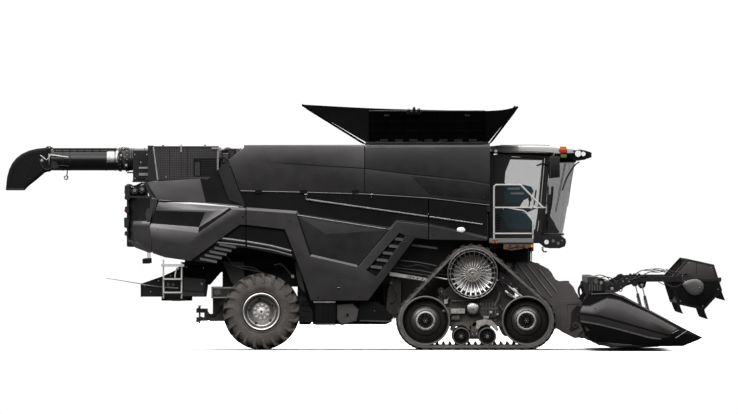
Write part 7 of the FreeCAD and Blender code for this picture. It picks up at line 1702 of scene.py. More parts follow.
for yy in (-3.24, -2.16, -1.08, 0.0, 1.08, 2.16, 3.24):
    big = abs(yy) in (0.0, 2.16)
    for k in range(6):
        q = math.radians(107.5 + 60 * k)
        c, s_ = math.cos(q), math.sin(q)
        w0, w1 = (0.034, 0.020) if big else (0.026, 0.016)
        p0, p1 = (RX + 0.07 * c, RZ + 0.07 * s_), (RX + 0.478 * c, RZ + 0.478 * s_)
        rc.hull2([(p0[0] - s_ * w0, yy - 0.008, p0[1] + c * w0), (p0[0] + s_ * w0, yy - 0.008, p0[1] - c * w0), (p0[0] + s_ * w0, yy + 0.008, p0[1] - c * w0), (p0[0] - s_ * w0, yy + 0.008, p0[1] + c * w0)],
                 [(p1[0] - s_ * w1, yy - 0.008, p1[1] + c * w1), (p1[0] + s_ * w1, yy - 0.008, p1[1] - c * w1), (p1[0] + s_ * w1, yy + 0.008, p1[1] - c * w1), (p1[0] - s_ * w1, yy + 0.008, p1[1] + c * w1)], 1)
    rc.lathe([(0.078, yy - 0.03), (0.115, yy - 0.012), (0.115, yy + 0.012), (0.078, yy + 0.03)], RX, RZ, 24, 1)
rc.obj("reel_body", ["shield", "frame_grey", "steel", "matte_black_and_shade"], "reel", slot="frame_paint", bevel=0.0018, seg=2, replaces="reel_core")

tb_ = Bag()
for k, (x, z) in enumerate(HV):
    bx, bz = RX + (x - RX) * 0.945, RZ + (z - RZ) * 0.945
    tb_.cyl((bx, -4.3195, bz), (bx, 4.3195, bz), 0.019, 16, 0)
    n = 56
    for i in range(n):
        y = -4.262 + 8.524 * i / (n - 1)
        if min(abs(y - q) for q in (-3.24, -2.16, -1.08, 0.0, 1.08, 2.16, 3.24)) < 0.03:
            y += 0.045
        tb_.cyl((bx, y - 0.018, bz), (bx, y + 0.018, bz), 0.027, 8, 1)
        for q in (-1, 1):
            tb_.tube([(bx + 0.010, y + q * 0.030, bz - 0.010), (bx + 0.024, y + q * 0.034, bz - 0.060), (bx + 0.052, y + q * 0.038, bz - 0.135), (bx + 0.084, y + q * 0.041, bz - 0.205)],
                     [0.0065, 0.006, 0.0055, 0.0035], 5, 1)
tb_.obj("reel_tines", ["frame_grey", "plastic"], "reel", slot="frame_paint", replaces="reel_tine_bars")

# lifting and reel cylinders with glands, ports and pins
lc, lr_ = Bag(), Bag()
for s in (-1, 1):
    y = s * 0.559
    a0, e0 = Vector((2.5402, y, 0.7252)), Vector((3.5986, y, 0.3724))
    u = (e0 - a0).normalized()
    lc.cyl(a0 + u * 0.030, a0 + u * 0.700, 0.062, 32, 0)
    lc.cyl(a0 + u * 0.700, a0 + u * 0.728, 0.066, 32, 1)
    lc.cyl(a0 + u * 0.090, a0 + u * 0.115, 0.068, 32, 0)
    lc.lathe([(0.0, y - 0.096), (0.025, y - 0.096), (0.025, y - 0.058), (0.055, y - 0.058), (0.055, y + 0.058), (0.025, y + 0.058), (0.025, y + 0.096), (0.0, y + 0.096)], 2.5402, 0.7252, 28, 1)
    n_ = u.cross(Vector((0, 1, 0))).normalized()
    lc.cyl(a0 + u * 0.16 + n_ * 0.055, a0 + u * 0.16 + n_ * 0.082, 0.018, 12, 1)
    lr_.cyl(a0 + u * 0.110, e0 - u * 0.03, 0.038, 28, 0)
    lr_.lathe([(0.0, y - 0.084), (0.024, y - 0.084), (0.024, y - 0.046), (0.048, y - 0.046), (0.048, y + 0.046), (0.024, y + 0.046), (0.024, y + 0.084), (0.0, y + 0.084)], 3.5986, 0.3724, 28, 1)
lc.obj("lift_cylinder_barrels", ["frame", "cast"], "lift_cylinders", slot="frame_paint", bevel=0.0015, seg=1, replaces="lift_barrels")
lr_.obj("lift_cylinder_rods_polished", ["rod", "cast"], "lift_cylinder_rods", slot="bright_steel", bevel=0.001, seg=1, replaces="lift_rods")
rb_, rr_ = Bag(), Bag()
for s in (-1, 1):
    y = s * 4.405
    a0, e0 = Vector((5.5894, y, 0.7505)), Vector((5.4539, y, 1.2849))
    u = (e0 - a0).normalized()
    n_ = u.cross(Vector((0, 1, 0))).normalized()
    rb_.cyl(a0 + u * 0.024, a0 + u * 0.335, 0.0255, 24, 0)
    rb_.cyl(a0 + u * 0.318, a0 + u * 0.338, 0.029, 24, 1)
    rb_.lathe([(0.0165, y - 0.013), (0.028, y - 0.013), (0.028, y + 0.013), (0.0165, y + 0.013)], 5.5894, 0.7505, 24, 1)
    rb_.tube([a0 + u * 0.30 + n_ * 0.030, a0 + u * 0.20 + n_ * 0.036, a0 + u * 0.07 + n_ * 0.034], 0.006, 8, 1)
    rr_.cyl(a0 + u * 0.175, e0 - u * 0.012, 0.0115, 20, 0)
    rr_.lathe([(0.008, y - 0.0135), (0.018, y - 0.0135), (0.018, y + 0.0135), (0.008, y + 0.0135)], 5.4539, 1.2849, 24, 1)
    rr_.cyl((5.4539, s * 4.386, 1.2849), (5.4539, s * 4.419, 1.2849), 0.0078, 14, 1)
rb_.obj("reel_cylinder_barrels", ["frame_grey", "cast"], "reel_cylinders", slot="frame_paint", bevel=0.001, seg=1, replaces="reel_barrels")
rr_.obj("reel_cylinder_rods_polished", ["rod", "steel"], "reel_cylinder_rods", slot="bright_steel", bevel=0.0008, seg=1, replaces="reel_rods")

# feeder house: pressed top, side ribs, adaptor frame, drive cover, hose loop
fh = Bag()
for s in (-1, 1):
    Y = lambda d: s * d
    fh.prism([(2.795, 1.7248), (2.893, 1.7954), (3.0302, 1.7875), (3.5006, 1.615), (3.6378, 1.5406), (3.7632, 1.3485), (3.873, 1.2858), (4.0298, 1.3014), (4.12, 1.2113), (4.2062, 1.0192), (4.2454, 0.9212), (3.9318, 0.9212), (3.5986, 0.5684), (3.5202, 0.6272), (2.8734, 1.4896)], Y(0.699), Y(0.706), 0)
    fh.prism([(3.9044, 0.9604), (4.3748, 0.9682), (4.3865, 0.9016), (4.0494, 0.8938), (4.0337, 0.392), (4.3865, 0.3802), (4.3865, 0.243), (4.1866, 0.2234), (3.924, 0.3528)], Y(0.698), Y(0.716), 3)
    fh.prism([(4.1278, 0.7448), (4.2258, 0.8624), (4.3434, 0.8624), (4.3748, 0.7644), (4.2846, 0.6272), (4.2532, 0.4508), (4.1592, 0.3528), (4.0886, 0.3724), (4.12, 0.5488)], Y(0.716), Y(0.728), 1)
    fh.cyl((4.2062, Y(0.716), 0.4822), (4.2062, Y(0.744), 0.4822), 0.060, 28, 2)
    fh.cyl((4.2062, Y(0.742), 0.4822), (4.2062, Y(0.752), 0.4822), 0.032, 24, 1)
    for (ax_, az_), (bx_, bz_) in (((3.0302, 1.7248), (3.5986, 0.98)), ((3.2458, 1.6778), (3.7358, 1.0388)), ((3.481, 1.5876), (3.8338, 1.1368))):
        fh.tube([(ax_, Y(0.704), az_), (bx_, Y(0.704), bz_)], 0.020, 8, 0)
    fh.cyl((2.893, Y(0.70), 1.666), (2.893, Y(0.714), 1.666), 0.150, 40, 0)
    for k in range(8):
        q = 2 * math.pi * k / 8
        fh.bolt((2.893 + 0.115 * math.cos(q), Y(0.714), 1.666 + 0.115 * math.sin(q)), (0, s, 0), 0.011, 0.008, 2)
    for x, z in ((3.6378, 1.4504), (3.8926, 1.2152), (4.0102, 0.9996), (3.1086, 1.6072), (3.3438, 1.3132), (3.5202, 1.0584), (3.677, 0.8232)):
        fh.bolt((x, Y(0.706), z), (0, s, 0), 0.013, 0.008, 2)
    # lugs of the lifting cylinder pins
    fh.cyl((3.5986, Y(0.470), 0.3724), (3.5986, Y(0.479), 0.3724), 0.052, 24, 2)
    fh.tube(curve([(4.5198, Y(0.76), 1.2936), (4.3826, Y(0.80), 1.3054), (4.2964, Y(0.80), 1.223), (4.2807, Y(0.79), 1.1172), (4.3277, Y(0.77), 0.9996), (4.363, Y(0.73), 0.9134)], 6), 0.014, 8, 4)
    fh.tube(curve([(4.508, Y(0.70), 1.2348), (4.4688, Y(0.74), 1.1564), (4.4571, Y(0.74), 1.0388), (4.4022, Y(0.72), 0.9212)], 5), 0.012, 8, 4)
    fh.tube(curve([(4.3434, Y(0.73), 0.3724), (4.265, Y(0.76), 0.2744), (4.3434, Y(0.76), 0.2274), (4.4218, Y(0.74), 0.2744)], 5), 0.012, 8, 4)
# pressed bands across the top of the house
for (x0, z0), (x1, z1) in (((3.0498, 1.8444), (3.1086, 1.8228)), ((3.2458, 1.7718), (3.3046, 1.7483)), ((3.4418, 1.6974), (3.5006, 1.6758)), ((3.7162, 1.5288), (3.7554, 1.4661)), ((4.2376, 1.0858), (4.2768, 1.0035))):
    fh.obox(((x0 + x1) / 2, 0, (z0 + z1) / 2), ((x1 - x0) / 2, 0, (z1 - z0) / 2), (0, 0.69, 0), (0.004, 0, 0.012), 0)
for i in range(9):
    y = -0.56 + 0.14 * i
    fh.cyl((4.069, y, 1.3132), (4.069, y, 1.3289 + 0.02), 0.018, 12, 2)
fh.obj("feeder_house_pressings", ["feederpaint", "plastic", "cast", "feederpaint", "hose"], "feeder", slot="body_paint", bevel=0.003, seg=2)


# ------------------------------------------------------------------ unloading tube, spout, screen housing
TY, TZ, TR = 1.420, 3.7432, 0.220


def arc_patch(bag, x0, x1, r0, r1, a0, a1, n, mat, cy=TY, cz=TZ):
    """Curved plate wrapped round a tube that runs along X."""
    v, f = [], []
    for i in range(n + 1):
        a = math.radians(a0 + (a1 - a0) * i / n)
        for x, r in ((x0, r0), (x1, r0), (x1, r1), (x0, r1)):
            v.append((x, cy + r * math.cos(a), cz + r * math.sin(a)))
    for i in range(n):
        for j in range(4):
            f.append((i * 4 + j, i * 4 + (j + 1) % 4, (i + 1) * 4 + (j + 1) % 4, (i + 1) * 4 + j))
    f += [(0, 1, 2, 3), (n * 4 + 3, n * 4 + 2, n * 4 + 1, n * 4)]
    return bag.add(v, f, mat)


tu = Bag()
tu.cyl((-6.1405, TY, TZ), (2.1926, TY, TZ), TR - 0.0015, 64, 0)
for x0, x1, r in ((-4.7993, -4.7715, 0.236), (-4.7636, -4.7437, 0.244), (-4.6604, -4.6405, 0.244), (-4.6326, -4.6009, 0.236), (-4.2953, -4.2755, 0.230),
                  (-2.4104, -2.3708, 0.230), (-0.6248, -0.5851, 0.230), (1.3593, 1.399, 0.236)):
    tu.cyl((x0, TY, TZ), (x1, TY, TZ), r, 56, 1)
for k in range(16):
    q = 2 * math.pi * k / 16
    for x, d in ((-4.7636, -1), (-4.6405, 1)):
        tu.bolt((x, TY + 0.232 * math.cos(q), TZ + 0.232 * math.sin(q)), (d, 0, 0), 0.010, 0.010, 2)
# folding joint: hinge lug, latch hook and strap between the flanges
tu.prism([(-4.7596, 3.9178), (-4.7397, 3.9813), (-4.704, 3.9952), (-4.6723, 3.9853), (-4.6445, 3.9258)], TY - 0.10, TY + 0.10, 1)
tu.cyl((-4.704, TY - 0.12, 3.9615), (-4.704, TY + 0.12, 3.9615), 0.026, 20, 2)
tu.hull2([(-4.7913, TY - 0.226, 3.8742), (-4.7437, TY - 0.226, 3.894), (-4.7437, TY - 0.252, 3.894), (-4.7913, TY - 0.252, 3.8742)],
         [(-4.6802, TY - 0.226, 3.5766), (-4.6207, TY - 0.226, 3.5964), (-4.6207, TY - 0.252, 3.5964), (-4.6802, TY - 0.252, 3.5766)], 1)
tu.cyl((-4.7516, TY - 0.226, 3.8266), (-4.7516, TY - 0.262, 3.8266), 0.024, 20, 2)
tu.cyl((-4.6485, TY - 0.226, 3.6282), (-4.6485, TY - 0.262, 3.6282), 0.024, 20, 2)
tu.tube(curve([(-4.5731, TY - 0.236, 3.9218), (-4.6405, TY - 0.262, 3.9536), (-4.712, TY - 0.258, 3.9337), (-4.7913, TY - 0.258, 3.8821), (-4.8191, TY - 0.250, 3.775), (-4.7993, TY - 0.244, 3.6163)], 6), 0.009, 8, 3)
for i in range(3):
    arc_patch(tu, -4.5969 + 0.042 * i, -4.5969 + 0.042 * i + 0.022, TR - 0.004, TR + 0.006, 90, 270, 24, 1)
# bright sleeve plate and strap rings on the long part
arc_patch(tu, -5.0493, -4.8032, TR - 0.003, TR + 0.0035, 128, 196, 20, 4)
for x in (-5.9024, -5.7635, -5.0413, -4.8707):
    arc_patch(tu, x - 0.010, x + 0.010, TR - 0.003, TR + 0.004, 60, 300, 36, 1)
for q in (132, 162, 192):
    for x in (-5.0215, -4.831):
        a = math.radians(q)
        tu.bolt((x, TY + (TR + 0.0035) * math.cos(a), TZ + (TR + 0.0035) * math.sin(a)), (0, math.cos(a), math.sin(a)), 0.009, 0.006, 2)
# rail with brackets along the top
tu.cyl((-6.1008, TY - 0.085, TZ + TR - 0.010), (-4.8389, TY - 0.085, TZ + TR - 0.010), 0.0165, 12, 5)
tu.cyl((-6.0611, TY - 0.150, TZ + TR - 0.050), (-4.8509, TY - 0.150, TZ + TR - 0.050), 0.0095, 10, 3)
for i in range(9):
    x = -6.0611 + i * 0.148
    tu.box(x - 0.012, x + 0.012, TY - 0.165, TY - 0.06, TZ + TR - 0.058, TZ + TR - 0.002, 1)
# work lamp hanging on an arm
tu.tube([(-5.8191, TY - 0.10, 3.5607), (-5.8151, TY - 0.12, 3.4972), (-5.827, TY - 0.12, 3.4139)], 0.012, 8, 1)
tu.prism([(-5.8786, 3.4139), (-5.8191, 3.4298), (-5.7953, 3.406), (-5.7992, 3.3544), (-5.827, 3.3345), (-5.8746, 3.3464), (-5.8865, 3.3821)], TY - 0.165, TY - 0.075, 3)
tu.prism([(-5.8707, 3.398), (-5.823, 3.4099), (-5.8151, 3.3583), (-5.8627, 3.3544)], TY - 0.170, TY - 0.164, 6)
tu.cyl((-5.831, TY - 0.09, 3.4139), (-5.831, TY - 0.13, 3.4139), 0.016, 12, 2)
# elbow at the turret: ribs and clamp
tu.lathe([(0.0, TY - 0.2195), (0.08, TY - 0.2195), (0.15, TY - 0.16), (0.20, TY - 0.08), (0.2185, TY), (0.20, TY + 0.08), (0.15, TY + 0.16), (0.08, TY + 0.2195), (0.0, TY + 0.2195)], 2.2124, TZ, 40, 0)
tu.cyl((2.2124, TY, TZ), (2.2124, TY, 3.279), TR - 0.001, 56, 0)
tu.cyl((2.2124, TY, 3.281), (2.2124, TY, 3.3187), 0.2365, 56, 1)
for k in range(14):
    q = 2 * math.pi * (k + 0.5) / 14
    tu.bolt((2.2124 + 0.229 * math.cos(q), TY + 0.229 * math.sin(q), 3.3187), (0, 0, 1), 0.010, 0.010, 2)
tu.obj("unload_tube_rails_flanges", ["tubepaint", "plastic", "steel", "hose", "dull_silver_and_highlight", "tubepaint", "lamp"], "unloader", slot="body_paint", bevel=0.002, seg=1, replaces="unload_tube")

# spout: rounded rubber-edged hood with a clamp ring and struts
sp = Bag()
SO = [(-6.1405, 3.9694), (-6.2595, 3.9754), (-6.4183, 3.9575), (-6.577, 3.9178), (-6.7159, 3.8544), (-6.823, 3.771), (-6.9063, 3.6679), (-6.9659, 3.5448), (-7.0056, 3.398), (-7.0333, 3.1401), (-6.6564, 3.1401), (-6.5869, 3.2155), (-6.4183, 3.3484), (-6.2595, 3.4853), (-6.1405, 3.5171)]
SI = [(-6.1405, 3.9417), (-6.2595, 3.9436), (-6.4103, 3.9278), (-6.5572, 3.8901), (-6.696, 3.8286), (-6.7992, 3.7492), (-6.8786, 3.652), (-6.9361, 3.5369), (-6.9758, 3.3901), (-7.0056, 3.1322), (-6.6802, 3.1322), (-6.6087, 3.2353), (-6.4381, 3.3722), (-6.2714, 3.5131), (-6.1405, 3.5448)]
for s in (-1, 1):
    n = len(SO)
    loops = []
    for w, d in ((0.0, 0.150), (0.0, 0.160), (0.004, 0.188), (0.014, 0.206), (0.028, 0.216), (0.050, 0.2215), (0.075, 0.2222)):
        lp = []
        for i, (x, z) in enumerate(SO):
            a, b = SO[i - 1], SO[(i + 1) % n]
            t = Vector((b[0] - a[0], b[1] - a[1])).normalized()
            nrm = Vector((t.y, -t.x))
            mx, mz = SI[i]
            if nrm.x * (mx - x) + nrm.y * (mz - z) < 0:
                nrm = -nrm
            ww = 0.0 if i in (0, 9, 10, n - 1) else w
            lp.append((x + nrm.x * ww, TY + s * d, z + nrm.y * ww))
        loops.append(lp)
    v = [p for lp in loops for p in lp]
    inner = [(x, TY + s * 0.150, z) for x, z in SI]
    inner2 = [(x, TY + s * 0.206, z) for x, z in SI]
    # outside skin
    f = []
    for j in range(len(loops) - 1):
        for i in range(n):
            f.append((j * n + i, j * n + (i + 1) % n, (j + 1) * n + (i + 1) % n, (j + 1) * n + i))
    f.append(tuple((len(loops) - 1) * n + i for i in range(n)))
    o = len(v)
    v += inner + inner2
    for i in range(n):
        k = (i + 1) % n
        f.append((o + i, o + k, o + n + k, o + n + i))
        f.append((i, k, o + k, o + i))
    f.append(tuple(o + n + i for i in range(n - 1, -1, -1)))
    sp.add(v, f, 0)
n = len(SO)
for i in range(n - 1):
    if i == 9:
        continue
    k = i + 1
    sp.add([(SO[i][0], TY - 0.150, SO[i][1]), (SO[k][0], TY - 0.150, SO[k][1]), (SI[k][0], TY - 0.150, SI[k][1]), (SI[i][0], TY - 0.150, SI[i][1]),
            (SO[i][0], TY + 0.150, SO[i][1]), (SO[k][0], TY + 0.150, SO[k][1]), (SI[k][0], TY + 0.150, SI[k][1]), (SI[i][0], TY + 0.150, SI[i][1])],
           [(0, 1, 2, 3), (7, 6, 5, 4), (0, 4, 5, 1), (1, 5, 6, 2), (2, 6, 7, 3), (3, 7, 4, 0)], 0)
# pressed seam and rubber lip
for s in (-1, 1):
    y = TY + s * 0.2222
    sp.tube([(x, y, z) for x, z in [(-6.2992, 3.8861), (-6.4183, 3.8663), (-6.5452, 3.8305), (-6.6643, 3.775), (-6.7635, 3.7036), (-6.8349, 3.6163), (-6.8905, 3.5091), (-6.9262, 3.3782), (-6.95, 3.1996)]], 0.006, 6, 0)
    sp.box(-7.0254, -6.6603, y - 0.004, y + 0.004, 3.1421, 3.1758, 1)
    sp.tube([(x, y, z) for x, z in [(-6.4183, 3.8583), (-6.4976, 3.6163), (-6.6365, 3.3187)]], 0.007, 6, 0)
    sp.cyl((-6.3191, TY + s * 0.20, 3.7254), (-6.3191, TY + s * 0.236, 3.7254), 0.050, 24, 1)
    sp.cyl((-6.3191, TY + s * 0.236, 3.7254), (-6.3191, TY + s * 0.244, 3.7254), 0.024, 20, 2)
sp.obj("unload_spout_hood", ["spoutrub", "hose", "steel"], "unloader", slot="dark_plastic", bevel=0.003, seg=1, replaces="unload_spout")
sc = Bag()
sc.cyl((-6.1961, TY, TZ), (-6.1524, TY, TZ), 0.2425, 56, 0)
arc_patch(sc, -6.1822, -6.1663, 0.240, 0.2475, 100, 215, 32, 1)
for s in (-1, 1):
    sc.tube([(-6.3508, TY + s * 0.226, 3.8266), (-6.2318, TY + s * 0.240, 3.7353)], 0.015, 8, 1)
    sc.tube([(-6.1484, TY + s * 0.226, 3.8305), (-5.7913, TY + s * 0.205, 3.7829)], [0.020, 0.016], 10, 1)
    sc.tube([(-6.2278, TY + s * 0.236, 3.7234), (-6.1405, TY + s * 0.236, 3.8226)], 0.010, 8, 2)
    sc.cyl((-6.1484, TY + s * 0.20, 3.8305), (-6.1484, TY + s * 0.25, 3.8305), 0.024, 16, 2)
    sc.prism([(-6.1207, 3.7155), (-6.0215, 3.6837), (-5.9818, 3.5845), (-6.081, 3.5567), (-6.1445, 3.6163)], TY + s * 0.205, TY + s * 0.232, 0)
    sc.tube(curve([(-6.3389, TY + s * 0.228, 3.6758), (-6.2873, TY + s * 0.240, 3.5766), (-6.2119, TY + s * 0.244, 3.5448), (-6.1207, TY + s * 0.236, 3.5766), (-5.9818, TY + s * 0.216, 3.6242),
                   (-5.7834, TY + s * 0.214, 3.6083)], 5), 0.009, 8, 3)
sc.prism([(-6.2516, 3.9655), (-6.2238, 4.0012), (-6.1643, 4.0051), (-6.1088, 3.9813), (-6.073, 3.9337), (-6.1802, 3.9337)], TY - 0.03, TY + 0.03, 0)
for k in range(12):
    q = 2 * math.pi * k / 12
    sc.bolt((-6.1961, TY + 0.232 * math.cos(q), TZ + 0.232 * math.sin(q)), (-1, 0, 0), 0.009, 0.008, 2)
sc.obj("spout_clamp_struts", ["plastic", "dull_silver_and_highlight", "steel", "hose"], "unloader", slot="dark_plastic", bevel=0.0015, seg=1)

# cradle straps
cr = Bag()
cr.box(-4.5158, -4.2022, 1.130, 1.146, 3.3124, 3.9082, 0)
for i in range(4):
    cr.box(-4.4884 + 0.076 * i, -4.4884 + 0.076 * i + 0.030, 1.122, 1.131, 3.332, 3.8808, 0)
cr.box(-4.3982, -4.1042, 1.108, 1.128, 3.5594, 3.5946, 1)
cr.box(-4.3982, -4.1983, 1.108, 1.128, 3.4222, 3.4731, 1)
cr.box(-4.5276, -4.1904, 1.108, 1.130, 3.2928, 3.3281, 0)
cr.tube(curve([(-4.4962, 1.12, 3.5084), (-4.4452, 1.11, 3.4104), (-4.3786, 1.112, 3.3712), (-4.2218, 1.12, 3.379)], 5), 0.010, 8, 2)
for x, z in ((-4.4766, 3.8416), (-4.2414, 3.8416), (-4.4766, 3.3712), (-4.2414, 3.3712), (-4.359, 3.6848)):
    cr.bolt((x, 1.130, z), (0, -1, 0), 0.014, 0.010, 3)
cr.prism([(-4.6326, 3.4972), (-4.1961, 3.4972), (-4.1961, 3.4694), (-4.6326, 3.4694)], 1.20, 1.62, 0)
cr.obj("tube_cradle_straps", ["plastic", "dull_silver_and_highlight", "hose", "steel"], "chassis", slot="frame_paint", bevel=0.002, seg=1)

# rotary screen housing at the rear top
rs = Bag()
rs.prism([(-4.1885, 4.0082), (-4.0768, 4.0082), (-4.0728, 3.92), (-3.9905, 3.3242), (-4.1885, 3.3163)], -1.5586, -1.5302, 0)
rs.box(-4.1434, -2.8126, -1.5479, -1.5122, 3.3144, 3.9964, 1)
rs.box(-4.1904, -4.1356, -1.512, 1.139, 3.3144, 3.9964, 0)
rs.box(-4.1434, -2.8126, 1.101, 1.1395, 3.3144, 3.9964, 0)
rs.box(-4.1434, -2.8126, -1.512, 1.10, 3.9612, 3.9964, 0)
rs.box(-2.8655, -2.8126, -1.512, 1.10, 3.3144, 3.9572, 0)
# slanted light bar, posts, rim rails
rs.hull2([(-4.0924, -1.559, 3.9788), (-4.065, -1.559, 3.9788), (-4.065, -1.566, 3.9788), (-4.0924, -1.566, 3.9788)],
         [(-4.0062, -1.559, 3.332), (-3.9788, -1.559, 3.332), (-3.9788, -1.566, 3.332), (-4.0062, -1.566, 3.332)], 2)
rs.box(-3.5476, -3.5201, -1.566, -1.546, 3.8808, 4.0258, 2)
rs.box(-3.5397, -3.5299, -1.556, -1.546, 3.332, 3.8808, 0)
rs.box(-2.8263, -2.7988, -1.566, -1.546, 3.528, 3.9122, 2)
# pale dull-silver block along the top edge: a painted highlight
rs.box(-2.936, -2.744, -1.572, -1.548, 3.9357, 3.971, 2)
rs.box(-4.0846, -2.8106, -1.556, -1.546, 3.9749, 3.9964, 0)
rs.box(-4.014, -2.8184, -1.554, -1.546, 3.3163, 3.3438, 0)
# near-black plate as painted shade in the window, with slats
rs.box(-3.2928, -2.8498, -1.5500, -1.5470, 3.3986, 3.7554, 3)
for i in range(5):
    x = -3.2614 + 0.020 * i
    rs.box(x, x + 0.009, -1.556, -1.549, 3.4182, 3.6848, 4)
for i in range(10):
    z = 3.4104 + 0.033 * i
    rs.box(-3.1438, -2.8616, -1.5545, -1.5495, z, z + 0.010, 0)
for x, z in ((-3.8886, 4.0023), (-3.0654, 4.0062)):
    rs.cyl((x, -1.50, z - 0.004), (x, -1.50, z + 0.016), 0.020, 14, 0)
# latches and seams of the screen panels
rs.box(-3.7671, -3.7592, -1.5505, -1.5475, 3.3516, 3.9592, 3)
rs.box(-3.4143, -3.4064, -1.5505, -1.5475, 3.3516, 3.9592, 3)
rs.cyl((-3.8298, -1.547, 3.3908), (-3.8298, -1.556, 3.3908), 0.012, 12, 2)
rs.obj("rotary_screen_housing", ["plastic", "perf", "dull_silver_and_highlight", "matte_black_and_shade", "frame_grey"], "chassis", slot="dark_plastic", bevel=0.0025, seg=1, replaces="radiator_housing")


# ------------------------------------------------------------------ rear face, lamps, chopper, axle, hitch
def rear_plan(yo, R, xr, x_end, off, n=12):
    """Half plan of the rounded rear cover from the side edge to the middle, moved outwards by off."""
    out = [(x_end, yo + off)]
    for i in range(n + 1):
        t = math.radians(90.0 * i / n)
        out.append((xr + R - (R + off) * math.sin(t), yo - R + (R + off) * math.cos(t)))
    return out


rv = Bag()
XR, YO, RR = -4.5668, 1.640, 0.330
for s in (-1, 1):
    # lower skirt with its bright crease, wrapping round the corner; the upper recess is near-black as painted shade,
    # and the top edge takes the lighter highlight paint as a painted highlight
    rows = [(2.9831, 0.000, 2), (2.9596, 0.004, 1), (2.5284, -0.014, 1), (2.497, 0.002, 0), (2.4226, 0.006, 0), (2.3834, 0.004, 0), (2.3128, 0.007, 0), (2.156, 0.002, 0), (2.0188, -0.006, 0)]
    plan = {}
    v, f, m = [], [], []
    npl = 0
    for z, off, mt in rows:
        pl = rear_plan(YO, RR, XR, -4.1434, off)
        pl = [(x, y) for x, y in pl] + [(XR - off, 0.60)]
        npl = len(pl)
        for x, y in pl:
            v.append((x, s * y, z))
    for z, off, mt in rows:
        pl = rear_plan(YO, RR, XR, -4.1434, -0.040)
        pl = pl + [(XR + 0.040, 0.60)]
        for x, y in pl:
            v.append((x, s * y, z))
    K = len(rows)
    o = K * npl
    bagf = []
    for j in range(K - 1):
        for i in range(npl - 1):
            bagf.append(((j * npl + i, j * npl + i + 1, (j + 1) * npl + i + 1, (j + 1) * npl + i), rows[j + 1][2]))
            bagf.append(((o + (j + 1) * npl + i, o + (j + 1) * npl + i + 1, o + j * npl + i + 1, o + j * npl + i), 1))
    for j in range(K - 1):
        for i in (0, npl - 1):
            bagf.append(((j * npl + i, (j + 1) * npl + i, o + (j + 1) * npl + i, o + j * npl + i), rows[j + 1][2]))
    for i in range(npl - 1):
        bagf.append(((i, o + i, o + i + 1, i + 1), 2))
        bagf.append((((K - 1) * npl + i, (K - 1) * npl + i + 1, o + (K - 1) * npl + i + 1, o + (K - 1) * npl + i), 0))
    base = len(rv.v)
    rv.v += v
    for fc, mt in bagf:
        rv.f.append(tuple(q + base for q in fc))
        rv.m.append(mt)
    # side cheek in front of the corner, with the light triangle beside the recess
    rv.prism([(-4.1395, 2.9792), (-4.0336, 2.9596), (-3.9984, 2.9008), (-4.1591, 2.4382), (-4.1434, 2.4226)], s * 1.600, s * 1.6385, 0)
    rv.prism([(-4.1552, 2.4186), (-4.1316, 2.4186), (-4.112, 1.909), (-4.1395, 1.9051)], s * 1.600, s * 1.6385, 0)
    rv.prism([(-4.1944, 2.8106), (-4.1395, 2.8812), (-4.1395, 2.4892), (-4.2061, 2.501), (-4.2336, 2.6656)], s * 1.620, s * 1.6365, 0)
    # lower edge sloping up to the rear
    rv.prism([(-4.5628, 2.156), (-4.1434, 2.0306), (-4.1434, 1.8973), (-4.4256, 2.0031), (-4.5746, 2.1286)], s * 1.585, s * 1.630, 0)
# middle of the rear face: grille with slats, plate recess
# near-black backing behind the grille slats: painted shade
rv.box(-4.5824, -4.5276, -0.60, 0.60, 2.0188, 2.9792, 1)
for i in range(15):
    z = 2.058 + 0.060 * i
    rv.obox((-4.5844, 0, z), (0.020, 0, 0.008), (0, 0.585, 0), (-0.003, 0, 0.008), 3)
for y in (-0.595, 0.0, 0.595):
    rv.box(-4.602, -4.555, y - 0.022, y + 0.022, 2.0188, 2.9792, 3)
rv.box(-4.5864, -4.555, -1.10, -0.66, 2.6264, 2.8616, 3)
rv.box(-4.5922, -4.5844, -1.07, -0.69, 2.6538, 2.8342, 4)
rv.box(-4.5864, -4.555, 0.66, 1.10, 2.6264, 2.8616, 3)
rv.obj("rear_cover_skin", ["paint", "matte_black_and_shade", "grey_and_highlight_paint", "plastic", "dull_silver_and_highlight"], "chassis", slot="body_paint", bevel=0.003, seg=2, replaces="rear_cover")

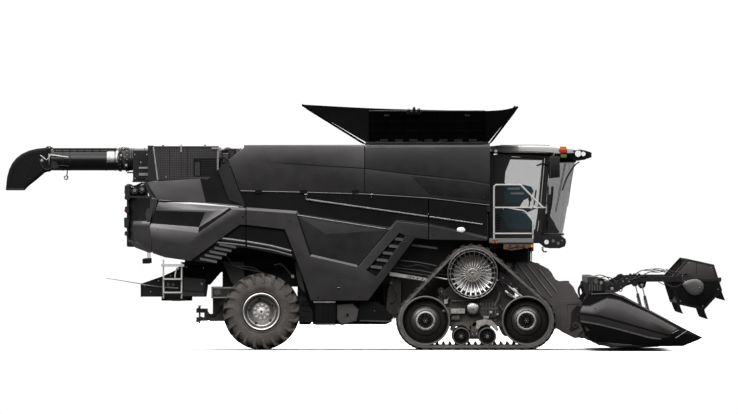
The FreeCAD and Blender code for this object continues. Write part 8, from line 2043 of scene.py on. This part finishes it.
rl = Bag()
for s in (-1, 1):
    Y0, Y1 = s * 1.30, s * 1.52
    # column of lamps standing off the rear corner
    rl.prism([(-4.6412, 3.2026), (-4.5864, 3.234), (-4.5472, 3.1909), (-4.5432, 2.9596), (-4.5824, 2.9322), (-4.6354, 2.9518)], Y0, Y1, 0)
    rl.prism([(-4.6354, 2.8106), (-4.5628, 2.8185), (-4.555, 2.6891), (-4.6138, 2.6813), (-4.6393, 2.7087)], Y0, Y1, 0)
    rl.prism([(-4.655, 2.5911), (-4.5824, 2.6068), (-4.5628, 2.5676), (-4.5628, 2.4304), (-4.5981, 2.3834), (-4.653, 2.4069)], Y0, Y1, 0)
    rl.prism([(-4.6412, 2.3246), (-4.5668, 2.3324), (-4.5668, 2.2462), (-4.6138, 2.2344), (-4.6432, 2.2579)], Y0, Y1, 0)
    rl.prism([(-4.5942, 2.1678), (-4.5158, 2.1756), (-4.4766, 2.1286), (-4.4884, 2.058), (-4.555, 2.0502), (-4.5922, 2.0894)], Y0, Y1, 0)
    rl.box(-4.602, -4.5668, s * 1.36, s * 1.46, 2.0384, 3.2144, 0)
    for zc, r, mt in ((3.1242, 0.036, 2), (3.0184, 0.040, 3), (2.7479, 0.038, 1), (2.5323, 0.040, 2), (2.45, 0.034, 2), (2.2854, 0.034, 3)):
        rl.cyl((-4.6491, s * 1.41, zc), (-4.6216, s * 1.41, zc), r * 0.92, 24, mt, r)
        rl.cyl((-4.6334, s * 1.41, zc), (-4.6099, s * 1.41, zc), r * 1.18, 24, 0)
    rl.box(-4.6491, -4.6295, s * 1.32, s * 1.37, 2.9635, 3.1752, 2)
    rl.cyl((-4.5903, s * 1.41, 2.1129), (-4.5668, s * 1.41, 2.1129), 0.030, 20, 3)
    # bracket with working lamps on the top corner
    rl.tube([(-4.6452, s * 1.40, 3.1948), (-4.5746, s * 1.42, 3.2497), (-4.4962, s * 1.44, 3.2066), (-4.4178, s * 1.45, 3.2222), (-4.308, s * 1.46, 3.2771), (-4.2414, s * 1.47, 3.2418)], 0.014, 8, 0)
    rl.tube([(-4.5628, s * 1.44, 3.0106), (-4.1904, s * 1.50, 3.0145), (-4.2453, s * 1.50, 3.234)], 0.013, 8, 0)
    rl.prism([(-4.5276, 3.1046), (-4.4648, 3.187), (-4.41, 3.1948), (-4.3786, 3.136), (-4.3982, 3.0654), (-4.4844, 3.0498)], s * 1.40, s * 1.50, 0)
    rl.prism([(-4.359, 3.2026), (-4.2884, 3.2458), (-4.2414, 3.2066), (-4.2414, 3.1086), (-4.312, 3.0576), (-4.3668, 3.1046)], s * 1.42, s * 1.52, 0)
    rl.cyl((-4.4452, s * 1.50, 3.1282), (-4.4452, s * 1.514, 3.1282), 0.034, 24, 5)
    rl.cyl((-4.3002, s * 1.52, 3.1517), (-4.3002, s * 1.534, 3.1517), 0.034, 24, 5)
    rl.prism([(-4.5432, 3.1987), (-4.4766, 3.187), (-4.3786, 3.2144), (-4.2532, 3.2458), (-4.214, 3.0106), (-4.5393, 3.0066)], s * 1.36, s * 1.40, 4)
    rl.tube([(-4.555, s * 1.46, 3.1752), (-4.4766, s * 1.47, 3.089), (-4.3394, s * 1.50, 3.1948), (-4.2218, s * 1.50, 3.0772)], 0.008, 8, 0)
    rl.box(-4.5432, -4.1434, s * 1.44, s * 1.60, 2.9812, 3.0184, 0)
    # lamp on a stem below the corner
    rl.tube([(-4.1865, s * 1.50, 1.9208), (-4.1826, s * 1.52, 1.7914)], 0.010, 8, 0)
    rl.prism([(-4.2924, 1.7914), (-4.1512, 1.7954), (-4.1473, 1.6934), (-4.2884, 1.6895)], s * 1.42, s * 1.56, 0)
    rl.box(-4.2963, -4.2884, s * 1.44, s * 1.54, 1.7052, 1.7758, 2)
    rl.prism([(-4.261, 1.7758), (-4.1708, 1.7797), (-4.1708, 1.713), (-4.261, 1.7091)], s * 1.5598, s * 1.5660, 4)
rl.obj("rear_lamp_clusters", ["plastic", "orange", "red", "lamp", "matte_black_and_shade", "lamp_dim"], "chassis", slot="dark_plastic", bevel=0.0025, seg=1)

# straw chopper details
ch = Bag()
for s in (-1, 1):
    Y = lambda d: s * d
    ch.prism([(-3.4888, 1.6778), (-3.0066, 1.6542), (-3.0458, 1.3916), (-3.4888, 1.4308)], Y(0.738), Y(0.746), 1)
    ch.prism([(-3.4888, 1.419), (-3.0458, 1.3798), (-3.0928, 1.1368), (-3.4888, 1.1682)], Y(0.738), Y(0.752), 2)
    ch.prism([(-3.5162, 1.1486), (-3.0732, 1.1172), (-3.0811, 1.0506), (-3.5162, 1.0506)], Y(0.738), Y(0.764), 2)
    ch.cyl((-3.136, Y(0.745), 1.2936), (-3.136, Y(0.762), 1.2936), 0.020, 20, 3)
    ch.tube([(-4.3198, Y(0.702), 1.2818), (-3.8886, Y(0.706), 1.1682), (-3.8298, Y(0.706), 1.0584)], 0.016, 8, 0)
    ch.tube([(-4.3198, Y(0.706), 1.2818), (-3.8298, Y(0.710), 1.227), (-3.5946, Y(0.712), 1.2074)], 0.015, 8, 4)
    ch.prism([(-4.1042, 1.2034), (-3.9944, 1.223), (-3.8886, 1.0858), (-3.9474, 1.0506)], Y(0.700), Y(0.712), 0)
    for x, z in ((-4.261, 1.2544), (-4.1434, 1.1368), (-3.9866, 1.3524), (-3.7514, 1.4504), (-3.6338, 1.1368), (-3.4378, 1.6268), (-3.1046, 1.6072), (-3.4378, 1.0976), (-3.1242, 1.0976)):
        ch.bolt((x, Y(0.740 if x > -3.5162 else 0.700), z), (0, s, 0), 0.013, 0.014, 3)
    # white curved rail and small lamps beside the ladder
    ch.cyl((-3.7984, s * 0.72, 1.2858), (-3.7984, s * 0.74, 1.2858), 0.030, 20, 5)
    ch.cyl((-3.6965, s * 0.72, 1.2779), (-3.6965, s * 0.74, 1.2779), 0.030, 20, 5)
    ch.prism([(-3.8572, 1.3406), (-3.6338, 1.321), (-3.6338, 1.2152), (-3.8572, 1.227)], Y(0.700), Y(0.722), 0)
ch.tube(curve([(-3.575, -1.50, 1.619), (-3.622, -1.52, 1.5876), (-3.6456, -1.53, 1.5092), (-3.6573, -1.535, 1.419)], 6), 0.014, 8, 4)
ch.tube([(-3.575, -1.50, 1.619), (-3.477, -1.42, 1.6386)], 0.014, 8, 4)
# thin marker rod standing out to the rear
ch.tube([(-3.8298, -0.72, 1.2348), (-4.3394, -0.71, 1.2936), (-5.0136, -0.69, 1.4034)], [0.010, 0.008, 0.005], 8, 0)
ch.box(-4.3394, -4.3198, -0.74, 0.74, 1.0349, 1.2936, 0)
for i in range(11):
    y = -0.60 + 0.12 * i
    ch.prism([(-4.3002, 1.0858), (-4.1434, 1.1956), (-3.7906, 1.3132), (-3.673, 1.3328), (-3.673, 1.3054), (-3.7906, 1.2818), (-4.1238, 1.1642), (-4.2806, 1.0584)], y - 0.006, y + 0.006, 0)
for s in (-1, 1):
    for k in range(6):
        q = 2 * math.pi * k / 6
        c = Vector((-3.6338, s * 0.340, 0.9996))
        d = Vector((math.cos(q), math.sin(q), 0))
        ch.obox(c + d * 0.17, d * 0.13, Vector((-d.y, d.x, 0)) * 0.012, (0, 0, 0.034), 0)
    ch.cyl((-3.6338, s * 0.340, 0.9526), (-3.6338, s * 0.340, 0.9722), 0.09, 24, 3)
for y in (-0.64, 0.64):
    ch.prism([(-3.869, 1.0388), (-3.7906, 0.9682), (-3.477, 0.9565), (-3.3594, 1.0388)], y - 0.012, y + 0.012, 0)
ch.obj("chopper_covers_rods", ["plastic", "matte_black_and_shade", "chopgrey", "steel", "white", "lamp_dim"], "chassis", slot="frame_paint", bevel=0.002, seg=1)

# axle, springs of cable and hose, hitch details
ax_ = Bag()
WX = -1.9639
for s in (-1, 1):
    Y = lambda d: s * d
    ax_.box(-2.9439, -2.3794, Y(0.95), Y(1.06), 1.0192, 1.227, 0)
    ax_.box(-2.9439, -2.399, Y(1.055), Y(1.072), 1.2034, 1.2309, 1)
    ax_.box(-2.9439, -2.5362, Y(1.055), Y(1.072), 1.0114, 1.0388, 1)
    ax_.box(-2.9478, -2.9204, Y(1.055), Y(1.072), 1.0114, 1.2309, 1)
    ax_.prism([(-2.889, 1.176), (-2.7792, 1.1878), (-2.7518, 1.0858), (-2.8498, 1.0584), (-2.8968, 1.0976)], Y(1.06), Y(1.085), 2)
    ax_.hull2([(-2.5362, Y(0.90), 1.2936), (-2.301, Y(0.90), 1.2936), (-2.301, Y(1.05), 1.2936), (-2.5362, Y(1.05), 1.2936)],
              [(-2.7322, Y(0.90), 1.7248), (-2.301, Y(0.90), 1.7248), (-2.301, Y(1.05), 1.7248), (-2.7322, Y(1.05), 1.7248)], 0)
    # cables in the wheel arch
    ax_.tube(curve([(-2.6538, Y(1.30), 1.8502), (-2.595, Y(1.30), 1.7836), (-2.5362, Y(1.28), 1.6856), (-2.4186, Y(1.26), 1.619), (-2.1834, Y(1.24), 1.568), (-1.8894, Y(1.22), 1.4896), (-1.7914, Y(1.10), 1.372)], 6), 0.016, 8, 3)
    ax_.tube(curve([(-2.693, Y(1.20), 1.7248), (-2.5362, Y(1.18), 1.6464), (-2.301, Y(1.18), 1.6386), (-2.0658, Y(1.16), 1.5876), (-1.9482, Y(1.12), 1.4504)], 6), 0.012, 8, 4)
    ax_.tube(curve([(-1.713, Y(1.24), 1.666), (-1.5954, Y(1.24), 1.6856), (-1.517, Y(1.24), 1.6346), (-1.4268, Y(1.22), 1.5288), (-1.3524, Y(1.20), 1.4386)], 6), 0.016, 8, 4)
    ax_.cyl((-1.3484, Y(1.16), 1.4386), (-1.3484, Y(1.24), 1.4386), 0.034, 20, 1)
    ax_.prism([(-2.7322, 0.98), (-2.595, 1.0114), (-2.544, 0.9486), (-2.6342, 0.8506), (-2.7832, 0.8624), (-2.8028, 0.9212)], Y(0.60), Y(0.70), 2)
    ax_.tube([(WX - 0.10, Y(0.60), 0.66), (WX - 0.26, Y(0.62), 0.72), (-2.5362, Y(0.66), 1.1368)], 0.022, 10, 2)
    for z in (0.585, 0.912):
        ax_.cyl((WX, Y(0.945), z), (WX, Y(0.945), z + 0.012), 0.045, 20, 2)
for k, (x, z) in enumerate(((-3.2026, 0.7958), (-3.1242, 0.7526), (-3.1556, 0.6154), (-3.23, 0.5606))):
    ax_.cyl((x, -0.13, z), (x, 0.13, z), 0.030, 16, 2)
ax_.cyl((-3.1869, 0, 0.5096), (-3.1869, 0, 0.8506), 0.0185, 20, 1)
ax_.cyl((-3.1869, 0, 0.8467), (-3.1869, 0, 0.8624), 0.036, 20, 2)
ax_.prism([(-3.0066, 0.6586), (-2.6538, 0.639), (-2.6538, 0.5566), (-2.987, 0.5527)], -0.100, -0.078, 2)
ax_.prism([(-3.0066, 0.6586), (-2.6538, 0.639), (-2.6538, 0.5566), (-2.987, 0.5527)], 0.078, 0.100, 2)
ax_.tube(curve([(-3.0458, -0.12, 0.7644), (-2.9478, -0.14, 0.6468), (-2.8498, -0.13, 0.7252), (-2.7322, -0.12, 0.9016)], 6), 0.012, 8, 3)
ax_.obj("axle_cables_brackets", ["frame", "dull_silver_and_highlight", "cast", "hose", "frame_grey"], "chassis", slot="frame_paint", bevel=0.003, seg=1)


# ------------------------------------------------------------------ details along the sides, deck and underside
mi = Bag()
for s in (-1, 1):
    Y = lambda d: s * d
    # near-black plates that close the gaps between the side skins, painted shade in the gaps
    mi.prism([(-2.497, 3.2144), (-2.1834, 3.2144), (-2.1834, 2.7048), (-2.3794, 2.744), (-2.497, 2.94)], Y(1.46), Y(1.50), 1)
    mi.prism([(2.4422, 3.2536), (2.5206, 3.2536), (2.5206, 2.0972), (2.4422, 2.0972)], Y(1.10), Y(1.50), 1)
    if s < 0:
        mi.prism([(2.4422, 3.9984), (2.5206, 3.9984), (2.5206, 3.2536), (2.4422, 3.2536)], Y(1.10), Y(1.50), 1)
    mi.prism([(-3.0576, 1.8424), (-1.2426, 1.96), (-1.2034, 1.7248), (-1.1524, 1.2936), (-1.2348, 1.2936), (-1.3602, 1.517), (-1.4582, 1.5876), (-1.6738, 1.6072), (-2.1834, 1.6072), (-2.4578, 1.568), (-2.6146, 1.5484), (-2.7714, 1.517), (-2.8968, 1.372), (-2.9792, 1.274), (-3.0497, 1.274)], Y(0.90), Y(0.94), 1)
    mi.prism([(2.4422, 2.2344), (3.3242, 2.2344), (3.3242, 1.7248), (2.8734, 1.7248), (2.7166, 1.8032), (2.6382, 1.7248), (2.4422, 1.7248)], Y(0.86), Y(0.90), 1)
    mi.prism([(2.4892, 2.0776), (2.8342, 2.0776), (2.8342, 1.7248), (2.6578, 1.8228), (2.4892, 1.96)], Y(0.80), Y(0.98), 1)
    mi.prism([(0.4038, 1.2936), (0.7958, 1.2936), (0.7958, 0.6272), (0.5998, 0.6272), (0.443, 0.9016)], Y(1.12), Y(1.16), 1)
    mi.prism([(-4.2649, 3.285), (-4.1473, 3.2967), (-3.9827, 2.9557), (-4.1473, 2.991)], Y(1.545), Y(1.560), 4)
    mi.prism([(-2.3872, 3.1242), (-2.2579, 3.1242), (-2.2579, 2.795), (-2.348, 2.8106)], Y(1.566), Y(1.584), 1)
    mi.prism([(-1.0858, 1.176), (-0.9682, 1.176), (-0.8898, 0.98), (0.5998, 0.98), (0.5998, 0.5488), (0.4822, 0.4978), (-0.9564, 0.4978), (-0.9564, 0.7448), (-1.074, 0.98)], Y(0.955), Y(0.985), 1)
    mi.prism([(-0.1254, 1.2936), (0.247, 1.2936), (0.5998, 1.2936), (0.5998, 0.9604), (-0.1254, 0.9604)], Y(0.955), Y(0.985), 1)
    # aluminium bar with holes between the door and the track
    x0, z0, x1, z1 = 0.5528, 1.4935, 1.3446, 1.3642
    mi.hull2([(x0, Y(1.33), z0 + 0.042), (x0, Y(1.362), z0 + 0.036), (x0, Y(1.362), z0 - 0.036), (x0, Y(1.33), z0 - 0.042)],
             [(x1, Y(1.33), z1 + 0.036), (x1, Y(1.362), z1 + 0.030), (x1, Y(1.362), z1 - 0.030), (x1, Y(1.33), z1 - 0.036)], 0)
    for q in (0.52, 0.60, 0.70, 0.82):
        x, z = x0 + (x1 - x0) * q, z0 + (z1 - z0) * q
        mi.cyl((x, Y(1.360), z), (x, Y(1.3645), z), 0.014, 16, 1)
    # pipes and rails above it
    mi.tube([(0.5998, Y(1.36), 1.619), (1.1486, Y(1.36), 1.5562), (1.6582, Y(1.36), 1.4543)], 0.012, 8, 2)
    mi.tube([(0.639, Y(1.34), 1.5602), (1.6582, Y(1.34), 1.4073)], 0.009, 8, 2)
    mi.tube([(0.7566, Y(1.38), 1.7562), (1.1094, Y(1.38), 1.717), (1.4818, Y(1.38), 1.6464)], 0.014, 8, 2)
    mi.tube(curve([(0.7174, Y(1.36), 1.6856), (0.9134, Y(1.40), 1.6346), (1.1094, Y(1.40), 1.666), (1.3446, Y(1.38), 1.5954)], 6), 0.010, 8, 3)
    mi.hull2([(0.984, Y(1.44), 2.0854), (0.984, Y(1.47), 2.0776), (0.984, Y(1.47), 2.0345), (0.984, Y(1.44), 2.0306)],
             [(1.4896, Y(1.44), 2.0149), (1.4896, Y(1.47), 2.007), (1.4896, Y(1.47), 1.9757), (1.4896, Y(1.44), 1.9718)], 2)
    # bracing plates and ribs behind the bar
    mi.prism([(0.5802, 1.4112), (0.7762, 1.372), (0.7762, 0.5488), (0.6194, 0.6546), (0.4822, 0.784), (0.5214, 1.176)], Y(1.20), Y(1.24), 4)
    for i in range(5):
        x = 0.6076 + i * 0.034
        mi.box(x, x + 0.012, Y(1.236), Y(1.256), 0.588 + i * 0.012, 1.1368, 4)
    mi.cyl((0.588, Y(1.24), 1.3132), (0.588, Y(1.27), 1.3132), 0.030, 20, 5)
    mi.tube(curve([(0.5998, Y(1.28), 1.2544), (0.6782, Y(1.29), 1.1368), (0.6586, Y(1.28), 0.98), (0.5606, Y(1.26), 0.9016)], 6), 0.010, 8, 3)
    # lid strip and ribs of the box, pin of the bracket, step plate on the tool box
    mi.box(-0.9368, -0.5096, Y(1.545), Y(1.572), 0.9251, 0.9565, 0)
    for x in (-0.8584, -0.7604, -0.6585, -0.5644):
        mi.box(x, x + 0.016, Y(1.556), Y(1.568), 0.5018, 0.9134, 1)
    mi.box(-0.8898, -0.5135, Y(1.556), Y(1.566), 0.4939, 0.5214, 4)
    mi.prism([(-0.4743, 0.882), (-0.1764, 0.9094), (-0.0588, 0.784), (-0.098, 0.5762), (-0.392, 0.5057), (-0.4743, 0.5998)], Y(1.499), Y(1.512), 6)
    mi.cyl((-0.2822, Y(1.16), 0.686), (-0.2822, Y(1.524), 0.686), 0.0305, 28, 1)
    mi.lathe([(0.0325, Y(1.510)), (0.052, Y(1.510)), (0.052, Y(1.520)), (0.0325, Y(1.520))], -0.2822, 0.686, 28, 6)
    mi.cyl((-0.3057, Y(1.520), 0.686), (-0.3057, Y(1.534), 0.686), 0.018, 12, 5)
    for x, z in ((-0.4194, 0.8428), (-0.2038, 0.8624), (-0.1254, 0.7526), (-0.1528, 0.6076), (-0.3802, 0.5566)):
        mi.bolt((x, Y(1.512), z), (0, s, 0), 0.012, 0.010, 5)
    mi.prism([(-0.0078, 0.5841), (0.5998, 0.5723), (0.5841, 0.541), (0.051, 0.5606), (-0.047, 0.5606)], Y(1.478), Y(1.496), 6)
    mi.box(0.0314, 0.2862, Y(1.478), Y(1.486), 0.6468, 0.882, 1)
    mi.box(0.3254, 0.4626, Y(1.478), Y(1.486), 0.7448, 0.882, 1)
    mi.cyl((0.2588, Y(1.484), 0.7644), (0.2588, Y(1.494), 0.7644), 0.014, 16, 5)
    mi.tube(curve([(-0.4978, Y(1.30), 0.98), (-0.3214, Y(1.36), 0.9486), (-0.1058, Y(1.34), 0.9722), (0.0902, Y(1.28), 0.9212)], 5), 0.012, 8, 3)
    # panel between the rear wheel and the box
    mi.prism([(-1.3092, 1.7248), (-1.2308, 1.7248), (-1.1015, 1.129), (-1.1289, 1.129), (-1.2034, 1.2152), (-1.2583, 1.3328)], Y(1.06), Y(1.09), 6)
    mi.prism([(-1.223, 1.0584), (-1.0858, 1.0192), (-0.929, 0.9212), (-0.929, 0.537), (-1.223, 0.537)], Y(0.55), Y(0.58), 6)
    for z in (0.8624, 0.7448, 0.6272):
        mi.box(-1.1838, -0.9564, Y(0.578), Y(0.587), z, z + 0.014, 4)
    # walkway support and underside of the platform, in front of the track
    mi.prism([(2.5128, 2.0894), (2.7754, 2.0894), (2.7754, 2.007), (2.5128, 1.9796)], Y(1.53), Y(1.56), 1)
# engine deck: exhaust, air intake, hand rails, lids
mi.cyl((-2.5362, -0.62, 3.6456), (-2.5362, -0.62, 3.9122), 0.085, 32, 3)
mi.cyl((-2.5362, -0.62, 3.9082), (-2.5362, -0.62, 3.9514), 0.070, 32, 1, 0.074)
mi.cyl((-2.5362, -0.62, 3.234), (-2.5362, -0.62, 3.6456), 0.140, 36, 3)
for z in (3.332, 3.4888, 3.6064):
    mi.cyl((-2.5362, -0.62, z), (-2.5362, -0.62, z + 0.018), 0.146, 36, 5)
mi.cyl((-2.6342, 0.62, 3.234), (-2.6342, 0.62, 3.873), 0.120, 32, 1)
mi.lathe([(0.0, 0.5), (0.12, 0.5), (0.13, 0.52), (0.13, 0.74), (0.12, 0.76), (0.0, 0.76)], -2.6342, 3.8494, 36, 1)
for s, yr in ((-1, -1.18), (1, 0.94)):
    mi.tube([(-2.7518, yr, 3.2928), (-2.7518, yr, 3.9082), (-2.6538, yr, 3.9396), (-2.4186, yr, 3.9396), (-2.4186, yr, 3.2928)], 0.016, 8, 2)
    mi.tube([(-2.7518, yr, 3.626), (-2.4186, yr, 3.626)], 0.012, 8, 2)
mi.tube([(-2.7518, -1.18, 3.9082), (-2.7518, -0.3, 3.9082)], 0.014, 8, 2)
mi.prism([(-2.791, 3.3085), (-2.3402, 3.1752), (-2.3402, 3.136), (-2.791, 3.2654)], -1.50, 1.50, 1)
for i in range(8):
    y = -1.30 + 0.37 * i
    mi.box(-2.7518, -2.399, y, y + 0.03, 3.2418, 3.2418 + 0.02, 4)
mi.tube(curve([(-2.7714, -0.9, 3.528), (-2.6538, -1.0, 3.6848), (-2.5362, -1.02, 3.5672), (-2.4578, -0.9, 3.3712)], 6), 0.030, 10, 3)
mi.tube(curve([(-2.791, -1.2, 3.724), (-2.693, -1.22, 3.7828), (-2.6146, -1.2, 3.6652), (-2.595, -1.1, 3.4888)], 6), 0.022, 10, 3)
mi.box(-2.693, -2.5558, -1.36, -1.12, 3.332, 3.5672, 7)
# belly: ribs, cross pipes, sump and cable run
for i in range(10):
    x = -0.7722 + i * 0.30
    mi.box(x, x + 0.05, -0.86, 0.86, 0.9624, 0.9918, 4)
for y in (-0.70, 0.70):
    mi.tube([(-2.3794, y, 1.0192), (-0.6154, y, 0.9212), (0.6782, y, 0.9094)], 0.016, 8, 3)
mi.tube(curve([(-2.1834, 0.35, 1.0584), (-1.3994, 0.42, 0.9016), (-0.4194, 0.30, 0.9094), (0.5998, 0.36, 0.9016)], 6), 0.020, 8, 3)
mi.obj("side_and_deck_fittings", ["silver", "matte_black_and_shade", "frame_grey", "hose", "frame", "cast", "chopgrey", "green"], "chassis", slot="frame_paint", bevel=0.002, seg=1)


# ------------------------------------------------------------------ CAD nodes that keep their shape
DRESS = {
    "thresher_housing": ("frame", 0.0), "chassis_frame": ("frame", 0.006), "rear_axle": ("frame", 0.006), "tow_hitch": ("cast", 0.005),
    "straw_chopper": ("plastic", 0.008), "rear_ladder": ("white", 0.003), "side_boxes": ("matte_black_and_shade", 0.008), "track_belts": ("belt", 0.006),
    "drive_wheels": ("chrome", 0.004), "track_wheels": ("frame_grey", 0.004), "track_frames": ("frame", 0.008), "tank_panels": ("paint", 0.006),
    "grain_tank": ("frame", 0.0), "cover_gussets": ("matte_black_and_shade", 0.0), "engine_block": ("cast", 0.01), "engine_hood": ("paint", 0.008),
    "radiator_housing": ("plastic", 0.006), "rear_cover": ("paint", 0.008), "front_panels": ("paint", 0.005), "auger_supports": ("frame", 0.006),
    "cab_frame": ("plastic", 0.01), "cab_roof": ("paint", 0.045), "cab_glass": ("glass_front", 0.0), "operator_seat": ("seat", 0.02),
    "steering_console": ("plastic", 0.008), "platforms": ("plastic", 0.006), "handrails": ("white", 0.0), "mirrors": ("plastic", 0.01),
    "knuckle_right": ("cast", 0.006), "knuckle_left": ("cast", 0.006), "rim_right": ("silver", 0.002), "rim_left": ("silver", 0.002),
    "tyre_right": ("tyre", 0.0), "tyre_left": ("tyre", 0.0), "feeder_house": ("feederpaint", 0.008), "header_frame": ("paint", 0.006),
    "header_ends": ("grey_and_highlight_paint", 0.01), "cutterbar": ("steel", 0.002), "header_auger": ("frame", 0.0), "reel_arms": ("frame", 0.006),
    "reel_carriage": ("frame_grey", 0.005), "reel_core": ("matte_black_and_shade", 0.003), "reel_tine_bars": ("frame", 0.0), "lift_barrels": ("frame", 0.003),
    "lift_rods": ("rod", 0.002), "reel_barrels": ("frame", 0.002), "reel_rods": ("rod", 0.001), "unload_tube": ("paint", 0.004),
    "unload_spout": ("plastic", 0.008), "service_door_right": ("paint", 0.004), "service_door_left": ("paint", 0.004),
    "rear_panel_right": ("paint", 0.004), "rear_panel_left": ("paint", 0.004), "cover_rear": ("matte_black_and_shade", 0.004), "cover_front": ("matte_black_and_shade", 0.004),
    "cover_right": ("matte_black_and_shade", 0.004), "cover_left": ("matte_black_and_shade", 0.004), "cab_door": ("plastic", 0.008), "cab_door_glass": ("glass", 0.0),
    "access_ladder": ("frame", 0.004)}
for node_name, (mname, bev) in DRESS.items():
    if not NODES[node_name].hide_render:
        dress(node_name, mname, bev, 4 if node_name == "cab_roof" else 2)


# ------------------------------------------------------------------ stage, lights, camera
def stage_material():
    n = NT("studio_floor")
    n.set(rough=0.9, spec=0.0)
    lp = n.node("ShaderNodeLightPath")
    c = n.mix(n.range(n.noise(0.15, 2.0), 0.2, 0.8, 0, 1), (0.90, 0.90, 0.90), (0.93, 0.93, 0.93))
    n.to("Base Color", n.mix(lp.outputs["Is Camera Ray"], (0.045, 0.044, 0.043), c))
    return n.m


bm = bmesh.new()
bmesh.ops.create_circle(bm, cap_ends=True, radius=90.0, segments=96)
me = bpy.data.meshes.new("studio_floor")
bm.to_mesh(me)
bm.free()
floor = bpy.data.objects.new("studio_floor", me)
floor.location = (0.0, 0.0, -0.002)
COL.objects.link(floor)
me.materials.append(stage_material())

world = bpy.data.worlds.new("studio")
scene.world = world
world.use_nodes = True
wt = world.node_tree
wt.nodes.clear()
wo = wt.nodes.new("ShaderNodeOutputWorld")
cam_bg = wt.nodes.new("ShaderNodeBackground")
cam_bg.inputs[0].default_value = (1, 1, 1, 1)
cam_bg.inputs[1].default_value = 1.02
env_bg = wt.nodes.new("ShaderNodeBackground")
mixs = wt.nodes.new("ShaderNodeMixShader")
lp = wt.nodes.new("ShaderNodeLightPath")
tc = wt.nodes.new("ShaderNodeTexCoord")
sep = wt.nodes.new("ShaderNodeSeparateXYZ")
ramp = wt.nodes.new("ShaderNodeValToRGB")
ramp.color_ramp.interpolation = "B_SPLINE"
mr = wt.nodes.new("ShaderNodeMapRange")
mr.inputs[1].default_value, mr.inputs[2].default_value = -1.0, 1.0
wt.links.new(tc.outputs["Generated"], sep.inputs[0])
wt.links.new(sep.outputs["Z"], mr.inputs[0])
wt.links.new(mr.outputs[0], ramp.inputs[0])
els = ramp.color_ramp.elements
stops = [(0.0, 0.012), (0.46, 0.018), (0.51, 0.05), (0.59, 0.13), (0.70, 0.42), (0.84, 0.85), (1.0, 1.0)]
while len(els) < len(stops):
    els.new(0.5)
for e, (p, v) in zip(els, stops):
    e.position = p
    e.color = (v, v * 0.985, v * 0.975, 1)
wt.links.new(ramp.outputs[0], env_bg.inputs[0])
side = wt.nodes.new("ShaderNodeMapRange")
side.inputs[1].default_value, side.inputs[2].default_value = -1.0, 1.0
side.inputs[3].default_value, side.inputs[4].default_value = 4.6, 2.4
wt.links.new(sep.outputs["X"], side.inputs[0])
wt.links.new(side.outputs[0], env_bg.inputs[1])
wt.links.new(lp.outputs["Is Camera Ray"], mixs.inputs[0])
wt.links.new(env_bg.outputs[0], mixs.inputs[1])
wt.links.new(cam_bg.outputs[0], mixs.inputs[2])
wt.links.new(mixs.outputs[0], wo.inputs[0])


def softbox(name, loc, target, sx, sy, radiance):
    l = bpy.data.lights.new(name, "AREA")
    l.shape = "RECTANGLE"
    l.size, l.size_y = sx, sy
    l.energy = radiance * math.pi * sx * sy
    l.color = (1.0, 0.985, 0.97)
    o = bpy.data.objects.new(name, l)
    COL.objects.link(o)
    o.location = loc
    o.rotation_euler = (Vector(target) - Vector(loc)).to_track_quat("-Z", "Y").to_euler()
    o.visible_camera = False
    return o


softbox("key_box", (-3.5, -11.0, 10.5), (-1.0, 0.0, 2.0), 12.0, 3.5, 4.0)
softbox("far_box", (2.0, 12.0, 10.0), (0.0, 0.0, 2.0), 12.0, 4.0, 3.0)
softbox("front_box", (15.0, -6.0, 7.0), (3.0, 0.0, 1.5), 4.0, 4.0, 2.0)
softbox("rear_box", (-5.2, -8.0, 6.2), (-3.6, -1.6, 3.0), 3.4, 2.0, 2.6)

cam = bpy.data.cameras.new("camera")
cam.sensor_width = 36.0
cam.lens = 36.0 * 340.0 / 14.465
cam.clip_start, cam.clip_end = 10.0, 2000.0
co = bpy.data.objects.new("camera", cam)
COL.objects.link(co)
co.location = (0.149, -341.65, 2.8028)
co.rotation_euler = (math.pi / 2, 0.0, 0.0)
scene.camera = co
scene.view_settings.view_transform = "Standard"
scene.view_settings.look = "None"
scene.view_settings.exposure = 0.0
